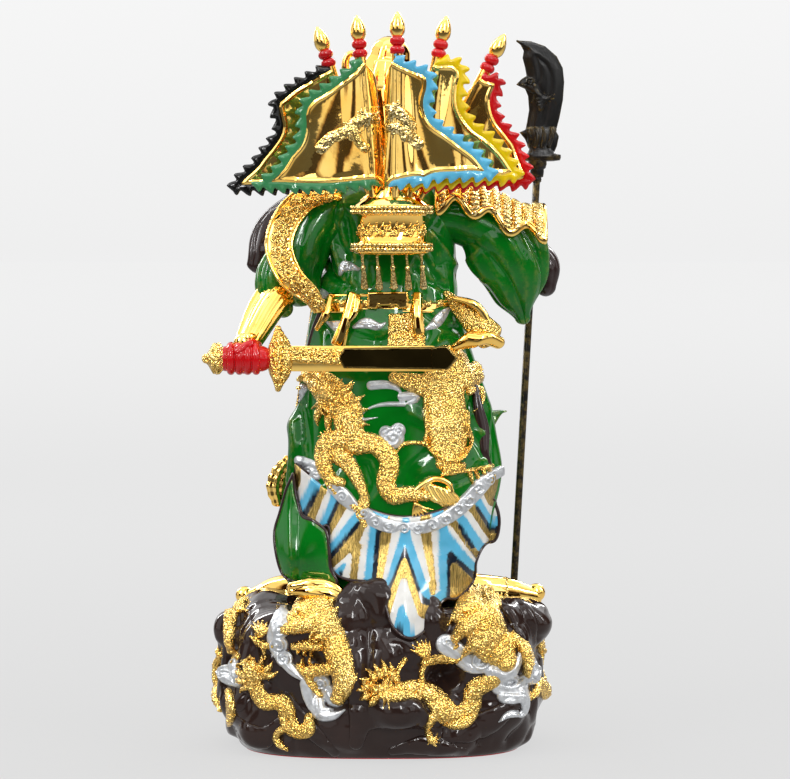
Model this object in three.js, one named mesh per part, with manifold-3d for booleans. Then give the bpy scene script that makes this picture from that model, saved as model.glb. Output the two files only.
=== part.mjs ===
// A gilded and enamelled guardian general, cast in one with the rock that he stands on.
// Five pennants plug into the drum on his back, a sword passes through his left fist and a halberd
// through his right fist into a hole in the rock. Millimetres, +Z up. The general faces +Y and his
// right hand is at +X, so looking along +Y shows his back. The origin is under the rock's middle.
import * as THREE from "three";
import { mergeVertices } from "three/addons/utils/BufferGeometryUtils.js";
import Module from "manifold-3d";

const wasm = await Module();
wasm.setup();

const { Vector3, CatmullRomCurve3 } = THREE;
const { clamp, lerp, smoothstep } = THREE.MathUtils;

// Driving dimensions
const figureHeight = 376; // from the rock's rim to the tip of the middle pennant
const rockWidth = 212;
const rockDepth = 150;
const rockHeight = 104;
const clearance = 0.3; // between a cast piece and what plugs into it

const flagPoleFoot = 2.5; // radius of a pennant's pole in its socket
const flagPoleHead = 3.8; // radius under its red collar
const flagSocketDepth = 15;
const flagThickness = 3.6;
const flagTooth = 3.4; // how far a tooth of the border stands out
const flagToothPitch = 8;
const finialRadius = 5;
const finialLength = 16;

const gripRadius = 5.2;
const gripLength = 27;
const guardThickness = 18;
const guardSpan = 40;
const swordBladeLength = 106;
const swordBladeWidth = 16.4;
const swordBladeThickness = 6;

const halberdPoleRadius = 2.4;
const halberdHoleDepth = 12;
const halberdBladeThickness = 6;

// The figure's pose, proportions and carving are drawn at these heights and scale with figureHeight.
const drawnHeight = 376;
const drawnRim = 104;
const pose = figureHeight / drawnHeight;
const at = (x, y, z) => new Vector3(x * pose, y * pose, rockHeight + (z - drawnRim) * pose);

// Points and lists

// The numbers between evenly spaced rows, on a smooth curve through them.
function between(rows, t) {
  const place = clamp(t, 0, 1) * (rows.length - 1);
  const low = Math.min(Math.floor(place), rows.length - 2);
  const f = place - low;
  const row = (k) => rows[clamp(k, 0, rows.length - 1)];
  return rows[0].map((_, column) => {
    const [a, b, c, d] = [-1, 0, 1, 2].map((k) => row(low + k)[column]);
    return b + 0.5 * f * (c - a + f * (2 * a - 5 * b + 4 * c - d + f * (3 * (b - c) + d - a)));
  });
}

const steps = (count) => Array.from({ length: count + 1 }, (_, k) => k / count);
const bump = (value, middle, spread) => Math.exp(-(((value - middle) / spread) ** 2));

// A point of a rounded box or ellipse: power 2 is an ellipse, and more is squarer.
function oval(angle, halfWidth, halfDepth, power = 2) {
  const bend = (v) => Math.sign(v) * Math.abs(v) ** (2 / power);
  return [halfWidth * bend(Math.cos(angle)), halfDepth * bend(Math.sin(angle))];
}

// Solids

function signedVolume(points, faces) {
  return faces.reduce((sum, [a, b, c]) => sum + points[a].dot(new Vector3().crossVectors(points[b], points[c])), 0);
}

// A closed solid from points and triangles, with its faces turned outwards.
function solidOf(points, faces) {
  const turned = signedVolume(points, faces) < 0 ? faces.map(([a, b, c]) => [a, c, b]) : faces;
  const geometry = new THREE.BufferGeometry().setFromPoints(points).setIndex(turned.flat());
  return solidFromGeometry(geometry);
}

function solidFromGeometry(source) {
  const plain = source.clone();
  plain.deleteAttribute("normal");
  plain.deleteAttribute("uv");
  const merged = mergeVertices(plain, 1e-4);
  return new wasm.Manifold(
    new wasm.Mesh({
      numProp: 3,
      vertProperties: merged.attributes.position.array,
      triVerts: new Uint32Array(merged.index.array),
    }),
  );
}

function geometryOf(solid) {
  const mesh = solid.getMesh();
  const points = [];
  for (let i = 0; i < mesh.numVert; i++) {
    points.push(...mesh.vertProperties.subarray(i * mesh.numProp, i * mesh.numProp + 3));
  }
  const geometry = new THREE.BufferGeometry();
  geometry.setAttribute("position", new THREE.Float32BufferAttribute(points, 3));
  geometry.setIndex(Array.from(mesh.triVerts));
  return geometry;
}

const joined = (solids) => solids.reduce((whole, next) => whole.add(next));

// The body without the small hollows that joined pieces can close off inside it
function filled(solid) {
  const [body, ...loose] = solid.decompose().filter((part) => part.volume() > 1e-3);
  const places = loose.map((part) => part.boundingBox().min.map(Math.round).join(" "));
  if (loose.length) throw new Error("a piece of the casting stands free at " + places.join(", "));
  return body;
}

// A skin over rings of equally many points, closed by a fan at each end.
function skin(rings) {
  const count = rings[0].length;
  const points = rings.flat();
  const faces = [];
  rings.slice(1).forEach((_, r) => {
    for (let k = 0; k < count; k++) {
      const [a, b] = [r * count + k, r * count + ((k + 1) % count)];
      faces.push([a, b, a + count], [b, b + count, a + count]);
    }
  });
  const middle = (ring) => ring.reduce((sum, p) => sum.add(p), new Vector3()).divideScalar(count);
  const first = points.push(middle(rings[0])) - 1;
  const last = points.push(middle(rings.at(-1))) - 1;
  const top = (rings.length - 1) * count;
  for (let k = 0; k < count; k++) {
    faces.push([first, (k + 1) % count, k], [last, top + k, top + ((k + 1) % count)]);
  }
  return solidOf(points, faces);
}

// A body swept along a spine. girths holds [half width, half depth] rows, evenly spaced;
// across is the direction of the width, and fold adds to the radius at an angle and a place.
function limb(spine, girths, { sides = 10, length = 5, across = new Vector3(1, 0, 0), power = 2, fold, round } = {}) {
  const curve = new CatmullRomCurve3(spine, false, "centripetal");
  const ringAt = (t, outset, scale) => {
    const tangent = curve.getTangentAt(t);
    const side = across.clone().addScaledVector(tangent, -across.dot(tangent)).normalize();
    const deep = new Vector3().crossVectors(tangent, side);
    const [wide, thick] = between(girths, t).map((girth) => girth * pose * scale);
    const middle = curve.getPointAt(t).addScaledVector(tangent, outset * Math.min(wide, thick) / scale);
    return steps(sides).slice(1).map((turn) => {
      const angle = turn * 2 * Math.PI;
      const [u, v] = oval(angle, wide, thick, power);
      const swell = fold ? 1 + fold(angle, t) : 1;
      return middle.clone().addScaledVector(side, u * swell).addScaledVector(deep, v * swell);
    });
  };
  const body = steps(length).map((t) => ringAt(t, 0, 1));
  return skin(round ? [ringAt(0, -0.55, 0.6), ...body, ringAt(1, 0.55, 0.6)] : body);
}

const blob = (middle, radii, sides = 10) => {
  const ball = new THREE.SphereGeometry(1, sides, Math.round(sides * 0.7));
  ball.scale(...radii.map((r) => r * pose)).translate(middle.x, middle.y, middle.z);
  return solidFromGeometry(ball);
};

const nugget = (middle, radii) => {
  const ball = new THREE.IcosahedronGeometry(1, 0);
  ball.scale(...radii.map((r) => r * pose)).translate(middle.x, middle.y, middle.z);
  return solidFromGeometry(ball);
};

// A curved plate: surface(u, v) is its middle, with u and v from 0 to 1.
function plate(surface, thickness, across = 8, along = 8) {
  const delta = 0.02;
  const normalAt = (u, v) => {
    const [a, b] = [clamp(u, delta, 1 - delta), clamp(v, delta, 1 - delta)];
    const du = surface(a + delta, b).sub(surface(a - delta, b));
    const dv = surface(a, b + delta).sub(surface(a, b - delta));
    return du.cross(dv).normalize();
  };
  const side = (sign) =>
    steps(along).map((v) => steps(across).map((u) => surface(u, v).addScaledVector(normalAt(u, v), sign * thickness / 2)));
  const [front, back] = [side(1), side(-1)];
  return skin(front.map((row, k) => [...row, ...back[k].slice().reverse()]));
}

// A solid between an outer and an inner surface, each a function of u and v from 0 to 1
function layer(outer, inner, across, along) {
  return skin(
    steps(along).map((v) => [...steps(across).map((u) => outer(u, v)), ...steps(across).reverse().map((u) => inner(u, v))]),
  );
}

// A raised strand that lies on a surface, with sloping sides. path holds { point, normal }, and sizes
// holds rows of half width and height along it.
function relief(path, sizes, { length = 8, sink = 5 } = {}) {
  const spine = new CatmullRomCurve3(path.map((p) => p.point), false, "centripetal");
  const normals = path.map((p) => p.normal.toArray());
  return skin(
    steps(length).map((t) => {
      const normal = new Vector3(...between(normals, t)).normalize();
      const side = new Vector3().crossVectors(spine.getTangentAt(t), normal).normalize();
      const [wide, high] = between(sizes, t);
      const section = [[-wide, -sink], [-0.5 * wide, high], [0.5 * wide, high], [wide, -sink]];
      return section.map(([u, v]) => spine.getPointAt(t).addScaledVector(side, u).addScaledVector(normal, v));
    }),
  );
}

// The rock

// A point of the rock's skin: turn goes round it, and level from 0 underneath to 1 at the top's middle.
const rockRows = [
  // share of the half width and depth, share of the height
  [0.86, 0.0],
  [0.94, 0.09],
  [0.985, 0.28],
  [1.0, 0.52],
  [0.985, 0.74],
  [0.91, 0.9],
  [0.8, 0.985],
  [0.5, 0.99],
  [0.15, 1.0],
];
function rockPoint(turn, level) {
  const [spread, height] = between(rockRows, level);
  const angle = turn * 2 * Math.PI;
  const [x, y] = oval(angle, rockWidth / 2, rockDepth / 2, 2.7);
  const wall = smoothstep(level, 0.02, 0.2) * (1 - smoothstep(level, 0.7, 0.95));
  const lumps = 0.022 * Math.cos(5 * angle + 1 + 5 * level) + 0.02 * Math.cos(8 * angle + 2.4 - 6 * level);
  const swell = spread * (1 + wall * lumps);
  const mounds = 3 * Math.cos(4 * angle + 0.6) * smoothstep(level, 0.6, 0.85) * (1 - smoothstep(level, 0.85, 1));
  return new Vector3(x * swell, y * swell, Math.max(0, height * rockHeight * 0.95 + mounds));
}

const rockSides = 26;
function rockBody() {
  const levels = steps(7);
  return skin(levels.map((level) => steps(rockSides).slice(1).map((turn) => rockPoint(turn, level))));
}

// Humps that rise round the robe's hem: place of the foot in shares of the rock, radii in millimetres.
const rockHumps = [
  { x: -0.08, y: -0.78, z: 0.88, radii: [25, 13, 27] },
  { x: -0.36, y: -0.78, z: 0.8, radii: [20, 13, 22] },
  { x: 0.29, y: -0.82, z: 0.82, radii: [13, 11, 23] },
  { x: 0.54, y: -0.72, z: 0.78, radii: [20, 15, 20] },
  { x: 0.86, y: -0.16, z: 0.76, radii: [17, 22, 24] },
  { x: -0.86, y: -0.26, z: 0.78, radii: [18, 23, 22] },
  { x: -0.6, y: 0.62, z: 0.7, radii: [28, 20, 24] },
  { x: 0.64, y: 0.64, z: 0.7, radii: [28, 18, 24] },
];
const onRock = (x, y, z) => new Vector3((x * rockWidth) / 2, (y * rockDepth) / 2, z * rockHeight);
const rockHump = ({ x, y, z, radii }) => blob(onRock(x, y, z), radii.map((r) => r / pose), 6);
const buildRock = () => joined([rockBody(), ...rockHumps.map(rockHump)]);

// The robe's skirt

// Rows from the hem to the waist: middle x, middle y, half width, half depth, height, depth of the folds
const skirtRows = [
  [-1, -2, 58, 45, 103, 0.055],
  [0, -2, 66, 49, 128, 0.05],
  [4, -2, 67, 50, 153, 0.045],
  [7.5, -2, 69, 49.5, 178, 0.045],
  [7, -2, 67, 47, 203, 0.04],
  [7, -2, 62.5, 44, 228, 0.03],
  [4.5, -1.5, 57, 41, 252, 0.025],
  [2.5, -1, 51, 36.5, 276, 0.02],
  [1, 0, 44.5, 31.5, 300, 0.01],
];
const skirtPower = 2.3;
const skirtHem = skirtRows[0][4];
const skirtWaist = skirtRows.at(-1)[4];

// The back stays smooth and the folds deepen towards the sides and the front.
function skirtFold(angle, depth) {
  const fromBack = Math.abs(Math.atan2(Math.sin(angle + Math.PI / 2), Math.cos(angle + Math.PI / 2)));
  const free = smoothstep(fromBack, 0.75, 1.5);
  return depth * free * (0.6 * Math.cos(9 * angle + 0.8) + 0.4 * Math.cos(14 * angle + 2.2));
}

function skirtPoint(angle, t) {
  const [mx, my, wide, deep, height, folds] = between(skirtRows, t);
  const corner = 0.08 * bump(angle, Math.PI * 1.02, 0.16) * bump(height, 213, 10);
  const swell = 1 + skirtFold(angle, folds) + corner;
  const [x, y] = oval(angle, wide * swell, deep * swell, skirtPower);
  return at(mx + x, my + y, height);
}

function skirt() {
  return skin(steps(8).map((t) => steps(30).slice(1).map((turn) => skirtPoint(turn * 2 * Math.PI, t))));
}

// Where the skirt's surface is at a drawn x and height: facing -1 is the back and 1 the front.
function skirtDepth(x, height, facing = -1) {
  const t = clamp((height - skirtHem) / (skirtWaist - skirtHem), 0, 1);
  const [mx, my, wide, deep] = between(skirtRows, t);
  const reach = clamp(Math.abs(x - mx) / wide, 0, 0.995);
  return my + facing * deep * (1 - reach ** skirtPower) ** (1 / skirtPower);
}

// A point that stands off the skirt at a drawn x and height, with the way out from the surface.
function offSkirt(x, height, off = 0, facing = -1) {
  const depthAt = (dx, dz) => skirtDepth(x + dx, height + dz, facing);
  const slopeX = (depthAt(1.5, 0) - depthAt(-1.5, 0)) / 3;
  const slopeZ = (depthAt(0, 4) - depthAt(0, -4)) / 8;
  const normal = new Vector3(-slopeX, 1, -slopeZ).multiplyScalar(facing).normalize();
  return { point: at(x, depthAt(0, 0), height).addScaledVector(normal, off * pose), normal };
}

// The striped panel down the back: its upper edge hangs in a curve and its lower edge is scalloped.
const panelTop = [[-56, 188], [-26, 168], [12, 155], [48, 163], [77, 184]];
const panelHem = [
  [-55, 152], [-37, 147], [-30, 122], [-14, 113], [2, 106], [8, 84], [18, 80], [29, 90], [38, 104], [50, 108],
  [58, 128], [68, 138], [75, 156],
];
// The tongue in its middle lies out over the rock, and the inner side is buried in the skirt.
function panelPlace(u, v) {
  const [topX, topZ] = between(panelTop, u);
  const [hemX, hemZ] = between(panelHem, u);
  return [lerp(topX, hemX, v), lerp(topZ, hemZ, v)];
}
function panelPoint(u, v) {
  const [x, z] = panelPlace(u, v);
  const tongue = 24 * bump(x, 16, 30) * smoothstep(140 - z, 0, 50);
  const off = lerp(1.2, 5, smoothstep(v, 0, 1));
  const { point } = offSkirt(x, Math.max(z, skirtHem + 6), off);
  return point.setZ(at(0, 0, z).z).add(new Vector3(0, -tongue * pose, 0));
}
function panelBack(u, v) {
  const [x, z] = panelPlace(u, v);
  return offSkirt(x, Math.max(z, skirtHem + 6), -5).point.setZ(at(0, 0, z).z);
}
const panel = () => layer(panelPoint, panelBack, 15, 2);

// The robe's loose corner at the lower left, turned out over the striped panel.
const cornerLeft = [[-61, 180], [-66, 160], [-71, 140], [-67, 122], [-62, 111]];
const cornerRight = [[-57, 178], [-52, 155], [-37, 148], [-34, 128], [-28, 112]];
function cornerPoint(u, v) {
  const [x0, z0] = between(cornerLeft, v);
  const [x1, z1] = between(cornerRight, v);
  const [x, z] = [lerp(x0, x1, u), lerp(z0, z1, u)];
  const curl = 7 + 3 * Math.sin(u * Math.PI) - 4 * (1 - v);
  return at(x, skirtDepth(Math.max(x, -54), z) - curl + 14 * (1 - u) * v, z);
}
const corner = () => layer(cornerPoint, (u, v) => cornerPoint(u, v).add(new Vector3(0, 12 * pose, 0)), 3, 3);

const robeFlick = () =>
  limb([at(70, 0, 216), at(77, 1, 219), at(83, 2, 222)], [[9, 5], [5, 3], [1, 0.8]], { sides: 4, length: 2 });

// Torso, belt and what hangs from it

// Rows upwards: middle x, middle y, half width, half depth, height
const torsoRows = [
  [1, -1, 49, 36, 293],
  [3, -1, 46, 32.5, 303],
  [5, -1, 44, 30.5, 318],
  [5, -1, 43, 30, 335],
  [5, -1, 45, 28, 350],
  [4, -1, 42, 24, 362],
  [3, 0, 26, 19, 371],
  [2, 2, 13, 13, 380],
];
function torso() {
  return skin(
    steps(6).map((t) => {
      const [mx, my, wide, deep, height] = between(torsoRows, t);
      return steps(14).slice(1).map((turn) => {
        const [x, y] = oval(turn * 2 * Math.PI, wide, deep, 2.4);
        return at(mx + x, my + y, height);
      });
    }),
  );
}

const beltRows = [[45, 32], [49, 36], [49, 36], [45, 32]];
function belt() {
  return skin(
    steps(3).map((t) => {
      const [wide, deep] = between(beltRows, t);
      return steps(16).slice(1).map((turn) => {
        const [x, y] = oval(turn * 2 * Math.PI, wide, deep, 2.4);
        return at(1 + x, y - 0.5, lerp(286, 299, t));
      });
    }),
  );
}

const straps = () => [
  limb([at(-19, -33, 298), at(-23, -38.5, 283), at(-28, -39, 266)], [[3.6, 3], [3, 2.6], [4.6, 2.6]], { sides: 4, length: 2 }),
  limb([at(23, -32, 298), at(23, -38, 286), at(24, -39.5, 274)], [[3.6, 3], [3.4, 2.4], [3.6, 2.4]], { sides: 4, length: 2 }),
];

// The gilt knot of the sash at the right hip
const sash = () => [
  limb([at(42, -20, 298), at(56, -24, 286), at(68, -28, 272)], [[3, 4], [7, 6], [10, 6]], { sides: 8, length: 2 }),
  limb([at(49, -30, 265), at(62, -31, 269), at(74, -27, 268)], [[3, 3], [5.5, 4.5], [5, 4]], { sides: 6, length: 2, round: true }),
];

// The drum on the back that holds the pennants, with its rims, bell and five tassels
const drum = { x: 6.5, y: -43, wide: 23, deep: 15.5, low: 326, high: 357 };
// Share of the drum's half width, and height
const drumRows = [
  [0.9, 324], [1.1, 327], [1.1, 331], [0.97, 333], [0.97, 349], [1.1, 351], [1.1, 355], [0.86, 361],
];
function drumBody() {
  return skin(
    drumRows.map(([share, height]) =>
      steps(12).slice(1).map((turn) => {
        const [x, y] = oval(turn * 2 * Math.PI, drum.wide * share, drum.deep * share, 2.6);
        return at(drum.x + x, drum.y + y, height);
      }),
    ),
  );
}

const tasselCount = 5;
const tassels = () =>
  steps(tasselCount - 1).map((share) => {
    const x = drum.x - 19 + 38 * share;
    return limb([at(x, -50, 327), at(x + 2, -42, 305)], [[1.8, 1.8], [2.8, 2.4]], { sides: 4, length: 1 });
  });

// Head: face, beard, cap and its tail

const head = () => [
  limb([at(2, 4, 372), at(2, 6, 392)], [[12, 12], [13, 13]], { sides: 8, length: 1 }),
  blob(at(2, 8, 404), [19, 21, 24], 10),
  limb([at(2, 27, 408), at(2, 30.5, 400)], [[2, 2.4], [3.2, 3.4]], { sides: 5, length: 1 }),
];
const capRows = [[24.5, 24], [26, 26], [25.5, 25.5], [22.5, 22], [14, 13]];
const cap = () => [
  limb([at(2, 2, 408), at(3, 0, 432), at(5, -3, 456)], capRows, { sides: 10, length: 3, power: 2.3 }),
  limb([at(-20, 20, 417), at(2, 27, 420), at(24, 20, 417)], [[4, 3.5], [5, 4], [4, 3.5]], { sides: 5, length: 3, across: new Vector3(0, 0, 1) }),
  blob(at(2, 27, 430), [6, 5, 8], 6),
  limb([at(-19, -4, 442), at(-23, -4, 450), at(-18, -4, 456), at(-13, -4, 449)], [[2, 2], [1.8, 1.8], [1.8, 1.8], [2, 2]], { sides: 4, length: 3 }),
  blob(at(2, -14, 400), [23, 17, 21], 7),
  limb([at(2, -17, 446), at(2, -25, 424), at(3, -30, 404), at(3, -30, 387)], [[6, 3.4], [10.5, 3.6], [8, 3.6], [2, 2.6]], { sides: 5, length: 4 }),
];

// The beard falls to the chest in locks
const beardLocks = 5;
const beard = () =>
  limb([at(2, 21, 396), at(2, 33, 378), at(2, 37, 352), at(2, 35, 328)], [[12, 8], [16, 7.5], [12, 6], [2, 2]], {
    sides: 15,
    length: 4,
    fold: (angle) => 0.1 * Math.cos(beardLocks * angle),
  });

// Left arm: the hitched sleeve with its gilt border, the forearm and the fist on the sword
const swordY = -57;
const swordZ = 257.6;
const leftFist = () => at(-89.5, swordY, swordZ);

const leftArm = () => [
  limb([at(-26, -2, 354), at(-46, -8, 344), at(-55, -14, 324), at(-54, -17, 304)], [[20, 20], [20, 20], [19, 19], [15, 15]], { sides: 10, length: 3 }),
  limb([at(-60, -14, 322), at(-68, -19, 306), at(-66, -22, 292)], [[14, 14], [15, 13], [9, 9]], { sides: 8, length: 2 }),
  limb([at(-66, -22, 300), at(-78, -38, 282), at(-88, -53, 263)], [[9, 9], [8.6, 8.6], [7, 7]], { sides: 8, length: 2 }),
  limb([at(-74, -16, 304), at(-85, -32, 284), at(-92, -48, 266)], [[5, 3], [4.6, 2.6], [3.4, 2.4]], { sides: 5, length: 2 }),
  nugget(at(-87, -52, 267), [8, 8, 8]),
];
const leftHand = () => limb([at(-100.8, swordY, swordZ), at(-89, swordY, swordZ - 0.5), at(-76, swordY, swordZ)], [[8, 8.5], [11.5, 11], [8, 8.5]], { sides: 10, length: 3, across: new Vector3(0, 0, 1) });
const sleeveBorder = () =>
  limb(
    [at(-28, -16, 363), at(-50, -21, 361), at(-63, -27, 345), at(-66, -31, 327), at(-58, -35, 309), at(-45, -35, 298), at(-40, -33, 289)],
    [[5, 3], [6, 4], [7, 4], [7, 4], [6.5, 4], [6, 4], [4, 3]],
    { sides: 6, length: 7, across: new Vector3(0, -0.3, 1) },
  );
const sleeveLining = () => limb([at(-62, 4, 364), at(-72, 6, 345), at(-76, 2, 325), at(-76, -4, 303)], [[7, 7], [12, 7], [13, 8], [12, 6]], { sides: 8, length: 3 });

// Right arm: the wide sleeve, its dark lining, the fist round the halberd and the scaled shoulder cape
const poleAt = (z) => at(lerp(87.4, 103.1, (z - 90) / 290), 20, z);
const rightFistHeight = 311;

// The sleeve and the forearm in it hang by the fist, and meet the upper arm at the elbow
const byFist = (x, y, rise) => at(x, y, rightFistHeight + rise);
const rightArm = () => [
  limb([at(34, -2, 353), at(52, -4, 349), at(72, -6, 340)], [[19, 19], [18, 18], [19, 19]], {
    sides: 10, length: 2, across: new Vector3(0, 1, 0),
  }),
  limb(
    [byFist(64, -4, 35), byFist(80, -6, 19), byFist(87, -5, 0), byFist(89, -3, -15), byFist(93, 0, -28)],
    [[24, 18], [26, 19], [22, 18], [14, 13], [5, 5]],
    { sides: 12, length: 5 },
  ),
  limb([byFist(84, 0, 15), byFist(93, 12, 5)], [[11, 11], [9, 9]], { sides: 8, length: 1 }),
  limb([byFist(101, 8, 11), byFist(111, 12, 1), byFist(110, 10, -14)], [[8, 9], [8.5, 12], [7, 9]], {
    sides: 8, length: 2, round: true,
  }),
];
const rightHand = () => limb([poleAt(rightFistHeight - 9), poleAt(rightFistHeight + 9)], [[10, 10.5], [9.5, 10]], { sides: 9, length: 1, round: true });

// The cape wraps the upper arm from front to back, with three scallops along each lower edge.
function capePoint(u, v) {
  const spine = at(lerp(36, 106, u), -4, lerp(354, 329, smoothstep(u, 0.1, 1)));
  const scallop = 0.12 * Math.cos(u * 3 * 2 * Math.PI);
  const turn = (2 * v - 1) * (1.45 + scallop - 0.25 * u);
  const girth = (lerp(22.5, 24, u) + 3 * bump(u, 1, 0.12)) * pose;
  return spine.add(new Vector3(0, -Math.sin(turn) * girth, Math.cos(turn) * girth));
}

// Boots, legs and the tasset at the left hip

const boots = () => [
  limb([at(-36, 2, 99), at(-62, 14, 98), at(-80, 24, 93), at(-90, 28, 92)], [[12, 10], [12, 11], [10, 8], [7, 6]], { sides: 8, length: 3, across: new Vector3(0, 0, 1), round: true }),
  limb([at(42, 2, 99), at(72, 12, 98), at(94, 22, 94), at(104, 26, 94)], [[12, 10], [12, 11], [10, 8], [7, 6]], { sides: 8, length: 3, across: new Vector3(0, 0, 1), round: true }),
];
const hipPlate = () => limb([at(-62, 12, 186), at(-68, 14, 172), at(-70, 14, 160)], [[5, 3], [7, 4], [5, 3]], { sides: 5, length: 2, round: true });

// The front: belt boss, apron and side plates

const buckle = () => blob(at(4, 34, 293), [13, 8, 12], 8);
// A plate over the front of the skirt that widens downwards to a pointed hem
const frontPlate = ({ middle, topWide, hemWide, high, low, point, off }) =>
  plate((u, v) => {
    const across = 2 * u - 1;
    const x = lerp(middle[0], middle[1], v) + across * lerp(topWide, hemWide, v);
    const z = lerp(high, low - point * (1 - across * across), v);
    return offSkirt(x, z, off, 1).point;
  }, 6 * pose, 2, 3);
const frontPlates = [
  { middle: [1, 2], topWide: 14, hemWide: 21, high: 287, low: 140, point: 16, off: 1 },
  { middle: [-28, -36], topWide: 14, hemWide: 20, high: 287, low: 196, point: 14, off: 2.5 },
  { middle: [30, 42], topWide: 14, hemWide: 20, high: 287, low: 196, point: 14, off: 2.5 },
];

// Carved dragons and clouds

// Where a level ray towards the middle meets a body. facing is the way that the wall looks, and
// sideways runs to the right of someone who looks at that wall.
const ray = new THREE.Raycaster();
function wallOf(solid) {
  const mesh = new THREE.Mesh(geometryOf(solid), new THREE.MeshBasicMaterial({ side: THREE.DoubleSide }));
  mesh.updateMatrixWorld(true);
  return (facing, sideways, height, off = 0) => {
    const right = new Vector3(-facing.y, facing.x, 0);
    for (let share = 1; share > 0; share -= 0.04) {
      const origin = facing.clone().multiplyScalar(3 * rockWidth).addScaledVector(right, sideways * share).setZ(height);
      ray.set(origin, facing.clone().negate());
      const [hit] = ray.intersectObject(mesh);
      if (hit) {
        const normal = hit.face.normal.clone().lerp(facing, 0.6).normalize();
        return { point: hit.point.clone().addScaledVector(normal, off), normal };
      }
    }
    throw new Error("no wall at that height");
  };
}

// A dragon: a waving body that tapers to its tail, a head with horns and mane, and clawed legs.
function dragon(place, { body, wide, high, legs = [], headScale = 1 }) {
  const path = body.map(([x, z]) => place(x, z));
  const sizes = [[wide * 0.8, high], [wide, high], [wide, high], [wide * 0.8, high * 0.9], [wide * 0.25, high * 0.4]];
  const [skull, neck] = path;
  const look = skull.point.clone().sub(neck.point).normalize();
  const side = new Vector3().crossVectors(look, skull.normal).normalize();
  const size = wide * headScale;
  const near = (ahead, beside, out) =>
    skull.point.clone().addScaledVector(look, ahead * size).addScaledVector(side, beside * size).addScaledVector(skull.normal, out * size);
  const lump = (middle, radius) => nugget(middle, [radius, radius, radius].map((r) => (r * size) / pose));
  const leg = (joints) => {
    const girths = [[0.45, 0.7], [0.35, 0.6], [0.45, 0.5]].map(([u, v]) => [u * wide, v * high]);
    return relief(joints.map(([x, z]) => place(x, z)), girths, { length: 2 });
  };
  return [
    relief(path, sizes, { length: body.length - 1 }),
    lump(near(0.2, 0, 0.2), 1.15),
    lump(near(1.2, 0, 0.1), 0.75),
    ...legs.map(leg),
  ];
}

// A cloud: rounded curls along a path, each a low dome
const cloud = (place, curls) => curls.map(([x, z, radius]) => {
  const { point } = place(x, z);
  return nugget(point, [radius / pose, (radius * 0.5) / pose, (radius * 0.8) / pose]);
});

const robeBack = (x, z) => offSkirt(x, z, 0);
const robeDragons = () => [
  ...dragon(robeBack, {
    body: [[-40, 236], [-26, 229], [-19, 212], [-7, 204], [3, 193], [0, 177], [8, 167], [19, 172], [29, 170]],
    wide: 9 * pose, high: 6 * pose, headScale: 1.5,
    legs: [[[-20, 212], [-37, 202], [-37, 186]], [[-6, 200], [-22, 180], [-12, 160]]],
  }),
  ...dragon(robeBack, {
    body: [[17, 240], [33, 240], [43, 228], [43, 210], [44, 194], [42, 182], [36, 172]],
    wide: 15 * pose, high: 7 * pose, headScale: 0.62,
    legs: [[[46, 238], [60, 246], [70, 243]]],
  }),
];
const robeClouds = () => [
  ...cloud(robeBack, [[3, 207, 8], [9, 198, 5], [-48, 185, 8]].map(([x, z, r]) => [x, z, r * pose])),
  relief(steps(8).map((u) => { const [x, z] = between(panelTop, u); return offSkirt(x, z, 1); }), [[3, 3], [4, 3.6], [4, 3.6], [4, 3.6], [4, 3.6]].map((r) => r.map((v) => v * pose)), { length: 9 }),
];

const back = new Vector3(0, -1, 0);
const front = new Vector3(0, 1, 0);
const leftEnd = new Vector3(-1, 0, 0);
// Wall places are shares of the rock's half width, or half depth on its ends, and of its height.
function rockCarving(rock) {
  const wall = wallOf(rock);
  const on = (facing) => (x, z) => {
    const half = Math.abs(facing.x) > 0.5 ? rockDepth / 2 : rockWidth / 2;
    return wall(facing, x * half, z * rockHeight);
  };
  const [onBack, onFront, onLeft] = [back, front, leftEnd].map(on);
  const small = { wide: 6.6, high: 5.5 };
  const large = { wide: 12, high: 8, headScale: 0.95 };
  return [
    ...dragon(onBack, { ...small, body: [[-0.8, 0.53], [-0.7, 0.42], [-0.65, 0.3], [-0.54, 0.28], [-0.47, 0.2], [-0.57, 0.11]] }),
    ...dragon(onBack, {
      ...small,
      body: [[-0.06, 0.5], [0.07, 0.44], [0.22, 0.44], [0.33, 0.33], [0.46, 0.24], [0.57, 0.26], [0.66, 0.38], [0.75, 0.42]],
      legs: [[[0.2, 0.46], [0.23, 0.6], [0.36, 0.62]]],
    }),
    ...dragon(onBack, { ...large, body: [[-0.5, 0.92], [-0.42, 0.76], [-0.33, 0.6], [-0.26, 0.46], [-0.25, 0.34]] }),
    ...dragon(onBack, {
      ...large,
      body: [[0.47, 0.7], [0.56, 0.86], [0.65, 0.74], [0.76, 0.6], [0.84, 0.44]],
      legs: [[[0.7, 0.7], [0.85, 0.64], [0.9, 0.46]]],
    }),
    ...cloud(onBack, [[-0.62, 0.8, 10], [-0.58, 0.64, 10], [-0.42, 0.46, 9], [-0.34, 0.3, 9]]),
    ...cloud(onBack, [[0.46, 0.58, 8], [0.62, 0.53, 10], [0.76, 0.46, 9], [0.84, 0.3, 9]]),
    ...dragon(onLeft, { ...small, body: [[-0.6, 0.84], [-0.4, 0.62], [-0.45, 0.44], [-0.15, 0.32], [0.2, 0.4]] }),
    ...dragon(onFront, { ...small, wide: 9, body: [[-0.42, 0.62], [-0.3, 0.42], [-0.08, 0.36], [0.14, 0.5], [0.34, 0.52], [0.5, 0.34]] }),
    ...cloud(onFront, [[-0.62, 0.4, 13], [0.66, 0.44, 13]]),
  ];
}

// The sword lies level behind the robe

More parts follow.
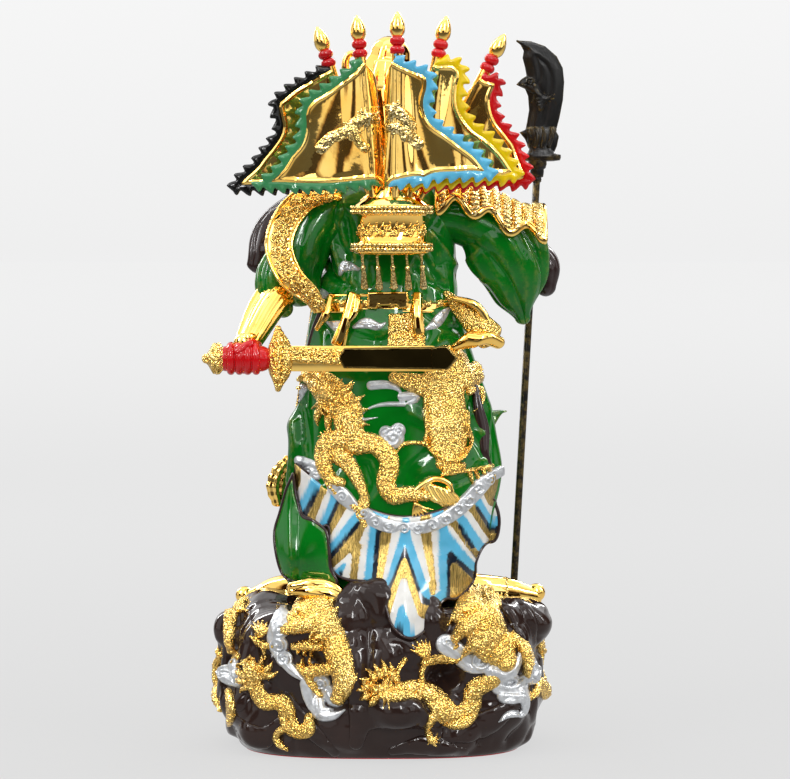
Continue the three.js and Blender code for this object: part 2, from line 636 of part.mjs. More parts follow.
function swordBody(gap = 0) {
  const [x0, y0, z0] = at(-102.5, swordY, swordZ).toArray();
  const guardStart = x0 + gripLength;
  const bladeStart = guardStart + guardThickness;
  const spun = (profile, from) => {
    const geometry = new THREE.LatheGeometry(profile.map(([r, x]) => new THREE.Vector2(r, x)), 10);
    geometry.rotateZ(-Math.PI / 2).translate(from, y0, z0);
    return solidFromGeometry(geometry);
  };
  const grip = spun([[0, -2], [gripRadius + gap, -2], [gripRadius + gap, gripLength + 2], [0, gripLength + 2]], x0);
  if (gap) return grip;
  const pommel = spun([[0, -11], [3, -9], [7.8, -5.5], [8.6, 1.2], [0, 1.2]], x0);
  // Share of the blade's length, width and thickness
  const bladeRows = [[0, 1, 1], [0.76, 1, 1], [0.86, 0.92, 0.95], [0.94, 0.6, 0.7], [1, 0.04, 0.1]];
  const blade = skin(
    bladeRows.map(([t, wide, thick]) => {
      const [w, d] = [(wide * swordBladeWidth) / 2, (thick * swordBladeThickness) / 2];
      const section = [[0, w], [-d, w * 0.5], [-d, -w * 0.5], [0, -w], [d, -w * 0.5], [d, w * 0.5]];
      return section.map(([y, z]) => new Vector3(bladeStart - 2 + t * (swordBladeLength + 2), y0 + y, z0 + z));
    }),
  );
  const guardRows = [[0.2, 0.5], [0.62, 0.8], [0.85, 1], [1, 1], [0.85, 1], [0.62, 0.8], [0.2, 0.5]];
  const guard = skin(
    steps(6).map((t) => {
      const [wide, thick] = between(guardRows, t);
      const z = z0 + (t - 0.5) * guardSpan;
      return steps(8).slice(1).map((turn) => {
        const [x, y] = oval(turn * 2 * Math.PI, (wide * guardThickness) / 2, thick * 8.5, 3);
        return new Vector3(guardStart + guardThickness / 2 + x, y0 + y, z);
      });
    }),
  );
  return joined([grip, pommel, guard, blade]);
}

// The halberd: pole, stepped collar, winged guard and crescent blade

const halberdFoot = () => poleAt(drawnRim - 8);
const halberdLean = () => poleAt(380).sub(poleAt(90)).normalize();
function halberdFrame(geometry) {
  const turn = new THREE.Quaternion().setFromUnitVectors(new Vector3(0, 0, 1), halberdLean());
  const foot = halberdFoot();
  return geometry.applyQuaternion(turn).translate(foot.x, foot.y, foot.z);
}
const poleLength = () => poleAt(388).distanceTo(halberdFoot());

function halberdRod(radius, from, to) {
  const rod = new THREE.CylinderGeometry(radius, radius, to - from, 8);
  rod.rotateX(Math.PI / 2).translate(0, 0, (from + to) / 2);
  return solidFromGeometry(halberdFrame(rod));
}

// The blade's outline beside its pole, in shares of its own height: its hooked back with the beak,
// and its curved edge
const bladeHeight = 66 * pose;
const bladeBack = [[-0.13, 0], [-0.09, 0.24], [-0.1, 0.4], [-0.16, 0.5], [-0.27, 0.57], [-0.1, 0.62], [-0.14, 0.74]];
const bladeTip = [[-0.21, 0.86], [-0.24, 0.94], [-0.34, 1.04]];
const bladeEdge = [[-0.34, 1.04], [-0.04, 1.02], [0.16, 0.9], [0.27, 0.72], [0.26, 0.5], [0.2, 0.25], [0.16, 0]];
function halberdBlade() {
  const edge = steps(9).map((t) => between(bladeEdge, t)).slice(1);
  const shape = new THREE.Shape([...bladeBack, ...bladeTip, ...edge].map(([x, z]) => new THREE.Vector2(x, z).multiplyScalar(bladeHeight)));
  const thick = halberdBladeThickness;
  const geometry = new THREE.ExtrudeGeometry(shape, { depth: thick, bevelEnabled: false });
  geometry.translate(0, 0, -thick / 2).rotateX(Math.PI / 2);
  return solidFromGeometry(halberdFrame(geometry.translate(0, 0, poleLength() + 9 * pose)));
}

function halberdSocket() {
  const top = poleLength();
  const rows = [[3.2, 3.2, -13], [4.8, 4.2, -12], [5, 4.4, -6], [7, 5.4, -5], [7, 5.4, -1], [12, 6.5, 0], [12.5, 6.5, 3], [9, 6, 4.5], [11.5, 5.5, 19], [9, 4.5, 20]];
  const geometryRings = rows.map(([wide, deep, z]) =>
    steps(10).slice(1).map((turn) => {
      const [x, y] = oval(turn * 2 * Math.PI, wide * pose, deep * pose, 3);
      return new Vector3(x + (z > -0.5 ? 3 * pose : 0), y, top + z * pose);
    }),
  );
  const turn = new THREE.Quaternion().setFromUnitVectors(new Vector3(0, 0, 1), halberdLean());
  return skin(geometryRings.map((ring) => ring.map((p) => p.applyQuaternion(turn).add(halberdFoot()))));
}

function halberd() {
  const seat = -halberdHoleDepth + 1;
  return joined([halberdRod(halberdPoleRadius, seat, poleLength()), halberdSocket(), halberdBlade()]);
}

// The pennants

// foot: drawn x and y of the socket; head: x, y and height of the pole's end under the collar;
// edge: x and height along the free edge from the pole's head down to the outer tip;
// hem: height of the lower edge at the tip and at the pole; swell: how far the cloth bellies out
const pennants = {
  black: { colour: 0x1c1a1a, foot: [-7, -38.5], head: [-34.4, -40, 447.7], edge: [[-36, 444], [-55, 432], [-71, 422], [-70, 404], [-77, 390], [-98, 367]], hem: [364, 372], depth: -47, swell: 3 },
  green: { colour: 0x2f8a4f, foot: [-6, -47], head: [-13.9, -47, 453.5], edge: [[-15, 450], [-34, 436], [-54, 422], [-55, 404], [-63, 388], [-86, 368]], hem: [363, 369], depth: -58, swell: 4 },
  blue: { colour: 0x5fb8e6, foot: [8.6, -53], head: [9.9, -52, 455.4], edge: [[10, 452], [27, 446], [36, 436], [33, 420], [47, 402], [75, 376]], hem: [368, 366], depth: -62, swell: 4 },
  yellow: { colour: 0xf2d21c, foot: [17, -46], head: [36.7, -46, 453.5], edge: [[37, 450], [50, 448], [56, 438], [53, 420], [65, 404], [90, 376]], hem: [368, 366], depth: -52, swell: 3 },
  red: { colour: 0xcf2222, foot: [24.5, -38.5], head: [68.2, -38, 444.8], edge: [[68, 441], [78, 433], [75, 420], [82, 408], [92, 390], [97, 372]], hem: [365, 364], depth: -43, swell: 2 },
};
const socketTop = 361;

function flagPole({ foot, head }) {
  const [low, high] = [at(foot[0], foot[1], socketTop), at(...head)];
  const up = high.clone().sub(low).normalize();
  return { low: low.addScaledVector(up, -flagSocketDepth), high, up };
}

// How a pennant lies: its pole's line, its free edge, its hem and how it bellies between them
function clothShape({ foot, head, edge, hem, depth, swell }) {
  const tip = edge.at(-1);
  const along = (z) => (z - socketTop) / (head[2] - socketTop);
  const poleX = (z) => lerp(foot[0], head[0], along(z));
  const curve = new THREE.SplineCurve(edge.map(([x, z]) => new THREE.Vector2(x, z)));
  const free = (t) => curve.getPointAt(t).toArray();
  const lower = (t) => [lerp(tip[0], poleX(hem[1]), t), lerp(hem[0], hem[1], t)];
  const pole = (t) => {
    const z = lerp(hem[1], head[2] - 3, t);
    return [poleX(z), z];
  };
  // Across the cloth: u runs from the pole to the free edge, and v from the head to the hem
  const inside = (u, v) => {
    const [x, z] = free(v);
    const [x0, z0] = pole(1 - v);
    return [lerp(x0, x, u), lerp(z0, Math.max(z, hem[0] + 8), u)];
  };
  const place = ([x, z], off) => {
    const away = clamp(Math.abs(x - poleX(z)) / Math.abs(tip[0] - foot[0]), 0, 1);
    const belly = swell * Math.sin(Math.min(1, away * 1.6) * Math.PI);
    return at(x, lerp(lerp(foot[1], head[1], along(z)), depth, away) - belly + off, z);
  };
  return { outward: Math.sign(tip[0] - head[0]), free, lower, pole, inside, place };
}

// Points along a border, every second one moved outwards to make a tooth
function toothed(curve, outward) {
  const spans = steps(20).map(curve);
  const length = spans.slice(1).reduce((sum, [x, z], k) => sum + Math.hypot(x - spans[k][0], z - spans[k][1]), 0);
  const count = 2 * Math.max(2, Math.round((length * pose) / flagToothPitch));
  return steps(count).map((t, k) => {
    const [x, z] = curve(t);
    const [[x0, z0], [x1, z1]] = [curve(Math.max(0, t - 0.04)), curve(Math.min(1, t + 0.04))];
    const out = (k % 2 ? flagTooth / pose : 0) / Math.hypot(x1 - x0, z1 - z0);
    return [x - (z1 - z0) * out * outward, z + (x1 - x0) * out * outward];
  });
}

// Triangles over a flat outline and the points inside it, evened out by turning their shared sides;
// they run the same way round as the outline
function tiled(outline, within) {
  const points = [...outline, ...within].map(([x, z]) => new THREE.Vector2(x, z));
  const turn = (a, b, c) => points[b].clone().sub(points[a]).cross(points[c].clone().sub(points[a]));
  const edge = points.slice(0, outline.length);
  const facing = Math.sign(THREE.ShapeUtils.area(edge));
  const faces = THREE.ShapeUtils.triangulateShape(edge, [])
    .map(([a, b, c]) => (turn(a, b, c) * facing > 0 ? [a, b, c] : [a, c, b]));
  for (let point = outline.length; point < points.length; point++) {
    const sides = ([a, b, c]) => [[a, b, point], [b, c, point], [c, a, point]];
    const around = faces.findIndex((face) => sides(face).every((side) => turn(...side) * facing > 0));
    if (around >= 0) faces.splice(around, 1, ...sides(faces[around]));
  }
  const angle = (a, b, c) => points[a].clone().sub(points[b]).angleTo(points[c].clone().sub(points[b]));
  const turned = () => {
    for (const [k, first] of faces.entries()) {
      for (const side of [0, 1, 2]) {
        const [a, b, c] = [0, 1, 2].map((step) => first[(side + step) % 3]);
        const other = faces.findIndex((face) => face !== first && face.includes(a) && face.includes(b));
        if (other < 0) continue;
        const d = faces[other].find((corner) => corner !== a && corner !== b);
        const convex = turn(a, d, c) * facing > 1e-6 && turn(d, b, c) * facing > 1e-6;
        if (convex && angle(a, c, b) + angle(a, d, b) > Math.PI + 1e-6) {
          [faces[k], faces[other]] = [[a, d, c], [d, b, c]];
          return true;
        }
      }
    }
    return false;
  };
  while (turned()) continue;
  return faces.map((face) => face.map((corner) => points[corner].toArray()));
}

function flagCloth(pennant) {
  const { outward, free, lower, pole, inside, place } = clothShape(pennant);
  const [freeEdge, hemEdge] = [toothed(free, outward), [free(1), ...toothed(lower, outward).slice(1)]];
  const rim = [...freeEdge, ...hemEdge.slice(1), pole(1)];
  const grid = steps(3).flatMap((v) => steps(2).map((u) => inside(lerp(0.16, 0.78, u), lerp(0.16, 0.86, v))));
  const points = [];
  const faces = [];
  const add = (corners) => faces.push(corners.map((corner) => points.push(corner) - 1));
  const half = flagThickness / pose / 2;
  for (const corners of tiled(rim, grid)) {
    add(corners.map((corner) => place(corner, -half)));
    add(corners.map((corner) => place(corner, half)).reverse());
  }
  rim.forEach((here, k) => {
    const next = rim[(k + 1) % rim.length];
    const [a, b, c, d] = [place(here, -half), place(next, -half), place(here, half), place(next, half)];
    add([b, a, c]);
    add([b, c, d]);
  });
  return solidOf(points, faces);
}

// The pole with its collar of two beads and its almond finial
function flagStaff({ foot, head }, gap = 0) {
  const { low, high, up } = flagPole({ foot, head });
  const long = high.distanceTo(low);
  const narrow = flagPoleFoot + gap;
  const bead = flagPoleHead + 1;
  const collar = [[bead, long + 1.5], [flagPoleHead, long + 4.2], [bead, long + 6.8]];
  const almond = [[flagPoleHead - 0.8, 8.6], [finialRadius, 8.6 + finialLength * 0.4]]
    .map(([r, z]) => [r, long + z]);
  const profile = gap
    ? [[0, -gap], [narrow, -gap], [narrow, flagSocketDepth + 4], [0, flagSocketDepth + 4]]
    : [[0, 0], [narrow, 0], [narrow, flagSocketDepth], [flagPoleHead, long], ...collar, ...almond, [0, long + 8.6 + finialLength]];
  const geometry = new THREE.LatheGeometry(profile.map(([r, z]) => new THREE.Vector2(r, z)), 6);
  geometry.applyQuaternion(new THREE.Quaternion().setFromUnitVectors(new Vector3(0, 1, 0), up));
  return solidFromGeometry(geometry.translate(low.x, low.y, low.z));
}

// The whole casting, with its holes

function statue() {
  const rock = buildRock();
  const cast = joined([
    rock,
    skirt(),
    panel(),
    corner(),
    robeFlick(),
    torso(),
    belt(),
    ...straps(),
    ...sash(),
    drumBody(),
    ...tassels(),
    ...head(),
    ...cap(),
    beard(),
    ...leftArm(),
    sleeveBorder(),
    sleeveLining(),
    leftHand(),
    ...rightArm(),
    rightHand(),
    plate(capePoint, 3 * pose, 8, 3),
    ...boots(),
    hipPlate(),
    buckle(),
    ...frontPlates.map(frontPlate),
    ...robeDragons(),
    ...robeClouds(),
    ...rockCarving(rock),
  ]);
  const holes = [
    swordBody(clearance),
    halberdRod(halberdPoleRadius + clearance, -halberdHoleDepth, poleLength()),
    ...Object.values(pennants).map((pennant) => flagStaff(pennant, clearance)),
  ];
  return filled(holes.reduce((body, hole) => body.subtract(hole), filled(cast)));
}

function node(name, solid, colour, roughness, metalness) {
  const material = new THREE.MeshStandardMaterial({ color: colour, roughness, metalness });
  const mesh = new THREE.Mesh(geometryOf(solid), material);
  mesh.name = name;
  return mesh;
}

const group = new THREE.Group();
group.add(node("general_on_rock", statue(), 0x1d7a34, 0.25, 0.1));
group.add(node("sword", swordBody(), 0xe0a92e, 0.15, 1));
group.add(node("halberd", halberd(), 0x1d1c1a, 0.4, 0.4));
for (const [name, pennant] of Object.entries(pennants)) {
  const solid = joined([flagStaff(pennant), flagCloth(pennant)]);
  group.add(node("pennant_" + name, solid, pennant.colour, 0.3, 0.2));
}

export default group;
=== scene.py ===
# A gilded and enamelled guardian general on his rock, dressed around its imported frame.
# The shapes are drawn in millimetres, and every mesh is written in metres in the frame's own axes:
# +Z up, the general faces +Y, and his back is towards the camera.
import math

import bpy
import numpy as np
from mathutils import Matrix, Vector
from mathutils.bvhtree import BVHTree


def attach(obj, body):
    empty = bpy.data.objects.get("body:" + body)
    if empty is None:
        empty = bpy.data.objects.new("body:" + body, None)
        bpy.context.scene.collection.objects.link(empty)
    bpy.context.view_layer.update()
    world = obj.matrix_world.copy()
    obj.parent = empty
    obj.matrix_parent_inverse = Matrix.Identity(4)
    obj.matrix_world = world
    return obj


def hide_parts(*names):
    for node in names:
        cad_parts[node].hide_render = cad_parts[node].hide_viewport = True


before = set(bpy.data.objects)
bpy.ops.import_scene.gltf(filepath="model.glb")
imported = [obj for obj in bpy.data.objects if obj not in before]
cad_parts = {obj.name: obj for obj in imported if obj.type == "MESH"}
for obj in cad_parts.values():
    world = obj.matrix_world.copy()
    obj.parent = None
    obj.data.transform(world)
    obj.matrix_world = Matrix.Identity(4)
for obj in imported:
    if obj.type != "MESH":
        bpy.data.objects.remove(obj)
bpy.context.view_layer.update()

bl_info = {
    "name": "Guardian general",
    "version": (1, 0, 0),
    "blender": (4, 5, 0),
    "location": "View3D > Sidebar > Statue",
    "description": "Builds the looks of an enamelled and gilded guardian general around its frame",
    "category": "Add Mesh",
}

MM = 0.001
BACK = np.array([0.0, -1.0, 0.0])
FRONT = np.array([0.0, 1.0, 0.0])
LEFT = np.array([-1.0, 0.0, 0.0])
RIGHT = np.array([1.0, 0.0, 0.0])
UP = (0, 0, 1)
# Pieces with fewer faces than this keep them all
SMALL_PIECE = 1200
# What stands out behind this depth is pressed in softly, so that it stays by the solid's own box
BACK_WALL = -84.0
SOFT_REACH = 4.0
# Level rays that lay a relief on a surface start this far out
RAY_START = 400.0
# A drawing's distances are cut off here
FAR_AWAY = 20.0
# Grid points within this share of a cell from an outline are moved onto it
EDGE_SHARE = 0.75


# Numbers and lines


def settings():
    return bpy.context.scene.statue_carving


def at(x, y, z):
    """Points from numbers or arrays of their coordinates."""
    return np.stack(np.broadcast_arrays(np.asarray(x, float), y, z), -1)


def columns(rows):
    return np.moveaxis(rows, -1, 0)


def smooth(value, low, high):
    """0 below low, 1 above high, and a soft step between them."""
    t = np.clip((np.asarray(value, float) - low) / (high - low), 0, 1)
    return t * t * (3 - 2 * t)


def bump(value, middle, spread):
    """1 at the middle, and falling off softly to both sides."""
    return np.exp(-(((np.asarray(value, float) - middle) / spread) ** 2))


def lerp(a, b, t):
    a, b = np.asarray(a, float), np.asarray(b, float)
    return a + (b - a) * t


def unit(vectors):
    vectors = np.asarray(vectors, float)
    return vectors / np.maximum(np.linalg.norm(vectors, axis=-1, keepdims=True), 1e-9)


def between(rows, t):
    """The numbers between evenly spaced rows, on a smooth curve through them."""
    rows = np.asarray(rows, float)
    place = np.clip(np.asarray(t, float), 0, 1) * (len(rows) - 1)
    low = np.minimum(np.floor(place).astype(int), len(rows) - 2)
    f = (place - low)[..., None]
    a, b, c, d = (rows[np.clip(low + k, 0, len(rows) - 1)] for k in (-1, 0, 1, 2))
    return b + 0.5 * f * (c - a + f * (2 * a - 5 * b + 4 * c - d + f * (3 * (b - c) + d - a)))


def evenly(points, count):
    """count + 1 points at even distances along a smooth line through the given ones."""
    fine = between(points, np.linspace(0, 1, 30 * len(points)))
    walked = np.r_[0, np.cumsum(np.linalg.norm(np.diff(fine, axis=0), axis=1))]
    places = np.linspace(0, walked[-1], count + 1)
    return np.stack([np.interp(places, walked, column) for column in fine.T], axis=1)


def around(count):
    """Angles at even steps round a circle."""
    return np.linspace(0, 2 * np.pi, count, endpoint=False)


def oval(angle, wide, deep, power):
    """A rounded box or ellipse: power 2 is an ellipse, and more is squarer."""
    c, s = np.cos(angle), np.sin(angle)
    return wide * np.sign(c) * np.abs(c) ** (2 / power), deep * np.sign(s) * np.abs(s) ** (2 / power)


def folds(count, depth, twist, start=0.0):
    """Round folds with sharp creases between them."""
    return lambda a, t: 1 + depth * (2 * np.abs(np.sin((count * a + twist * t + start) / 2)) ** 0.7 - 1.2)


def ribbed(count, depth):
    """Soft ribs along a tube."""
    return lambda a, t: 1 + depth * np.cos(count * a)


def flip(k):
    """1 for odd numbers, -1 for even ones."""
    return 1 if k % 2 else -1


def noise(points, size, seed):
    """Soft noise from -1 to 1 in lumps of the given size, the same on each run."""
    spot = np.asarray(points, float) / size + 11.7 * seed
    low = np.floor(spot).astype(np.int64)
    part = spot - low
    part = part * part * (3 - 2 * part)
    primes = np.array([73856093, 19349663, 83492791])[: spot.shape[-1]]
    total = 0.0
    for corner in np.ndindex(*(2,) * spot.shape[-1]):
        key = ((low + np.array(corner)) * primes).sum(-1)
        key = ((key ^ (key >> 13)) * 1274126177) & 0xFFFFFFFF
        value = ((key ^ (key >> 16)) & 0xFFFF) / 32767.5 - 1
        total = total + value * np.prod(np.where(np.array(corner) > 0, part, 1 - part), axis=-1)
    return total


# Meshes


def placed(name, data):
    """A new object in the scene."""
    made = bpy.data.objects.new(name, data)
    bpy.context.scene.collection.objects.link(made)
    return made


def worked_out(piece):
    """A new mesh of a piece as its modifiers leave it."""
    return bpy.data.meshes.new_from_object(piece.evaluated_get(bpy.context.evaluated_depsgraph_get()))


def read_out(items, key, width, kind=np.float32):
    """One property of all items, as rows of numbers."""
    numbers = np.zeros(len(items) * width, kind)
    items.foreach_get(key, numbers)
    return numbers.reshape(-1, width)


def tube(spine, girths, sides, rings, across=(1, 0, 0), power=2.0, swell=None, ends=(1, 1)):
    """Rings of points round a spine. girths is one radius, or rows of half width and half depth, ends
    says how far each end bulges, as a share of its girth, and swell(angle, t) multiplies the radius."""
    line = evenly(spine, rings)
    tangent = unit(np.gradient(line, axis=0))
    side = unit(np.array(across, float) - tangent * (tangent @ np.array(across, float))[:, None])
    deep = np.cross(tangent, side)
    t = np.linspace(0, 1, rings + 1)
    size = between(girths if np.ndim(girths) else [(girths, girths)] * 2, t)
    scale = np.ones(rings + 1)
    arcs = np.sin(np.linspace(0, 0.5 * np.pi, 7))[1:]
    shrink = np.sqrt(np.maximum(1 - arcs**2, 0.0004))
    for end, at in ((ends[0], 0), (ends[1], -1)):
        if not end:
            continue
        before = at == 0
        extra = line[at] + (-1 if before else 1) * end * size[at].min() * arcs[:, None] * tangent[at]
        join = lambda old, new: np.concatenate([new[::-1], old] if before else [old, new])
        line, scale = join(line, extra), join(scale, shrink)
        side, deep, size, tangent = (
            join(a, np.repeat(a[at][None], 6, 0)) for a in (side, deep, size, tangent)
        )
        t = join(t, np.full(6, t[at]))
    angle = around(sides)
    u, v = oval(angle[None], size[:, :1], size[:, 1:], power)
    more = (swell(angle[None], t[:, None]) if swell else 1) * scale[:, None]
    return line[:, None] + side[:, None] * (u * more)[..., None] + deep[:, None] * (v * more)[..., None]


def dome(middle, radii, sides=28):
    """Rings of points over a ball."""
    up = np.linspace(0.04, np.pi - 0.04, sides)
    angle = around(sides)
    ball = np.stack(
        [
            np.sin(up)[:, None] * np.cos(angle), np.sin(up)[:, None] * np.sin(angle),
            np.cos(up)[:, None] + 0 * angle
        ],
        -1
    )
    return np.array(middle, float) + ball * np.array(radii, float)


def spun(profile, start, end, sides):
    """Rings turned round the line from start to end; profile holds radius and distance along it."""
    start, end = np.array(start, float), np.array(end, float)
    along = unit(end - start)
    side = unit(np.cross(along, [0.31, 0.9, 0.2]))
    deep = np.cross(along, side)
    angle = around(sides)[:, None]
    return np.stack(
        [start + along * z + r * (side * np.cos(angle) + deep * np.sin(angle)) for r, z in profile]
    )


def thin_out(piece):
    """Merges the flattest faces of a large piece first, such as the hidden backs of its reliefs."""
    name, mesh = piece.name, piece.data
    if len(mesh.polygons) < SMALL_PIECE:
        return
    modifier = piece.modifiers.new("Thin out", "DECIMATE")
    modifier.ratio = settings().kept
    piece.data = worked_out(piece)
    piece.modifiers.remove(modifier)
    bpy.data.meshes.remove(mesh)
    piece.data.name = name


class Cast:
    """Gathers the parts of one piece and makes its mesh."""

    def __init__(self):
        self.points, self.faces, self.paint, self.count = [], [], [], 0

    def add(self, points, faces, paint=None):
        """Adds a closed part, turned so that its faces look outwards."""
        points = np.asarray(points, float).reshape(-1, 3)
        volume = 0.0
        for f in faces:
            a = points[f[:, 0]]
            for k in range(1, f.shape[1] - 1):
                volume += np.einsum("ij,ij->i", a, np.cross(points[f[:, k]], points[f[:, k + 1]])).sum()
        if volume < 0:
            faces = [f[:, ::-1] for f in faces]
        for f in faces:
            self.faces += (f + self.count).tolist()
        self.points.append(points)
        self.paint.append(np.zeros((len(points), 4)) if paint is None else paint)
        self.count += len(points)
        return self

    def round(self, rings):
        """A closed skin over rings of points."""
        rows, count = rings.shape[:2]
        ids = np.arange(rows * count).reshape(rows, count)
        nxt = np.roll(ids, -1, axis=1)
        quads = np.stack([ids[:-1], nxt[:-1], nxt[1:], ids[1:]], -1).reshape(-1, 4)
        top, low = rows * count, rows * count + 1
        fans = np.concatenate(
            [
                np.stack([np.full(count, top), nxt[0], ids[0]], -1),
                np.stack([np.full(count, low), ids[-1], nxt[-1]], -1),
            ]
        )
        points = np.concatenate([rings.reshape(-1, 3), rings[0].mean(0)[None], rings[-1].mean(0)[None]])
        return self.add(points, [quads, fans])

    def tube(self, *shape, **more):
        return self.round(tube(*shape, **more))

    def dome(self, *shape):
        return self.round(dome(*shape))

    def slab(self, front, back):
        """A closed sheet between a front and a back grid of points."""
        return self.cells(front, back, np.ones((front.shape[0] - 1, front.shape[1] - 1), bool))

    def cells(self, front, back, keep, paint=None):
        """A closed sheet over the cells of a grid that are kept."""
        rows, count = front.shape[:2]
        ids = np.arange(rows * count).reshape(rows, count)
        quads = np.stack([ids[:-1, :-1], ids[:-1, 1:], ids[1:, 1:], ids[1:, :-1]], -1)[keep]
        edges = np.concatenate([quads[:, [k, (k + 1) % 4]] for k in range(4)])
        code = edges[:, 0].astype(np.int64) * rows * count + edges[:, 1]
        other = edges[:, 1].astype(np.int64) * rows * count + edges[:, 0]
        rim = edges[~np.isin(code, other)]
        used = np.unique(quads)
        new = np.full(rows * count, -1)
        new[used] = np.arange(len(used))
        behind = new + len(used)
        walls = np.stack([new[rim[:, 1]], new[rim[:, 0]], behind[rim[:, 0]], behind[rim[:, 1]]], -1)
        points = np.concatenate([front.reshape(-1, 3)[used], back.reshape(-1, 3)[used]])
        if paint is not None:
            paint = np.tile(paint.reshape(-1, 4)[used], (2, 1))
        return self.add(points, [new[quads], behind[quads][:, ::-1], walls], paint)

    def ground(self):
        """The parts so far as a surface to lay reliefs on."""
        return BVHTree.FromPolygons(np.concatenate(self.points).tolist(), self.faces)

    def make(self, name, finish, replaces=None, sharp=None):
        """Makes the piece, attaches it to the root body, and hides the part of the frame that it replaces."""
        mesh = bpy.data.meshes.new(name)
        points = np.concatenate(self.points)
        points[:, 2] = np.maximum(points[:, 2], 0.0)
        past = np.maximum(BACK_WALL - points[:, 1], 0)
        points[:, 1] += past - SOFT_REACH * np.tanh(past / SOFT_REACH)
        mesh.from_pydata((points * MM).tolist(), [], self.faces)
        mesh.materials.append(bpy.data.materials[finish])
        paint = np.concatenate(self.paint)
        if paint.any():
            layer = mesh.attributes.new("paint", "FLOAT_COLOR", "POINT")
            layer.data.foreach_set("color", paint.astype(np.float32).ravel())
        mesh.shade_smooth()
        if sharp:
            mesh.set_sharp_from_angle(angle=math.radians(sharp))
        mesh.update()
        piece = placed(name, mesh)
        thin_out(piece)
        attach(piece, "root")
        if replaces:
            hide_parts(replaces)
        return piece


# Reliefs laid on a surface


class Drawing:
    """Tapering strokes and curls on a wall, which pile up into one relief."""

    def __init__(self):
        self.marks = []

    def stroke(self, points, wide, high, scales=0.0, lace=0.0, power=2.0):
        """wide and high are one number, or rows along the stroke."""
        length = np.linalg.norm(np.diff(np.array(points, float), axis=0), axis=1).sum()
        count = max(4, int(length / 1.6))
        line = evenly(points, count)
        t = np.linspace(0, 1, count + 1)
        rows = lambda v: between(
            np.array(v, float)[:, None], t
        )[:, 0] if np.ndim(v) else np.full(count + 1, float(v))
        self.marks.append(("stroke", line, np.maximum(rows(wide), 0.25), rows(high), scales, lace, power))
        return self

    def curl(self, x, z, radius, high, way=1, pitch=3.2):
        self.marks.append(("curl", np.array([x, z], float), radius, high, way, pitch))
        return self

    def box(self):
        lows, highs = [], []
        for mark in self.marks:
            reach = mark[2].max() if mark[0] == "stroke" else mark[2]
            lows.append(mark[1].reshape(-1, 2).min(0) - reach - 1)
            highs.append(mark[1].reshape(-1, 2).max(0) + reach + 1)
        return np.min(lows, 0), np.max(highs, 0)

    def __call__(self, x, z):
        """How far each point lies outside the relief, and how high the relief is there."""
        far, rise = np.full(x.shape, FAR_AWAY), np.zeros(x.shape)
        for mark in self.marks:
            if mark[0] == "curl":
                _, (cx, cz), radius, high, way, pitch = mark
                dx, dz = x - cx, z - cz
                away = np.hypot(dx, dz)
                turn = np.arctan2(dz, dx) * way / (2 * np.pi)
                groove = 0.5 + 0.5 * np.cos(2 * np.pi * (away / pitch - turn))
                inside = np.clip(1 - (away / radius) ** 2, 0, 1)
                level = high * (0.45 * np.sqrt(inside) + 0.55 * groove * np.minimum(1, 3 * inside))
                far = np.minimum(far, away - radius)
                rise = np.where(away < radius, np.maximum(rise, level), rise)
                continue
            _, line, wide, high, scales, lace, power = mark
            reach = wide.max() + 1.5
            low, top = line.min(0) - reach, line.max(0) + reach
            pick = (x > low[0]) & (x < top[0]) & (z > low[1]) & (z < top[1])
            px, pz = x[pick][:, None], z[pick][:, None]
            a, b = line[:-1], line[1:]
            ab = b - a
            share = ((px - a[:, 0]) * ab[:, 0] + (pz - a[:, 1]) * ab[:, 1]) / (ab**2).sum(1)
            share = np.clip(share, 0, 1)
            dx, dz = px - a[:, 0] - share * ab[:, 0], pz - a[:, 1] - share * ab[:, 1]
            here = wide[:-1] + share * np.diff(wide)
            away = np.hypot(dx, dz)
            best = (away - here).argmin(1)
            rows = np.arange(len(best))
            away, here, share = away[rows, best], here[rows, best], share[rows, best]
            across = np.sign(ab[best, 0] * dz[rows, best] - ab[best, 1] * dx[rows, best]) * away
            walked = np.r_[0, np.cumsum(np.hypot(*ab.T))]
            along = walked[best] + share * np.hypot(*ab[best].T)
            tall = high[best] + share * (high[best + 1] - high[best])
            q = np.clip(away / here, 0, 1)
            level = tall * (1 - q**power) ** (1 / 2)
            if scales:
                row = np.floor(along / scales)
                part = along / scales - row
                bend = np.arcsin(np.clip(across / here, -1, 1)) * here / (scales * 1.15) + 0.5 * (row % 2)
                side = 2 * (bend - np.floor(bend)) - 1
                level = level + 0.34 * scales * (
                    (1 - part) * (1 - 0.75 * side**2) - 0.35
                ) * np.minimum(1, 3 * (1 - q))
            if lace:
                spot = np.stack([x[pick], z[pick]], -1)
                web = 1 - np.minimum(1, 3.2 * np.abs(noise(spot, 3.4, 3)))
                level = level + lace * web * smooth(1 - q, 0, 0.2)
            far[pick] = np.minimum(far[pick], away - here)
            rise[pick] = np.where(away < here, np.maximum(rise[pick], level), rise[pick])
        return far, rise


def lie(ground, x, z, facing, passes):
    """Where level rays meet a surface, with softened normals; points that miss it are marked."""
    right = np.cross([0, 0, 1], facing)
    starts = x[..., None] * right + z[..., None] * np.array([0, 0, 1.0]) + RAY_START * facing
    hit = np.full(x.shape + (3,), np.nan)
    way = np.zeros(x.shape + (3,))
    ahead = Vector(-facing)
    for place in np.argwhere(~np.isnan(x)):
        spot, normal, _, _ = ground.ray_cast(Vector(starts[tuple(place)]), ahead)
        if spot is not None:
            hit[tuple(place)] = spot
            way[tuple(place)] = normal
    there = ~np.isnan(hit[..., 0])
    way = unit(way + 0.7 * facing) * there[..., None]
    for _ in range(passes):
        total = way.copy()
        for axis in (0, 1):
            for step in (-1, 1):
                total += np.roll(way, step, axis)
        way = unit(total) * there[..., None]
    return hit, way, there


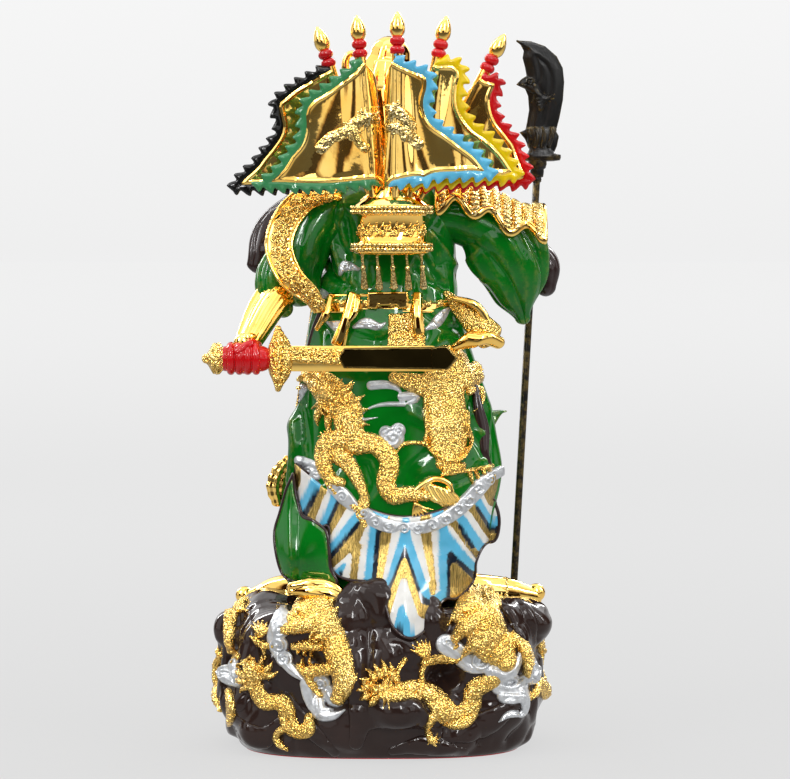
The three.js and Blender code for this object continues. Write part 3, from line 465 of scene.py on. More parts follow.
def grid_over(low, top, cell):
    return np.meshgrid(np.arange(low[0], top[0] + cell, cell), np.arange(low[1], top[1] + cell, cell))


def corners(grid):
    """The four corners of each cell of a grid."""
    return grid[:-1, :-1], grid[1:, :-1], grid[:-1, 1:], grid[1:, 1:]


def trimmed(x, z, far, cell):
    """A grid whose points near an outline are moved onto it, these points, and the cells inside."""
    slope_z, slope_x = np.gradient(far, cell)
    steep = np.maximum(slope_x**2 + slope_z**2, 0.25)
    near = EDGE_SHARE * cell
    edge = np.abs(far) < near
    x = np.where(edge, x - far * slope_x / steep, x)
    z = np.where(edge, z - far * slope_z / steep, z)
    keep = np.logical_and.reduce(corners(far < near)) & (sum(corners(far)) / 4 < 0)
    return x, z, edge, keep


def carve(cast, ground, drawing, cell, facing=BACK, grain=0.0, sink=1.2, seed=1, lift=0.0, passes=4):
    """Adds a drawing as a closed relief that lies on a surface."""
    x, z = grid_over(*drawing.box(), cell)
    far, rise = drawing(x, z)
    x, z, edge, keep = trimmed(x, z, far, cell)
    used = np.zeros(x.shape, bool)
    for rows in (slice(None, -1), slice(1, None)):
        for columns in (slice(None, -1), slice(1, None)):
            used[rows, columns] |= keep
    hit, way, there = lie(ground, np.where(used, x, np.nan), z, facing, passes)
    keep &= np.logical_and.reduce(corners(there))
    rough = np.random.default_rng(seed).uniform(-0.4, 0.4, x.shape) * grain
    if grain:
        rough = rough + 0.9 * grain * noise(np.stack([x, z], -1), 1.5, seed)
    rise = np.where(edge, 0.05, rise + lift + rough * smooth(-far, 0.5, 2.0))
    front = np.nan_to_num(hit + way * rise[..., None])
    back = np.nan_to_num(hit - way * sink)
    if keep.any():
        cast.cells(front, back, keep)
    return cast


# Finishes


def fill(tree, made, inputs):
    """Links or sets the inputs of a node."""
    for key, value in inputs.items():
        if isinstance(value, bpy.types.NodeSocket):
            tree.links.new(value, made.inputs[key])
        else:
            made.inputs[key].default_value = value
    return made


def put(tree, kind, inputs=None, **settings):
    """A node with its settings, and its inputs linked or set."""
    made = tree.nodes.new(kind)
    for key, value in settings.items():
        setattr(made, key, value)
    return fill(tree, made, inputs or {})


def object_place(tree):
    return put(tree, "ShaderNodeTexCoord").outputs["Object"]


def effect(name, inputs, outputs, build):
    """A shader group; build gets its tree and inputs and returns the sockets that it puts out."""
    tree = bpy.data.node_groups.new(name, "ShaderNodeTree")
    kinds = {"c": "NodeSocketColor", "f": "NodeSocketFloat"}
    for label, default in inputs.items():
        kind = kinds["c" if np.ndim(default) else "f"]
        tree.interface.new_socket(name=label, in_out="INPUT", socket_type=kind).default_value = default
    for label, kind in outputs.items():
        tree.interface.new_socket(name=label, in_out="OUTPUT", socket_type=kinds[kind])
    start, end = tree.nodes.new("NodeGroupInput"), tree.nodes.new("NodeGroupOutput")
    for label, socket in build(tree, start.outputs, object_place(tree)).items():
        tree.links.new(socket, end.inputs[label])


def blend_colours(tree, amount, a, b, mode="MIX"):
    return put(tree, "ShaderNodeMix", {0: amount, 6: a, 7: b}, data_type="RGBA", blend_type=mode).outputs[2]


def noise_of(tree, place, scale, detail, rough=0.5):
    inputs = {"Vector": place, "Scale": scale, "Detail": detail, "Roughness": rough}
    return put(tree, "ShaderNodeTexNoise", inputs).outputs["Fac"]


def ranged(tree, value, low, high, to_low=0.0, to_high=1.0):
    inputs = {"Value": value, "From Min": low, "From Max": high, "To Min": to_low, "To Max": to_high}
    return put(tree, "ShaderNodeMapRange", inputs).outputs[0]


def sums(tree, operation, a, b):
    return put(tree, "ShaderNodeMath", {0: a, 1: b}, operation=operation).outputs[0]


def times(tree, a, b):
    return sums(tree, "MULTIPLY", a, b)


def grey(tree, value):
    return put(tree, "ShaderNodeCombineColor", {0: value, 1: value, 2: value}).outputs[0]


def stretched(tree, place, height):
    """The place with its height counted less, so that patterns run upwards."""
    return put(tree, "ShaderNodeMapping", {"Vector": place, "Scale": (1.0, 1.0, height)}).outputs["Vector"]


def build_effects():
    def enamel(tree, given, place):
        pool = ranged(tree, noise_of(tree, place, given["Cloud scale"], 3.0), 0.35, 0.7)
        fine = noise_of(tree, place, 900.0, 2.0)
        return {
            "Color": blend_colours(tree, pool, given["Colour"], given["Pooled colour"]),
            "Roughness": ranged(tree, fine, 0.3, 0.7, 0.05, 0.1),
            "Height": noise_of(tree, place, given["Unevenness scale"], 2.0),
        }

    def gilding(tree, given, place):
        broad = ranged(tree, noise_of(tree, place, 45.0, 2.0), 0.35, 0.7)
        fine = noise_of(tree, place, 1400.0, 2.0)
        return {
            "Color": blend_colours(tree, broad, given["Bright"], given["Warm"]),
            "Roughness": ranged(tree, fine, 0.3, 0.75, given["Smoothest"], given["Roughest"]),
        }

    def grains(tree, given, place):
        cells = put(tree, "ShaderNodeTexVoronoi", {"Vector": place, "Scale": given["Scale"]}, feature="F1")
        dust = noise_of(tree, place, given["Scale"], 1.0)
        height = sums(tree, "ADD", cells.outputs["Distance"], dust)
        # Mask for painted shade in the grains' pits: the gold is darkened where the grain pattern is high
        pit_shade = ranged(tree, height, 0.85, 1.15)
        return {"Height": height, "Pits": pit_shade}

    def worn(tree, given, place):
        point = put(tree, "ShaderNodeNewGeometry").outputs["Pointiness"]
        edge = ranged(tree, point, given["From"], given["To"])
        patch = ranged(tree, noise_of(tree, place, 260.0, 4.0, 0.7), 0.42, 0.62)
        return {"Mask": times(tree, edge, patch)}

    effect(
        "Enamel coat",
        {
            "Colour": (0, 0.2, 0, 1), "Pooled colour": (0, 0.1, 0, 1), "Cloud scale": 30.0,
            "Unevenness scale": 120.0
        },
        {"Color": "c", "Roughness": "f", "Height": "f"}, enamel
    )
    effect(
        "Gold plating",
        {"Bright": (1, 0.7, 0.2, 1), "Warm": (1, 0.5, 0.1, 1), "Smoothest": 0.05, "Roughest": 0.1},
        {"Color": "c", "Roughness": "f"},
        gilding,
    )
    effect("Grains", {"Scale": 900.0}, {"Height": "f", "Pits": "f"}, grains)
    effect("Edge wear", {"From": 0.52, "To": 0.6}, {"Mask": "f"}, worn)


def use(tree, name, **values):
    """An effect's outputs in a material, with its values given by name."""
    made = tree.nodes.new("ShaderNodeGroup")
    made.node_tree = bpy.data.node_groups[name]
    return fill(
        tree, made, {key.replace("_", " ").capitalize(): value for key, value in values.items()}
    ).outputs


def start_material(name, inputs):
    """A new material's tree, and its shader with some inputs set."""
    material = bpy.data.materials.new(name)
    material.use_nodes = True
    tree = material.node_tree
    shader = tree.nodes["Principled BSDF"]
    return tree, fill(tree, shader, inputs)


def bumped(tree, shader, height, distance):
    made = put(tree, "ShaderNodeBump", {"Height": height, "Distance": distance})
    tree.links.new(made.outputs["Normal"], shader.inputs["Normal"])


def opaque(colour):
    return (*colour[:3], 1.0)


def enamel_material(name, colour, deep, wear=0.0, bump_depth=0.00012, shine=0.36):
    colour = np.array(colour[:3])
    tree, shader = start_material(name, {"Specular IOR Level": shine})
    coat_of = use(tree, "Enamel coat", colour=opaque(colour), pooled_colour=opaque(colour * deep))
    shown = coat_of["Color"]
    if wear:
        rub = times(tree, use(tree, "Edge wear", **{"from": 0.505, "to": 0.55})["Mask"], wear)
        shown = blend_colours(tree, rub, shown, opaque(bpy.context.scene.statue.gold))
        fill(tree, shader, {"Metallic": rub})
    fill(tree, shader, {"Base Color": shown, "Roughness": coat_of["Roughness"]})
    bumped(tree, shader, coat_of["Height"], bump_depth)


def gold_material(name, bright, warm, rough, grain=0.0, metal=1.0):
    tree, shader = start_material(name, {"Metallic": metal})
    plate = use(
        tree, "Gold plating", bright=opaque(bright), warm=opaque(warm), smoothest=rough[0], roughest=rough[1]
    )
    shown = plate["Color"]
    if grain:
        grit = use(tree, "Grains")
        # Painted shade: the gold is darkened in the grains' pits
        shown = blend_colours(tree, grit["Pits"], shown, opaque(np.array(warm[:3]) * 0.45))
        bumped(tree, shader, grit["Height"], grain)
    else:
        bumped(tree, shader, noise_of(tree, object_place(tree), 160.0, 2.0), 0.0001)
    fill(tree, shader, {"Base Color": shown, "Roughness": plate["Roughness"]})


def striped_material(name, gold):
    """Painted stripes: the paint attribute holds a colour, and 1 in its fourth number for bare gold."""
    tree, shader = start_material(name, {"Specular IOR Level": 0.36})
    paint = put(tree, "ShaderNodeAttribute", attribute_name="paint")
    place = object_place(tree)
    bare = ranged(tree, paint.outputs["Alpha"], 0.42, 0.58)
    # Fine lines along the height, as a file leaves them
    lines = noise_of(tree, stretched(tree, place, 0.06), 1500.0, 3.0, 0.7)
    gilt = blend_colours(tree, ranged(tree, lines, 0.35, 0.6), opaque(gold * 0.13), opaque(gold * 0.8))
    shade = grey(tree, ranged(tree, noise_of(tree, place, 90.0, 2.0), 0.3, 0.7, 0.82, 1.0))
    flat = blend_colours(tree, 1.0, paint.outputs["Color"], shade, "MULTIPLY")
    fill(tree, shader, {
        "Base Color": blend_colours(tree, bare, flat, gilt), "Metallic": bare,
        "Roughness": ranged(tree, bare, 0.0, 1.0, 0.1, 0.3),
    })
    bumped(tree, shader, times(tree, lines, bare), 0.0006)


def silver_material(name, colour):
    colour = np.array(colour[:3])
    tree, shader = start_material(name, {"Metallic": 0.5, "Specular IOR Level": 0.3})
    place = object_place(tree)
    cloud = ranged(tree, noise_of(tree, place, 220.0, 3.0), 0.35, 0.65)
    fill(tree, shader, {
        "Base Color": blend_colours(tree, cloud, opaque(colour * 0.8), opaque(np.minimum(colour * 1.1, 1))),
        "Roughness": ranged(tree, cloud, 0, 1, 0.28, 0.4),
    })
    bumped(tree, shader, noise_of(tree, place, 1500.0, 3.0), 0.00008)


def black_steel(name, colour, gold):
    """Black paint over metal, rubbed through to gold in flecks."""
    tree, shader = start_material(name, {"Specular IOR Level": 0.25})
    mapped = stretched(tree, object_place(tree), 0.35)
    flecks = ranged(tree, noise_of(tree, mapped, 320.0, 5.0, 0.75), 0.66, 0.76)
    rub = use(tree, "Edge wear", **{"from": 0.52, "to": 0.6})["Mask"]
    both = sums(tree, "MAXIMUM", times(tree, flecks, 0.25), times(tree, rub, 0.4))
    fill(tree, shader, {
        "Base Color": blend_colours(tree, both, opaque(colour), opaque(gold * 0.45)), "Metallic": both,
        "Roughness": ranged(tree, flecks, 0, 1, 0.3, 0.42),
    })
    bumped(tree, shader, noise_of(tree, mapped, 700.0, 4.0), 0.0002)


def make_finishes(look):
    build_effects()
    enamel_material("green_glaze", look.green, 0.6, wear=0.3)
    enamel_material("rock_glaze", look.rock_brown, 0.7, bump_depth=0.0002, shine=0.27)
    for name, paint, deep in (
        ("lining_glaze", look.lining_brown, 0.75), ("black_glaze", look.black, 0.8),
        ("sage_glaze", look.sage, 0.8), ("sky_glaze", look.sky_blue, 0.9),
        ("yellow_glaze", look.yellow, 0.92), ("red_glaze", look.red, 0.75), ("white_glaze", look.white, 0.9)
    ):
        enamel_material(name, paint, deep)
    gold = np.array(look.gold)
    warm = gold * [1, 0.85, 0.6]
    gold_material("gold_mirror", gold, warm, (0.05, 0.09))
    gold_material("gold_carved", gold * [1, 1.05, 1.25], gold * [1, 0.92, 0.75], (0.04, 0.08), 0.0007)
    gold_material("gold_cloth", gold, warm, (0.05, 0.09), metal=0.94)
    # The sword's inset: gold darkened to paint in the dark reflection that its mirror face shows
    gold_material("gold_shaded", gold * 0.2, gold * 0.12, (0.04, 0.07))
    gold_material("gold_pale", look.pale_gold, gold, (0.14, 0.25), 0.0002)
    silver_material("silver_pearl", look.silver)
    black_steel("halberd_black", look.black, gold)
    striped_material("striped_paint", gold)
    start_material("red_rim", {"Base Color": (0.5, 0.01, 0.02, 1), "Roughness": 0.4})


# What the sidebar sets


def colour(name, description, default):
    return bpy.props.FloatVectorProperty(
        name=name, description=description, default=default, size=3, subtype="COLOR"
    )


def length(name, description, default, low, high):
    return bpy.props.FloatProperty(
        name=name, description=description, default=default, min=low, max=high, unit="LENGTH"
    )


class StatueLook(bpy.types.PropertyGroup):
    gold: colour("Gold", "Colour of the plating", (1.0, 0.69, 0.2))
    pale_gold: colour("Pale gold", "Colour of the beads and tassels", (1.0, 0.82, 0.42))
    green: colour("Green", "Enamel of the robe", (0.002, 0.2, 0.012))
    rock_brown: colour("Rock brown", "Enamel of the rock", (0.033, 0.0185, 0.0155))
    lining_brown: colour("Lining brown", "Enamel of the linings", (0.04, 0.022, 0.021))
    black: colour("Black", "Black paint", (0.008, 0.008, 0.008))
    sage: colour("Sage", "Border of the second pennant", (0.055, 0.29, 0.11))
    sky_blue: colour("Sky blue", "Border of the middle pennant and stripes", (0.13, 0.56, 0.85))
    yellow: colour("Yellow", "Border of the fourth pennant", (1.0, 0.68, 0.004))
    red: colour("Red", "Fists, collars and the border of the last pennant", (0.76, 0.008, 0.012))
    white: colour("White", "White of the stripes and eyes", (0.95, 0.94, 0.9))
    navy: colour("Navy", "Dark stripes", (0.012, 0.02, 0.035))
    silver: colour("Silver", "Clouds and scrolls", (0.62, 0.64, 0.66))


class StatueCarving(bpy.types.PropertyGroup):
    cell: length("Carving cell", "Distance between the points of a relief", 0.0005, 0.0003, 0.002)
    kept: bpy.props.FloatProperty(
        name="Kept faces",
        description="Share of a large piece's faces that is kept, the flattest going first", default=0.38,
        min=0.1, max=1.0, subtype="FACTOR"
    )
    rock_cell: length(
        "Rock cell", "Size of the cells that melt the rock's lumps together", 0.0015, 0.0008, 0.004
    )
    bead: length("Bead", "Radius of a bead on the drum's rims", 0.00155, 0.0005, 0.003)
    scale_rows: bpy.props.IntProperty(
        name="Scale rows", description="Rows of scales over the shoulder cape", default=10, min=4, max=20
    )
    tooth: length("Tooth", "How far a tooth stands out of a pennant's border", 0.0036, 0.001, 0.006)
    tooth_pitch: length("Tooth pitch", "Distance between two teeth", 0.0078, 0.003, 0.02)


# The rock

ROCK = (106, 75, 104)
ROCK_ROWS = [
    (0.86, 0), (0.94, 0.09), (0.985, 0.28), (1, 0.52), (0.985, 0.74), (0.91, 0.9), (0.8, 0.985), (0.5, 0.99),
    (0.15, 1),
]
# Place in shares of the rock, and radii
ROCK_HUMPS = [
    ((-0.08, -0.78, 0.88), (25, 13, 27)), ((-0.36, -0.78, 0.8), (20, 13, 13)),
    ((0.29, -0.82, 0.82), (13, 11, 23)), ((0.54, -0.72, 0.78), (20, 15, 20)),
    ((0.86, -0.16, 0.76), (17, 22, 19)), ((-0.86, -0.26, 0.72), (18, 23, 14)),
    ((-0.6, 0.62, 0.7), (28, 20, 24)), ((0.64, 0.64, 0.7), (28, 18, 24))
]
# Lumps and hollows on the rock's walls: x, z, radius, how far it stands out, and the wall
ROCK_MARKS = [
    (12, 30, 16, 7, -1), (41.9, 53.6, 8.5, -15, -1), (12, 56, 15, -3.5, -1), (-12, 60, 12, 3, -1),
    (-27, 20, 16, 2.5, -1), (-64, 62, 12, -3, -1), (50, 8, 14, 2.5, -1), (-8, 12, 13, -2, -1),
    (84, 84, 12, -4, -1), (-34, 45, 9, -3, -1), (24, 72, 9, 3, -1), (65, 12, 12, -2.5, -1),
    (-84, 22, 10, 3, -1), (96, 40, 14, -2.5, -1), (-96, 60, 12, -3, -1), (30, 40, 20, 3, 1),
    (-40, 55, 16, -4, 1), (-8, 70, 14, 3, 1), (60, 22, 16, 3, 1), (-72, 30, 16, 3.5, 1), (8, 18, 13, -3, 1),
]

# Crags on the rock's back: a line, the half widths along it and the heights
ROCK_RIDGES = [
    ([(-7.4, 27.2), (2.2, 33), (15, 33), (25.2, 27.2)], [7, 12, 12, 7], [3, 6.5, 6.5, 3]),
    ([(-19.6, 54), (-13.2, 33), (-16.1, 12.1)], [4, 8, 5], [1, 3.6, 1]),
    ([(32.6, 16.9), (63, 20.8), (87, 36.2)], [4, 9, 5], [1, 4, 1.5]),
    ([(-95.5, 21.7), (-77.9, 12.1), (-65.1, 23.4)], [4, 8, 4], [1, 3.2, 1]),
    ([(-88.9, 90.9), (-85.8, 62), (-93.2, 33)], [4, 8, 5], [1, 3.6, 1]),
    ([(-61.9, 41.1), (-49.1, 23.4), (-29.9, 4)], [3, 6, 3], [0.8, 2.8, 0.8]),
    ([(7, 5.6), (27.8, 9.8), (53.4, 4)], [3, 7, 3], [0.8, 3, 0.8]),
    ([(78.9, 100.6), (91.7, 87.7), (96.6, 71.7)], [5, 9, 5], [2, 4.5, 2]),
]


def rock_point(angle, level):
    """A place on the rock's plain lump, level from its foot to its top."""
    spread, height = columns(between(ROCK_ROWS, level))
    x, y = oval(angle, ROCK[0], ROCK[1], 2.7)
    wall = smooth(level, 0.02, 0.2) * (1 - smooth(level, 0.7, 0.95))
    lumps = 0.022 * np.cos(5 * angle + 1 + 5 * level) + 0.02 * np.cos(8 * angle + 2.4 - 6 * level)
    swell = spread * (1 + wall * lumps)
    mounds = 3 * np.cos(4 * angle + 0.6) * smooth(level, 0.6, 0.85) * (1 - smooth(level, 0.85, 1))
    return at(x * swell, y * swell, np.maximum(0, height * ROCK[2] * 0.95 + mounds))


def melted(cast, cell, turns):
    """The parts of a cast melted into one skin, as points and square faces."""
    mesh = bpy.data.meshes.new("melting")
    mesh.from_pydata(np.concatenate(cast.points).tolist(), [], cast.faces)
    lump = placed("melting", mesh)
    remesh = lump.modifiers.new("melt", "REMESH")
    remesh.mode, remesh.voxel_size = "VOXEL", cell
    soft = lump.modifiers.new("soften", "SMOOTH")
    soft.factor, soft.iterations = 0.5, turns
    bpy.context.view_layer.update()
    shape = worked_out(lump)
    points, normals = (read_out(shape.vertices, key, 3).astype(float) for key in ("co", "normal"))
    ids = read_out(shape.loops, "vertex_index", 1, np.int32)
    bpy.data.objects.remove(lump)
    bpy.data.meshes.remove(mesh)
    bpy.data.meshes.remove(shape)
    if len(ids) % 4:
        raise RuntimeError("the melted skin is not made of square faces")
    return points, ids.reshape(-1, 4), normals


def rock_cast():
    level = np.linspace(0, 1, 60)[:, None]
    angle = around(140)[None]
    lumps = Cast().round(rock_point(angle, level))
    for share, radii in ROCK_HUMPS:
        lumps.dome(np.array(share) * ROCK, radii)
    points, faces, normals = melted(lumps, settings().rock_cell / MM, 14)
    above = smooth(points[:, 2], 1, 9)
    folds = np.abs(noise(points, 27, 4)) * 8.5 - 3.0 + np.abs(noise(points, 12, 9)) * 2.6 - 0.8
    for x, z, radius, out, side in ROCK_MARKS:
        near = bump(np.hypot(points[:, 0] - x, points[:, 2] - z), 0, radius)
        folds = folds + out * near * smooth(side * points[:, 1], 15, 35)
    points = points + normals * (folds * above)[:, None]
    points[:, 2] = np.maximum(points[:, 2], 0)
    low, high = np.array([-110.8, -82.8, 0]), np.array([118, 80.2, 200])
    return Cast().add(np.clip(points, low, high), [faces])


def turned(direction, by):
    c, s = math.cos(by), math.sin(by)
    return np.array([c * direction[0] - s * direction[1], s * direction[0] + c * direction[1]])


def flame(drawing, start, direction, length, wide, high, bend=0.5):
    """A tuft that tapers to a bent point."""
    start, direction = np.array(start, float), np.array(direction, float)
    side = turned(direction, np.pi / 2)
    middle = start + direction * length * 0.55 + side * bend * length * 0.1
    end = start + direction * length + side * bend * length * 0.45
    drawing.stroke([start, middle, end], [wide, wide * 0.8, wide * 0.12], [high, high * 0.9, high * 0.35])


def tufts(drawing, rows, long, wide, high, shorter=0.0):
    """Tufts from rows that hold a place and a way."""
    for k, (x, z, ahead, up) in enumerate(rows):
        flame(drawing, (x, z), unit((ahead, up)), long - shorter * k, wide, high)


def mane(drawing, start, end, count, way, *shape):
    """Tufts side by side along a line."""
    for k in range(count):
        flame(drawing, lerp(start, end, k / (count - 1)), unit(way), *shape)


def fan(drawing, start, way, step, length, wide, high, bend=0.4):
    """Six tufts that spread from one place."""
    for k in range(6):
        flame(drawing, start, turned(way, step * (k - 2.5)), length, wide, high, bend)


def claw(drawing, wrist, direction, size, high):
    """A foot with four hooked toes and a back claw."""
    for by in (-0.95, -0.35, 0.25, 0.85):
        way = turned(direction, by)
        knuckle = wrist + way * size * 0.75
        tip = wrist + turned(direction, by + 0.28) * size * 1.5
        drawing.stroke(
            [wrist, knuckle, tip], [size * 0.3, size * 0.24, size * 0.06], [high, high * 1.1, high * 0.4]
        )
    flame(drawing, wrist, -turned(direction, 0.9), size * 1.1, size * 0.22, high * 0.8)


def dragon_head(drawing, middle, look, size, high, way):
    """A skull with snout, jaw, eye, horns, whiskers and a mane; way says which side is up."""
    up = turned(look, way * np.pi / 2)
    spot = lambda ahead, above: middle + (look * ahead + up * above) * size
    for k, by in enumerate(np.linspace(-1.25, 1.2, 9)):
        back = turned(-look, by)
        long = size * (1.5 + 0.35 * math.sin(2.1 * k))
        flame(
            drawing, spot(-0.1, 0) + back * size * 0.35, back, long, size * 0.24, high * 0.85,
            0.8 * np.sign(by)
        )
    for above in (0.25, 0.6):
        drawing.stroke(
            [spot(-0.1, above), spot(-0.9, above + 0.75), spot(-1.75, above + 0.7)],
            [size * 0.2, size * 0.16, size * 0.05], [high, high, high * 0.5],
        )
    drawing.stroke(
        [spot(-0.6, 0), spot(0.1, 0.1), spot(0.8, 0.1)], [size * 0.62, size * 0.78, size * 0.5], high * 1.25
    )
    drawing.stroke(
        [spot(0.5, 0.12), spot(1.15, 0.3), spot(1.75, 0.5)], [size * 0.42, size * 0.34, size * 0.3],
        [high * 1.2, high * 1.15, high * 1.3],
    )
    drawing.stroke(
        [spot(0.2, -0.4), spot(0.95, -0.5), spot(1.5, -0.3)], [size * 0.3, size * 0.26, size * 0.14],
        [high, high, high * 0.7],
    )
    drawing.stroke([spot(0.25, 0.5), spot(0.6, 0.55)], [size * 0.24, size * 0.2], [high * 1.75, high * 1.6])
    drawing.curl(*spot(1.8, 0.5), size * 0.3, high * 1.6, way, 0.4 * size)
    for reach, drop in ((2.1, -0.8), (2, 1.1)):
        drawing.stroke(
            [spot(1.5, 0.15), spot(1.9, drop * 0.35), spot(reach, drop), spot(reach - 0.5, drop * 1.25)],
            [size * 0.2, size * 0.17, size * 0.14, size * 0.08], high * 0.8,
        )
    for k in range(3):
        flame(
            drawing, spot(0.3 + 0.4 * k, -0.6), turned(-up, 0.35 * way), size * 0.8, size * 0.16,
            high * 0.7, way
        )


# A dragon's girth at its tail, as a share of its girth at the middle
TAIL_GIRTH = 0.25


def dragon(path, wide, high, head, way, legs=()):
    """A dragon's relief: path runs from the neck to the tail, legs are joints that end in a claw."""
    made = Drawing()
    path = np.array(path, float)
    length = np.linalg.norm(np.diff(path, axis=0), axis=1).sum()
    count = max(6, int(length / (wide * 0.42)))
    line = evenly(path, count)
    along = unit(np.gradient(line, axis=0))
    for k in range(2, count - 1):
        girth = wide * lerp(1, TAIL_GIRTH, max(0, (k / count - 0.55) / 0.45))
        out = turned(along[k], way * np.pi / 2)
        fin = line[k] + out * girth * 0.75
        flame(made, fin, unit(out + along[k] * 0.7), girth * 0.6, girth * 0.3, high * 0.5, 0.6 * way)
    made.stroke(
        path, [wide * 0.85, wide, wide, wide * 0.85, wide * TAIL_GIRTH],
        [high, high, high, high * 0.9, high * 0.55], scales=wide * 0.36
    )
    for joints in legs:
        joints = np.array(joints, float)
        made.stroke(
            joints, [wide * 0.55, wide * 0.42, wide * 0.28], [high * 0.9, high * 0.8, high * 0.6],
            scales=wide * 0.3
        )
        step = unit(joints[-1] - joints[-2])
        claw(made, joints[-1], step, wide * 0.62, high * 0.55)
        for by in (-0.5, 0.1, 0.6):
            flame(made, joints[-2], turned(-step, by), wide * 1, wide * 0.18, high * 0.5, by)
    dragon_head(made, path[0], unit(path[0] - path[1]), wide * head, high, way)
    return made


def cloud(curls, tails, high=2.2):
    """Curled puffs with trailing wisps."""
    made = Drawing()
    for points, wide in tails:
        made.stroke(
            points, [wide, wide * 0.95, wide * 0.6, wide * 0.1],
            [high * 0.85, high * 0.8, high * 0.6, high * 0.3]
        )
        inner = np.array(points, float)
        made.stroke(
            inner, [wide * 0.4, wide * 0.36, wide * 0.22, 0.3],
            [high * 1.25, high * 1.15, high * 0.8, high * 0.3]
        )
    for k, (x, z, radius) in enumerate(curls):
        made.curl(x, z, radius, high * (1 + 0.06 * radius), flip(k), max(2.6, radius * 0.5))
    return made


def build_rock():
    cast = rock_cast()
    crags = Drawing()
    for points, wide, high in ROCK_RIDGES:
        crags.stroke(points, wide, high)
    carve(cast, cast.ground(), crags, 0.8, sink=3, passes=40)
    ground = cast.ground()
    cast.make("rock", "rock_glaze", replaces="general_on_rock")
    rim = rock_point(around(160)[None], np.zeros((1, 1)))[0]
    line = np.stack([rim * [1, 1, 0] + [0, 0, z] for z in (0, 0.25, 0.9, 1)])
    line[[0, 3]] *= [0.99, 0.99, 1]
    Cast().round(line).make("rock_foot_line", "red_rim")
    return ground


def climbing_dragon():
    """The dragon that climbs up the rock's left corner."""
    made = Drawing()
    made.stroke(
        [
            (-83, 54.3), (-81.3, 45.9), (-76.2, 36.6), (-68.9, 36.6), (-62.1, 35), (-60.3, 25.3),
            (-55.5, 18.6), (-47.5, 20.1), (-46.2, 27.9)
        ],
        [4.6, 5.4, 5.6, 5.4, 5.8, 6, 5.6, 5, 3.4], 4.2, scales=2.4
    )
    made.stroke([(-61.9, 20.1), (-67.7, 15), (-66.8, 9.8), (-60.4, 5.7)], [3.4, 2.6, 2.6, 0.8], 3)
    tufts(
        made,
        [
            (-85.5, 57.5, -0.6, 0.9), (-82.3, 59.4, -0.1, 1), (-78.5, 58.8, 0.4, 1),
            (-74.6, 56.9, 0.8, 0.7), (-73.4, 53.6, 1, 0.2), (-88.1, 53.6, -1, 0.4), (-88.7, 49.8, -1, -0.1),
            (-86.8, 45.9, -0.9, -0.6)
        ],
        7.5, 2.3, 3.6
    )
    dragon_head(made, (-82.3, 54.3), unit([-0.65, 0.75]), 5.2, 4.2, -1)
    return made


def walking_dragon():
    """The dragon that walks along the rock's back."""
    made = Drawing()
    made.stroke(
        [
            (-0.4, 45.9), (8.6, 45.3), (18.8, 47.2), (27.8, 45.3), (36.1, 38.2), (43.2, 29.2), (52.1, 27.9),
            (57.9, 35.6), (59.8, 45.3), (71.3, 50.8)
        ],
        [4.6, 5.4, 5.8, 6, 7.4, 8, 7.4, 6.4, 6.4, 5.6], 4.4, scales=2.5
    )
    made.stroke([(26.5, 46.6), (25.5, 56.2), (27.8, 63.9)], [2.4, 1.8, 2.4], 3.2)
    made.stroke([(27.8, 63.3), (36.7, 65.2), (48.3, 64.6)], [3, 3.4, 2.6], 3.4, scales=2)
    for k in range(6):
        flame(made, (28.4, 67.1), turned((-0.25, 1), 0.26 * (k - 2.5)), 13 - abs(k - 3), 1.9, 3.2, 0.4)
    made.stroke([(34.2, 30.4), (29.7, 20.1), (31.7, 13.7)], [3.4, 2.2, 2.6], 3.2)
    claw(made, (32.3, 13.7), unit([0.9, -0.25]), 3.8, 3)
    made.stroke([(9.9, 52.3), (10.5, 59.4), (15, 65.9)], [2.2, 1.6, 1.8], 3)
    tufts(
        made,
        [
            (6.7, 54.9, 0.1, 1), (2.8, 57.5, -0.1, 1), (-1, 56.2, -0.3, 1), (-4.2, 54.3, -0.6, 0.9),
            (-6.8, 51.1, -0.8, 0.6), (-8.7, 47.2, -1, 0.2), (-8.1, 43.3, -1, -0.2), (-4.2, 40.8, -0.8, -0.7)
        ],
        9.5, 2.5, 4, 0.5
    )
    dragon_head(made, (-0.4, 47.2), unit([-1, -0.05]), 5.6, 4.6, -1)
    return made


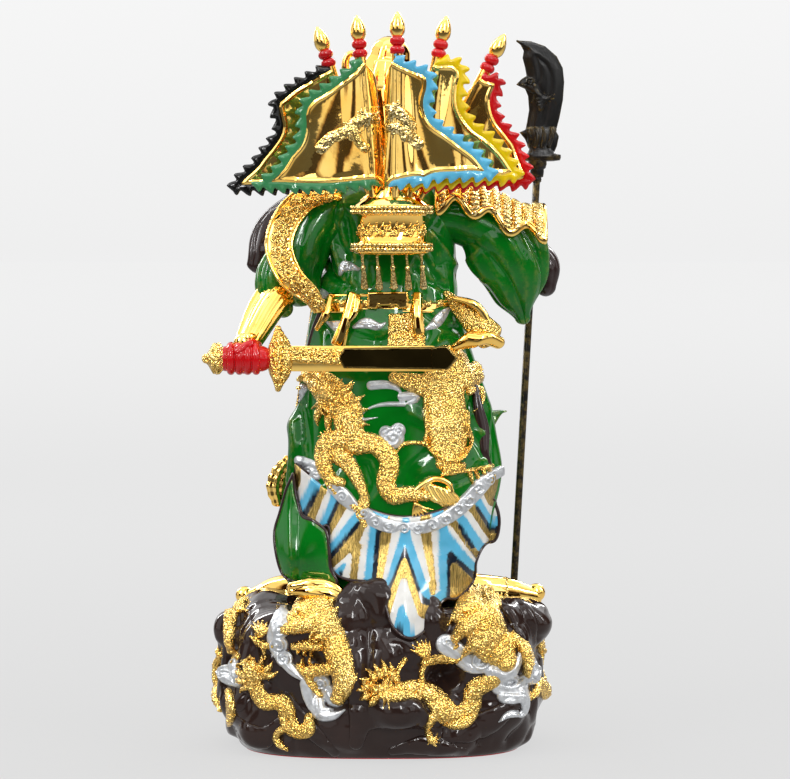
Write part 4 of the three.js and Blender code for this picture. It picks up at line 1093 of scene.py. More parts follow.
def left_corner_dragon():
    """The great dragon that looks down at the rock's left corner."""
    made = Drawing()
    made.stroke(
        [(-45.1, 99.9), (-36.2, 87.1), (-29.2, 74.2), (-25, 61.4), (-24.2, 49.8), (-27.5, 40.8)],
        [8, 10, 9.4, 8.4, 7, 5], 7.2, scales=2.9
    )
    made.stroke([(-36.2, 99.3), (-47.7, 96.7), (-57.9, 90.9)], [5.6, 6.2, 4], [8.6, 8.4, 5.6], scales=2)
    made.stroke([(-45.1, 88.4), (-54.7, 86.4), (-62, 84.3)], [5.2, 5.4, 3.8], [8.4, 7.6, 5.4])
    made.curl(-61.5, 84.5, 3.2, 6.6, 1, 2.4)
    made.curl(-40.7, 80, 6.2, 9.4, -1, 3)
    made.curl(-51.3, 92.2, 2.8, 10.6, 1, 2.4)
    made.stroke([(-38.8, 74.2), (-48.4, 74.9), (-56.7, 73.6)], [3.4, 3.6, 2.2], [8, 7.4, 5.2])
    made.stroke(
        [(-33.7, 60.1), (-41.3, 58.8), (-49, 57.5), (-53.1, 61.4)], [4.4, 4.6, 3.8, 2.2], [7.6, 7, 6, 4.4]
    )
    for place, way in zip(
        [(-52.8, 71.7), (-49, 71), (-44.5, 70.4), (-50.3, 62.6), (-45.8, 63.3)],
        ((0, -1), (0, -1), (0.1, -1), (0, 1), (0, 1))
    ):
        flame(made, place, way, 4.6, 1.5, 6.4, 0.2)
    mane(made, (-34.9, 99.9), (-20.6, 52.3), 8, (0.9, 0.65), 7.5, 2.6, 5.4, 0.5)
    fan(made, (-41.9, 101), (0, 1), 0.42, 8, 2.5, 6.4)
    made.stroke([(-46.5, 53.6), (-43.9, 48.5), (-38.8, 42)], [3.2, 3.6, 2], 5.4, scales=2)
    return made


def right_corner_dragon():
    """The great dragon that looks out from the rock's right corner."""
    made = Drawing()
    made.stroke(
        [(70, 98.6), (66.1, 88.4), (64.2, 78.1), (70, 69.1), (79, 64.6)], [8, 10, 9.6, 8.2, 6.4], 7.4,
        scales=2.9
    )
    made.stroke([(67.4, 101.9), (56.5, 99.3), (48.5, 92.2)], [5.4, 6.2, 4.2], [8.6, 8.6, 5.8], scales=2)
    made.stroke([(61.7, 90.9), (52.7, 85.2), (47, 78.7)], [5.2, 5.4, 3.6], [8.4, 7.8, 5.6])
    made.curl(47.7, 79.1, 3.2, 6.8, -1, 2.4)
    made.curl(64.2, 87.1, 6.2, 9.6, 1, 3)
    made.curl(54.4, 92.2, 2.8, 10.8, -1, 2.4)
    made.stroke([(64.9, 78.1), (57.8, 74.2), (53.1, 69.1)], [4.4, 4.2, 2.6], [8, 7.2, 5.4])
    mane(made, (66.1, 100.6), (77.7, 78.1), 7, (0.45, -1), 14, 2.7, 8.6, 0.35)
    for k in range(5):
        place = lerp((57.2, 101.9), (71.2, 101.9), k / 4)
        flame(made, place, turned((0, 1), 0.35 * (k - 2)), 7, 2.4, 6.4, 0.4)
    made.stroke([(73.2, 80.7), (76.4, 72.9), (79.6, 63.3)], [7, 8.6, 7], 7.2, scales=2.8)
    made.stroke([(84.7, 77.4), (90.5, 71.7), (93.7, 62.6), (92.4, 53.6)], [3.6, 3.8, 3.4, 1.4], 6, scales=2)
    for place in [(48.5, 74.2), (52.1, 67.8), (45.7, 90.9)]:
        flame(made, place, unit([-0.8, -0.7]), 6, 2, 5, 0.4)
    return made


def build_rock_dragons(ground):
    cell = settings().cell / MM
    gilt = Cast()
    carved = lambda marks, seed, facing=BACK, **more: carve(
        gilt, ground, marks, cell, facing, 0.34, seed=seed, **more
    )
    carved(climbing_dragon(), 10)
    carved(walking_dragon(), 11)
    carved(left_corner_dragon(), 12, sink=3)
    carved(right_corner_dragon(), 13, sink=3)
    arm = Drawing()
    arm.stroke([(-70.8, 73.6), (-77.8, 74), (-84.2, 78.7)], [2.6, 2.8, 0.8], 3.4)
    arm.stroke([(-76.5, 74), (-74.6, 64.2)], [2, 0.7], 2.8)
    arm.stroke([(-79.5, 74.9), (-81, 80)], [1.8, 0.9], 2.8)
    fan(arm, (-77.8, 80), (0.1, 1), 0.35, 9, 2, 3)
    carved(arm, 14)
    edge = Drawing()
    edge.stroke([(-97.6, 96.1), (-98.9, 87.1), (-99.5, 75.5), (-98.7, 65.2)], [5.4, 4.6, 4, 3], 4, scales=2.2)
    edge.stroke([(-93.8, 65.2), (-97.7, 57.5)], [2.2, 1], 3)
    edge.stroke([(-99.6, 39.5), (-98, 30.4), (-99.3, 17.6)], [2.4, 3.4, 1.8], 3.2, scales=2)
    fan(edge, (-98.2, 92.2), (0.5, 1), 0.5, 10, 2.4, 3.8)
    carved(edge, 31)
    left = dragon(
        [(-30, 88), (-22, 66), (-30, 46), (-12, 32), (8, 36), (26, 26)], 6.5, 4.5, 0.95, 1,
        legs=[[(-26, 60), (-40, 50), (-42, 40)], [(2, 36), (6, 52), (14, 60)]]
    )
    carved(left, 32, LEFT)
    right = dragon(
        [(34, 78), (18, 66), (22, 46), (4, 34), (-16, 42), (-34, 34)], 6, 4.2, 0.95, -1,
        legs=[[(16, 60), (0, 62), (-6, 72)]]
    )
    carved(right, 33, RIGHT)
    front = dragon(
        [(-46, 66), (-32, 46), (-8, 38), (14, 52), (36, 54), (54, 34), (68, 30)], 8, 5, 0.95, 1,
        legs=[[(-20, 40), (-28, 24), (-24, 14)], [(30, 54), (34, 70), (46, 76)]]
    )
    carved(front, 34, FRONT)
    gilt.make("rock_dragons", "gold_carved")

    silver = Cast()
    for curls, tails in (
        (
            [(-65, 84.5, 6), (-66.3, 74.2, 6.4), (-62.5, 65.2, 5.6)],
            [
                ([(-63.7, 90.9), (-67.9, 80.7), (-66.7, 69.1), (-56.7, 57.5)], 6),
                ([(-61.8, 62.6), (-56.7, 57.5), (-51.6, 53.6), (-46.5, 49.8)], 3.6)
            ]
        ),
        (
            [(-38.8, 50.8, 6.4)],
            [
                ([(-46.5, 49.1), (-44.6, 40.8), (-41.4, 34.3), (-31.1, 33.7)], 6),
                ([(-35, 45.9), (-31.1, 39.5), (-26, 38.8), (-22.8, 43.3)], 4.6),
                ([(-41.4, 39.5), (-39.5, 31.1), (-31.1, 29.8), (-23.4, 33.7)], 5),
                ([(-41.4, 30.4), (-40.1, 28.5)], 2.4)
            ]
        ),
        (
            [(42.5, 76.5, 4.6), (67.4, 77.8, 6.6), (64.3, 63.9, 8), (82.2, 49.1, 7)],
            [
                ([(41.2, 74.9), (48.9, 69.1), (57.2, 60.1), (68.8, 56.9)], 6.6),
                ([(71.3, 57.5), (80.3, 54.9), (87.9, 62.6), (89.2, 70.4)], 5.4),
                ([(76.4, 47.2), (84.1, 44.6), (91.8, 49.8), (95.6, 52.3)], 6.4),
                ([(79, 40.8), (88, 39.5), (91.8, 40.8), (94.4, 45.9)], 5),
                ([(89.9, 42), (93.4, 34.3), (90.6, 27.2), (84.8, 28.5)], 4),
                ([(86.7, 28.5), (82.9, 29.2), (79, 27.2), (75.2, 23.7)], 2.4)
            ]
        )
    ):
        carve(silver, ground, cloud(curls, tails, 2.6), cell, lift=0.8)
    front = cloud(
        [(-64, 40, 10), (-54, 34, 7), (-74, 34, 6), (66, 56, 10), (78, 50, 7), (0, 20, 8), (10, 16, 6)],
        [([(-80, 36), (-66, 30), (-50, 28), (-40, 32)], 4), ([(52, 50), (66, 46), (80, 42), (92, 46)], 4)],
    )
    carve(silver, ground, front, cell, FRONT, lift=0.6)
    for side, x in ((LEFT, 34), (RIGHT, -30)):
        puffs = cloud(
            [(x, 54, 8), (x + 9, 50, 6), (x - 8, 50, 6)],
            [([(x - 16, 50), (x, 46), (x + 10, 45), (x + 18, 48)], 3.5)]
        )
        carve(silver, ground, puffs, cell, side, lift=0.4)
    silver.make("rock_clouds", "silver_pearl")


# The robe's skirt

# From the hem to the waist: middle x, middle y, half width, half depth, height, depth of the folds
SKIRT_ROWS = [
    (-1, -2, 58, 45, 103, 0.055), (0, -2, 66, 49, 128, 0.05), (4, -2, 67, 50, 153, 0.045),
    (7.5, -2, 69, 49.5, 178, 0.045), (7, -2, 67, 47, 203, 0.04), (7, -2, 62.5, 44, 228, 0.03),
    (4.5, -1.5, 57, 41, 252, 0.025), (2.5, -1, 51, 36.5, 276, 0.02), (1, 0, 44.5, 31.5, 300, 0.01),
]
SKIRT_HEM, SKIRT_WAIST = SKIRT_ROWS[0][4], SKIRT_ROWS[-1][4]
# Soft creases on the robe's back: where each runs, its width and its depth
CREASES = [
    ([(-60.3, 249.5), (-55.2, 228.9), (-52.6, 204.3)], 2.4, -2.2),
    ([(-51.3, 254.6), (-49.4, 241.8), (-52, 227.6)], 2, -1.6),
    ([(-57.1, 234), (-52, 214.7), (-49.4, 188.8)], 2, 1.8),
    ([(58.2, 227.6), (60.1, 210.8), (66.6, 194)], 2.6, -2.4),
    ([(64, 209.5), (67.9, 199.2), (66.6, 183.7)], 2, 1.8),
    ([(47.3, 177.2), (57.6, 181.1), (66.6, 188.8)], 2.4, -1.8),
    ([(54.9, 234), (58.2, 219.8), (55, 205.6)], 1.8, 1.5),
    ([(-9.5, 188.8), (-5.6, 175.9), (-9.5, 168.2)], 2.2, -1),
    ([(-45.3, 283.8), (-37.6, 276), (-35, 265.6)], 2.2, -2),
    ([(-40.1, 289), (-27.1, 286.4), (-15.5, 291.6)], 2, -1.5),
    ([(28.7, 286.4), (39.1, 278.6), (49.5, 276)], 2.4, -2.2),
    ([(35.2, 291.6), (48.2, 286.4), (54.7, 278.6)], 2, 1.6),
    ([(-1.2, 268.2), (11.8, 273.4), (27.4, 270.8)], 2.4, -1.6),
    ([(-34.9, 286.4), (-29.8, 273.4), (-28.5, 265.6)], 1.8, 1.4),
    ([(-44, 284), (-30, 262), (-14, 250)], 5, -1.8), ([(-38, 288), (-18, 272), (6, 266)], 4, -1.5),
    ([(44, 270), (30, 258), (12, 254)], 5, -1.8), ([(-55, 232), (-50, 205), (-52, 180)], 5, -2.2),
    ([(66, 240), (58, 215), (56, 190)], 5, -2.4), ([(70, 225), (66, 205), (68, 188)], 4, 1.8),
    ([(-20, 190), (-30, 176), (-45, 172)], 4, 1.4), ([(20, 222), (34, 214), (44, 216)], 4, 1.2),
    ([(-58, 215), (-57, 195), (-60, 176)], 3.5, 2.2), ([(30, 196), (20, 188), (14, 176)], 4, -1.2)
]


def skirt_fold(angle, depth):
    """The swell of the skirt's folds, of which its back has none."""
    from_back = np.abs(np.arctan2(np.sin(angle + np.pi / 2), np.cos(angle + np.pi / 2)))
    free = smooth(from_back, 0.75, 1.5)
    return depth * free * (0.6 * np.cos(9 * angle + 0.8) + 0.4 * np.cos(14 * angle + 2.2))


def off_line(points, x, z):
    """How far places on a wall are from a line."""
    line = evenly(points, 24)
    return np.sqrt(((x[..., None] - line[:, 0]) ** 2 + (z[..., None] - line[:, 1]) ** 2).min(-1))


def skirt_point(angle, t):
    """A place on the skirt, t from the hem to the waist."""
    mx, my, wide, deep, height, folds = columns(between(SKIRT_ROWS, t))
    corner = 0.08 * bump(angle, np.pi * 1.02, 0.16) * bump(height, 213, 10)
    tucked = 0.2 * smooth(145 - height, 0, 30) * smooth(np.cos(angle), 0.4, 0.9)
    swell = 1 + skirt_fold(angle, folds) + corner - tucked
    x, y = oval(angle, wide * swell, deep * swell, 2.3)
    return at(mx + x, my + y, height)


def skirt_depth(x, height, facing=-1):
    """How deep the smooth skirt is at a place, on its back or its front."""
    t = np.clip((height - SKIRT_HEM) / (SKIRT_WAIST - SKIRT_HEM), 0, 1)
    mx, my, wide, deep = columns(between(SKIRT_ROWS, t))[:4]
    reach = np.clip(np.abs(x - mx) / wide, 0, 0.995)
    return my + facing * deep * (1 - reach**2.3) ** (1 / 2.3)


def off_skirt(x, height, off, facing=-1):
    """Points that stand off the skirt at drawn places."""
    slope_x = (skirt_depth(x + 1.5, height, facing) - skirt_depth(x - 1.5, height, facing)) / 3
    slope_z = (skirt_depth(x, height + 4, facing) - skirt_depth(x, height - 4, facing)) / 8
    normal = unit(at(-slope_x, 1, -slope_z) * facing)
    return at(x, skirt_depth(x, height, facing), height) + normal * np.asarray(off)[..., None]


PANEL_TOP = [(-56, 188), (-26, 168), (12, 155), (48, 163), (77, 184)]
# The painted stripes of the panel: x and z where each begins and ends, and its half width
STRIPES = {
    "gold": [
        (-53.9, 176.1, -55.7, 168.7, 1.3), (-38.4, 169, -44.8, 153.2, 1.3),
        (-24.9, 161.9, -33.2, 144.1, 1.9), (-11.4, 149.6, -30.7, 123.5, 2.1),
        (-15.9, 136, -17.8, 117.7, 1.9), (2.8, 143.8, -1.1, 116.4, 2.1), (14.4, 126.9, 2.8, 95, 1.9),
        (14.4, 126.9, 24.3, 96.3, 1.6), (28.2, 143.8, 31.5, 109.9, 2.1), (45.3, 121.8, 44, 97.6, 2.4),
        (45.3, 120.5, 54.9, 104.1, 3), (46, 148.3, 60.1, 124.8, 1.3), (58.8, 158, 68.4, 139, 1.6),
        (66.6, 170.9, 69.7, 162.2, 1.3),
    ],
    "white": [
        (-49.4, 175.4, -55.1, 163.5, 1.9), (-35, 167, -39.7, 153.2, 1.6),
        (-21.1, 158, -33.9, 139, 1.9), (-20.4, 129.5, -30, 121.5, 1.6),
        (-20.4, 129.5, -21, 118.3, 1.6), (-9.5, 148.3, -12.7, 118.3, 1.9), (9.2, 144.4, 2.1, 117, 1.9),
        (12.5, 115.3, 6, 87.3, 2.1), (12.5, 115.3, 21.5, 87.3, 2.1), (21.5, 143.8, 28.9, 115.7, 1.9),
        (33.7, 144.4, 34.7, 108, 1.6), (44, 146.3, 58.1, 125.4, 1.6), (55.6, 154.8, 66.5, 135.1, 1.9),
        (64, 167, 70.3, 154.5, 1.1),
    ],
    "sky_blue": [
        (-44.9, 173.5, -53.8, 155.8, 1.9), (-30.7, 166.4, -37.1, 151.2, 1.7),
        (-17.2, 154.1, -33.9, 132.5, 1.9), (-23.7, 125, -28.1, 119.6, 1.6),
        (-5.6, 149.6, -8.8, 117.7, 2), (14.8, 143.1, 4.1, 114.4, 2.4), (14.8, 143.1, 26.4, 108.6, 2.4),
        (11.2, 98.4, 7.9, 83.4, 1.6), (11.2, 98.4, 16.1, 84.7, 1.6), (38.9, 145.1, 36.3, 102.8, 2.7),
        (40.2, 145.1, 56.9, 120.9, 2.1), (52.4, 152.2, 62.6, 133.8, 1.9), (62.4, 164.4, 69.7, 150, 1.6),
    ],
    "navy": [
        (-41.7, 169.6, -49.9, 154.5, 1.3), (-27.8, 165.1, -34.5, 148, 1.1),
        (-14.6, 150.9, -33.9, 127.4, 1.3), (-26.5, 120.7, -26.2, 120.2, 1.1),
        (-2.4, 147, -4.5, 117.7, 1.1), (14.8, 136, 2.1, 106.7, 1.3), (14.8, 136, 24.7, 102.1, 1.1),
        (10.1, 88.1, 9.6, 80.8, 2.1), (41.7, 129.5, 40.1, 98.9, 1.1), (41.7, 129.5, 57.5, 114.4, 1.3),
        (49.2, 147, 59.4, 123.5, 1.3), (60.8, 158.6, 69.1, 142.9, 1.2),
    ],
}


def outside(outline, x, z):
    """How far places lie outside a closed outline; inside it the distance is negative."""
    a = np.asarray(outline, float)
    b = np.roll(a, -1, axis=0)
    ab = b - a
    px, pz = x[..., None], z[..., None]
    share = ((px - a[:, 0]) * ab[:, 0] + (pz - a[:, 1]) * ab[:, 1]) / np.maximum((ab**2).sum(1), 1e-9)
    share = np.clip(share, 0, 1)
    away = np.hypot(px - a[:, 0] - share * ab[:, 0], pz - a[:, 1] - share * ab[:, 1]).min(-1)
    crossing = (a[:, 1] > pz) != (b[:, 1] > pz)
    meet = a[:, 0] + (pz - a[:, 1]) * ab[:, 0] / np.where(np.abs(ab[:, 1]) < 1e-9, 1e-9, ab[:, 1])
    inner = (crossing & (px < meet)).sum(-1) % 2 == 1
    return np.where(inner, -away, away)


def sheet(cast, outline, skins, cell=0.6, paint=None, far_of=None):
    """A closed sheet inside an outline on a wall. skins(x, z, far) gives its two sides."""
    outline = np.asarray(outline, float)
    x, z = grid_over(outline.min(0) - 2 * cell, outline.max(0) + 2 * cell, cell)
    far = far_of(x, z) if far_of else outside(outline, x, z)
    x, z, edge, keep = trimmed(x, z, far, cell)
    front, back = skins(x, z, np.where(edge, 0, far))
    return cast.cells(front, back, keep, paint(x, z) if paint else None)


PANEL_EDGE = [
    (-52, 151), (-42, 147), (-34, 149), (-33, 138), (-33, 128), (-29, 119), (-20, 115), (-6, 114), (2, 111),
    (3, 100), (6, 89), (12, 82), (19, 80), (26, 84), (31, 93), (38, 102), (46, 102), (56, 112), (58, 124),
    (64, 134), (74, 136), (77, 146), (76, 156), (72, 164)
]


def panel_outline():
    top = evenly(PANEL_TOP, 80)[::-1]
    return np.concatenate([evenly(PANEL_EDGE, 160), [(76, 175)], top])


def panel_surface(x, z):
    """The front of the hanging striped panel, in soft flutes."""
    hang = smooth(165 - z, 0, 60)
    tongue = 24 * bump(x, 16, 30) * smooth(140 - z, 0, 50)
    flute = 1.4 * np.cos((x - 15) / 6.2) * smooth(160 - z, 0, 30)
    off = lerp(1.4, 5, hang)
    base = off_skirt(x, np.maximum(z, SKIRT_HEM + 6), off)
    return at(base[..., 0], base[..., 1] - tongue - flute, z)


def striped_paint(x, z):
    look = bpy.context.scene.statue
    best, colours = np.full(x.shape, 1e9), np.zeros(x.shape + (4,))
    for name, rows in STRIPES.items():
        flat = np.array([*getattr(look, name)[:3], 1 if name == "gold" else 0])
        for x0, z0, x1, z1, wide in rows:
            long = max((x1 - x0) ** 2 + (z1 - z0) ** 2, 1e-6)
            share = np.clip(((x - x0) * (x1 - x0) + (z - z0) * (z1 - z0)) / long, 0, 1)
            away = np.hypot(x - x0 - share * (x1 - x0), z - z0 - share * (z1 - z0)) - wide
            nearer = away < best
            best = np.where(nearer, away, best)
            colours[nearer] = flat
    return colours


CORNER_OUTLINE = [
    (-58, 181), (-62, 172), (-66, 158), (-70, 144), (-69, 130), (-65, 117), (-58, 112.5), (-40, 111),
    (-29, 113), (-33, 122), (-34, 134), (-36, 146), (-44, 152), (-52, 155), (-56, 168)
]


def corner_surface(x, z):
    fold = 2.2 * np.sin((x + 66) / 5.5) * smooth(160 - z, 0, 40)
    lean = 10 * smooth(-58 - x, 0, 14)
    down = smooth(181 - z, 0, 60)
    return at(x, skirt_depth(np.maximum(x, -54), z) - lerp(3, 9.5, down) - fold + lean, z)


def swollen(surface, soft, thick):
    """Skins of a sheet whose front swells from its edge inwards."""
    return lambda x, z, far: (
        surface(x, z) - [0, 0.7, 0] * smooth(-far, 0, soft)[..., None], surface(x, z) + [0, thick, 0]
    )


def backed(surface, rise, soft, gap, thick):
    """Skins of a lining that lies behind such a sheet and shows round its edge."""
    return lambda x, z, far: (
        surface(x, z) + [0, rise, 0] * (1 - smooth(-far, 0, soft))[..., None] + [0, gap, 0],
        surface(x, z) + [0, thick, 0],
    )


def robe_creases(points):
    """How far the robe's back is pushed in or out by its creases."""
    out = np.zeros(points.shape[:-1])
    behind = smooth(-points[..., 1], 5, 20)
    for line, wide, depth in CREASES:
        out += depth * bump(off_line(line, points[..., 0], points[..., 2]), 0, wide)
    return out * behind


def build_linings(outline):
    under = Cast()
    for edge, grown, skins in (
        (outline, 1.3, backed(panel_surface, 0.7, 1.2, 0.25, 5.5)),
        (CORNER_OUTLINE, 1.1, backed(corner_surface, 0.8, 1.4, 0.3, 10)),
    ):
        past = lambda x, z: outside(edge, x, z) - grown
        sheet(under, [np.min(edge, 0) - 2, np.max(edge, 0) + 2], skins, 0.7, far_of=past)
    strips = [
        ([(-38, 292), (-44, 275), (-49, 250), (-53, 232), (-54, 222)], 3.2, 0.82),
        ([(-55, 205), (-56, 190), (-58, 178)], 2.4, 0.82),
        ([(61, 238), (63, 224), (66, 210), (67, 196), (70, 186)], 4.4, 1.04),
        ([(66, 168), (70, 150), (60, 128), (52, 108)], 2.6, 0.82),
    ]
    for line, wide, out in strips:
        flat = evenly(line, 40)
        spine = at(flat[:, 0], skirt_depth(flat[:, 0], flat[:, 1]) * out, flat[:, 1])
        under.tube(spine, [(wide * 0.5, 1.6), (wide, 2.6), (wide * 0.5, 1.6)], 14, 50, (1, 0.3, 0))
    hem = skirt_point(np.linspace(0, 2 * np.pi, 260)[:, None], np.full((1, 1), 0.004))[:, 0]
    under.tube(hem, 1.5, 10, 300, UP, ends=(0, 0))
    line = evenly(CORNER_OUTLINE + CORNER_OUTLINE[:1], 90)
    under.tube(corner_surface(line[:, 0], line[:, 1]), 0.95, 12, 160, (0, 1, 0.1))
    under.tube(panel_surface(*evenly(PANEL_EDGE, 120).T), [(1.1, 1)] * 2, 12, 200, (0, 1, 0.1))
    under.make("robe_linings", "lining_glaze")


def build_robe():
    angle = around(300)[None]
    t = np.linspace(0, 1, 170)[:, None]
    skin = skirt_point(angle, t)
    way = unit((skin - [4, -2, 0]) * [1, 1, 0])
    wrinkles = robe_creases(skin) + 0.7 * noise(skin, 15, 2)
    skin = skin + way * wrinkles[..., None]
    robe = Cast().round(skin)
    ground = robe.ground()
    robe.make("robe", "green_glaze")

    paint = Cast()
    outline = panel_outline()
    sheet(paint, outline, swollen(panel_surface, 1.5, 2.2), 0.5, paint=striped_paint)
    paint.make("striped_panel", "striped_paint")

    build_linings(outline)

    fold = Cast()
    sheet(fold, CORNER_OUTLINE, swollen(corner_surface, 1.8, 2.6))
    fold.tube(
        [(66, -6, 213), (72, -3, 217), (78, 1, 220), (82, 3, 220.5)], [(9, 6), (6, 4), (3, 2), (0.8, 0.6)],
        20, 24
    )
    fold.make("robe_corner", "green_glaze")

    return ground


def left_robe_dragon():
    """The scaled dragon on the left of the robe's back."""
    made = Drawing()
    made.stroke(
        [
            (-23, 218.5), (-18.2, 209.5), (-17.2, 202.4), (-9.5, 203.1), (-1.1, 199.8), (5, 190.1),
            (2.8, 177.2), (7.3, 168.8), (17.6, 170.1), (29.2, 168.8)
        ],
        [7, 7.4, 7.4, 6.8, 6.8, 6.8, 6.4, 5.8, 5.2, 3.6], 4.6, scales=2.8
    )
    made.stroke(
        [(-21.1, 205.6), (-32, 204.3), (-37.2, 199.2), (-37.6, 188.8), (-33.3, 179.8), (-26.2, 177.2)],
        [6.4, 6.4, 6, 5.6, 5, 3.6], 4.2, scales=2.6
    )
    made.stroke(
        [(-27.5, 194), (-21.1, 188.8), (-15.3, 178.5), (-11, 167.5), (-13.3, 157.8), (-10.8, 150)],
        [6, 5.4, 4.4, 3.4, 5, 3], 3.8, scales=2.4
    )
    made.stroke([(-35.9, 187.6), (-33.7, 177.2), (-29.5, 170.7)], [4, 3.8, 2.4], 3.4, scales=2.2)
    made.stroke(
        [(-46.8, 246.9), (-39.1, 240.5), (-30.1, 231.4), (-22.3, 223.7), (-18.5, 214.7)],
        [6, 9.5, 11, 10, 7.4], 3.4, lace=1.6
    )
    claw(made, (-16.6, 163), (-0.5, -0.85), 4.4, 3.4)
    claw(made, (-36.5, 205.6), (-0.3, 0.95), 3.4, 3.2)
    for start, way, long in zip(
        [
            (-24.9, 235.3), (-19.8, 230.2), (-17.2, 225), (-17.2, 218.5), (-23, 216), (-28.8, 217.3),
            (-34.6, 218.5), (-40.4, 222.4)
        ],
        [(1, 0.5), (1, 0.1), (1, -0.3), (0.9, -0.7), (0.5, -1), (0.1, -1), (-0.1, -1), (-0.4, -1)],
        [9, 9, 9, 10, 13, 13, 12, 9]
    ):
        flame(made, start, unit(way), long, 2.6, 4.4, 0.6)
    dragon_head(made, (-36.2, 236), unit([-0.72, 0.7]), 8.2, 5.6, 1)
    return made


def right_robe_dragon():
    """The broad dragon on the right of the robe's back."""
    made = Drawing()
    made.stroke(
        [(42.1, 250.8), (41, 236.6), (41.4, 222.4), (42.1, 210.8), (42.7, 201.8)],
        [15, 13, 13.2, 13.4, 12.6], 4.4, scales=1.6, power=4
    )
    made.stroke([(7.9, 245), (18.9, 241.8), (31.8, 238.5)], [4, 6.4, 8], 4.2, scales=2.8)
    made.stroke([(44.6, 246.9), (57.5, 245), (66.5, 249.5), (73.6, 253.4)], [9, 8.6, 7, 4.6], 4.6, scales=2.8)
    made.stroke(
        [
            (27.9, 234), (27.6, 221.1), (28.9, 210.8), (27.9, 203.7), (33.1, 196), (40.8, 191.7),
            (49.2, 191.4), (55.2, 196.6), (57.6, 202.4), (55, 212.1), (53.7, 222.4)
        ],
        1.3, 5.2
    )
    made.stroke([(57.5, 235.3), (64, 236), (65.3, 228.2), (59.5, 221.8)], [3, 2.2, 1.6, 0.6], 3.4)
    made.stroke([(38.2, 189.5), (45.3, 186.3), (52.4, 187.6)], [3.6, 5, 2.6], 3.4, scales=2.2)
    made.stroke([(39.5, 182.4), (55, 184.3), (71.8, 186.3)], [1.4, 1.3, 1.6], 2.6)
    made.stroke([(29.2, 201.8), (21.5, 203.1), (13.7, 201.8), (9.2, 196)], [1.6, 1.5, 1.5, 0.6], 2.8)
    for k, start in enumerate([(56.9, 182.4), (61.4, 182.4), (66, 183.7), (69.8, 185)]):
        flame(made, start, unit([0.5, -1]), 9 - k, 1.5, 2.6, -0.6)
    claw(made, (72.9, 253.4), (0.8, 0.3), 3.4, 3)
    return made


def robe_tail():
    """The tufted tail between them."""
    made = Drawing()
    for k in range(11):
        t = k / 10
        start = lerp((26.4, 177.2), (45.3, 170.7), t)
        flame(
            made, start, turned(unit([0.55, -1]), 0.5 * (t - 0.5)), 19 - 5 * t, 1.9, 2.8 + 0.9 * (k % 2),
            1.1 - 1.6 * t
        )
    fan(made, (21.5, 164.3), (0.35, -1), 0.26, 12, 1.3, 2.4, 0.5)
    made.stroke(
        [(20.2, 170.7), (27.9, 177.2), (34.4, 179.8), (42.1, 177.2), (45.3, 170.7)],
        [2.4, 2.6, 2.4, 2.2, 1.6], 4
    )
    return made


def build_robe_carving(ground):
    cell = settings().cell / MM
    gilt = Cast()
    for k, marks in enumerate((left_robe_dragon(), right_robe_dragon())):
        carve(gilt, ground, marks, cell, grain=0.36, seed=40 + k)
    hanging = Drawing()
    tops, ends = [(6, 284.4), (25.5, 285.1)], [(5.3, 265.6), (26.8, 266.2)]
    for k in range(10):
        hanging.stroke([lerp(*tops, k / 9), lerp(*ends, k / 9)], 1.7, 1.3)
    carve(gilt, ground, hanging, cell)
    gilt.make("robe_dragons", "gold_carved")
    carve(Cast(), ground, robe_tail(), cell).make("robe_dragon_tail", "gold_mirror")

    silver = Cast()
    band = Drawing()
    line = [
        (-11.4, 157.8), (-4.3, 152.6), (8.6, 148.4), (21.5, 148.1), (34.4, 150.9), (47.3, 158.1),
        (57.6, 167.1), (66.6, 176.6), (77.2, 182.1)
    ]
    band.stroke(line, [4.8, 5, 5, 4.8, 4.8, 5, 5, 4.8, 3.6], 2.2, power=6)
    places = evenly(line, 11)
    for k, (x, z) in enumerate(places[:-1]):
        band.curl(x, z, 4.5, 4.1, flip(k), 2.9)
    band.stroke([(-30.8, 174), (-25, 168.8), (-18.5, 162.3)], [4.4, 5.2, 4.2], 2.2, power=6)
    band.curl(-25, 168.2, 4.4, 4.1, 1, 2.9)
    carve(silver, ground, band, cell * 0.9, lift=1)
    for points in (
        [(-35, 279.9), (-28.5, 277.9), (-22.6, 279.9), (-21.3, 282.5)],
        [(-18.1, 277.3), (-10.3, 279.9), (-2.5, 277.9), (2.1, 279.9)],
        [(28.7, 276), (35.2, 279.9), (39.8, 285.1), (45, 290.3)]
    ):
        leaf = Drawing().stroke(points, [1.2, 3.4, 3, 0.8], 0.9, lace=0.9)
        leaf.stroke([points[1], points[2]], 0.7, 1.7)
        carve(silver, ground, leaf, cell)
    for curls, tails in (
        (
            [],
            [
                ([(-6.9, 239.8), (3.4, 240.2), (10.9, 237.2), (12.7, 231.7)], 3),
                ([(13.1, 232.5), (21.5, 233.2), (21.5, 230.2), (13.5, 227.6)], 3),
                ([(14.4, 227.8), (0.9, 227.6), (-8.8, 224.7), (-13.6, 219.6)], 1.6),
                ([(-13.6, 220.9), (-12, 217.9), (-7.5, 218.5), (-2.8, 219.3)], 1.2)
            ]
        ),
        (
            [(7.3, 206.3, 7.4), (2.8, 209.5, 4.6), (10.5, 210.8, 5)],
            [([(2.1, 201.8), (6, 200.5), (7.9, 198.5)], 3)]
        ),
        (
            [(-47.5, 183.7, 5.4), (-42.3, 181.7, 3.6)],
            [([(-54.3, 189.9), (-49.4, 189.1), (-44.3, 188.2), (-39.8, 183.7)], 3.2)]
        ),
        ([(-52.2, 236.6, 2.6)], [([(-51.3, 236.9), (-55.8, 229.5), (-59, 223.1), (-61, 219.2)], 3)])
    ):
        carve(silver, ground, cloud(curls, tails, 1.7), cell)
    silver.make("robe_scrolls", "silver_pearl")


# Torso, belt and what hangs from it

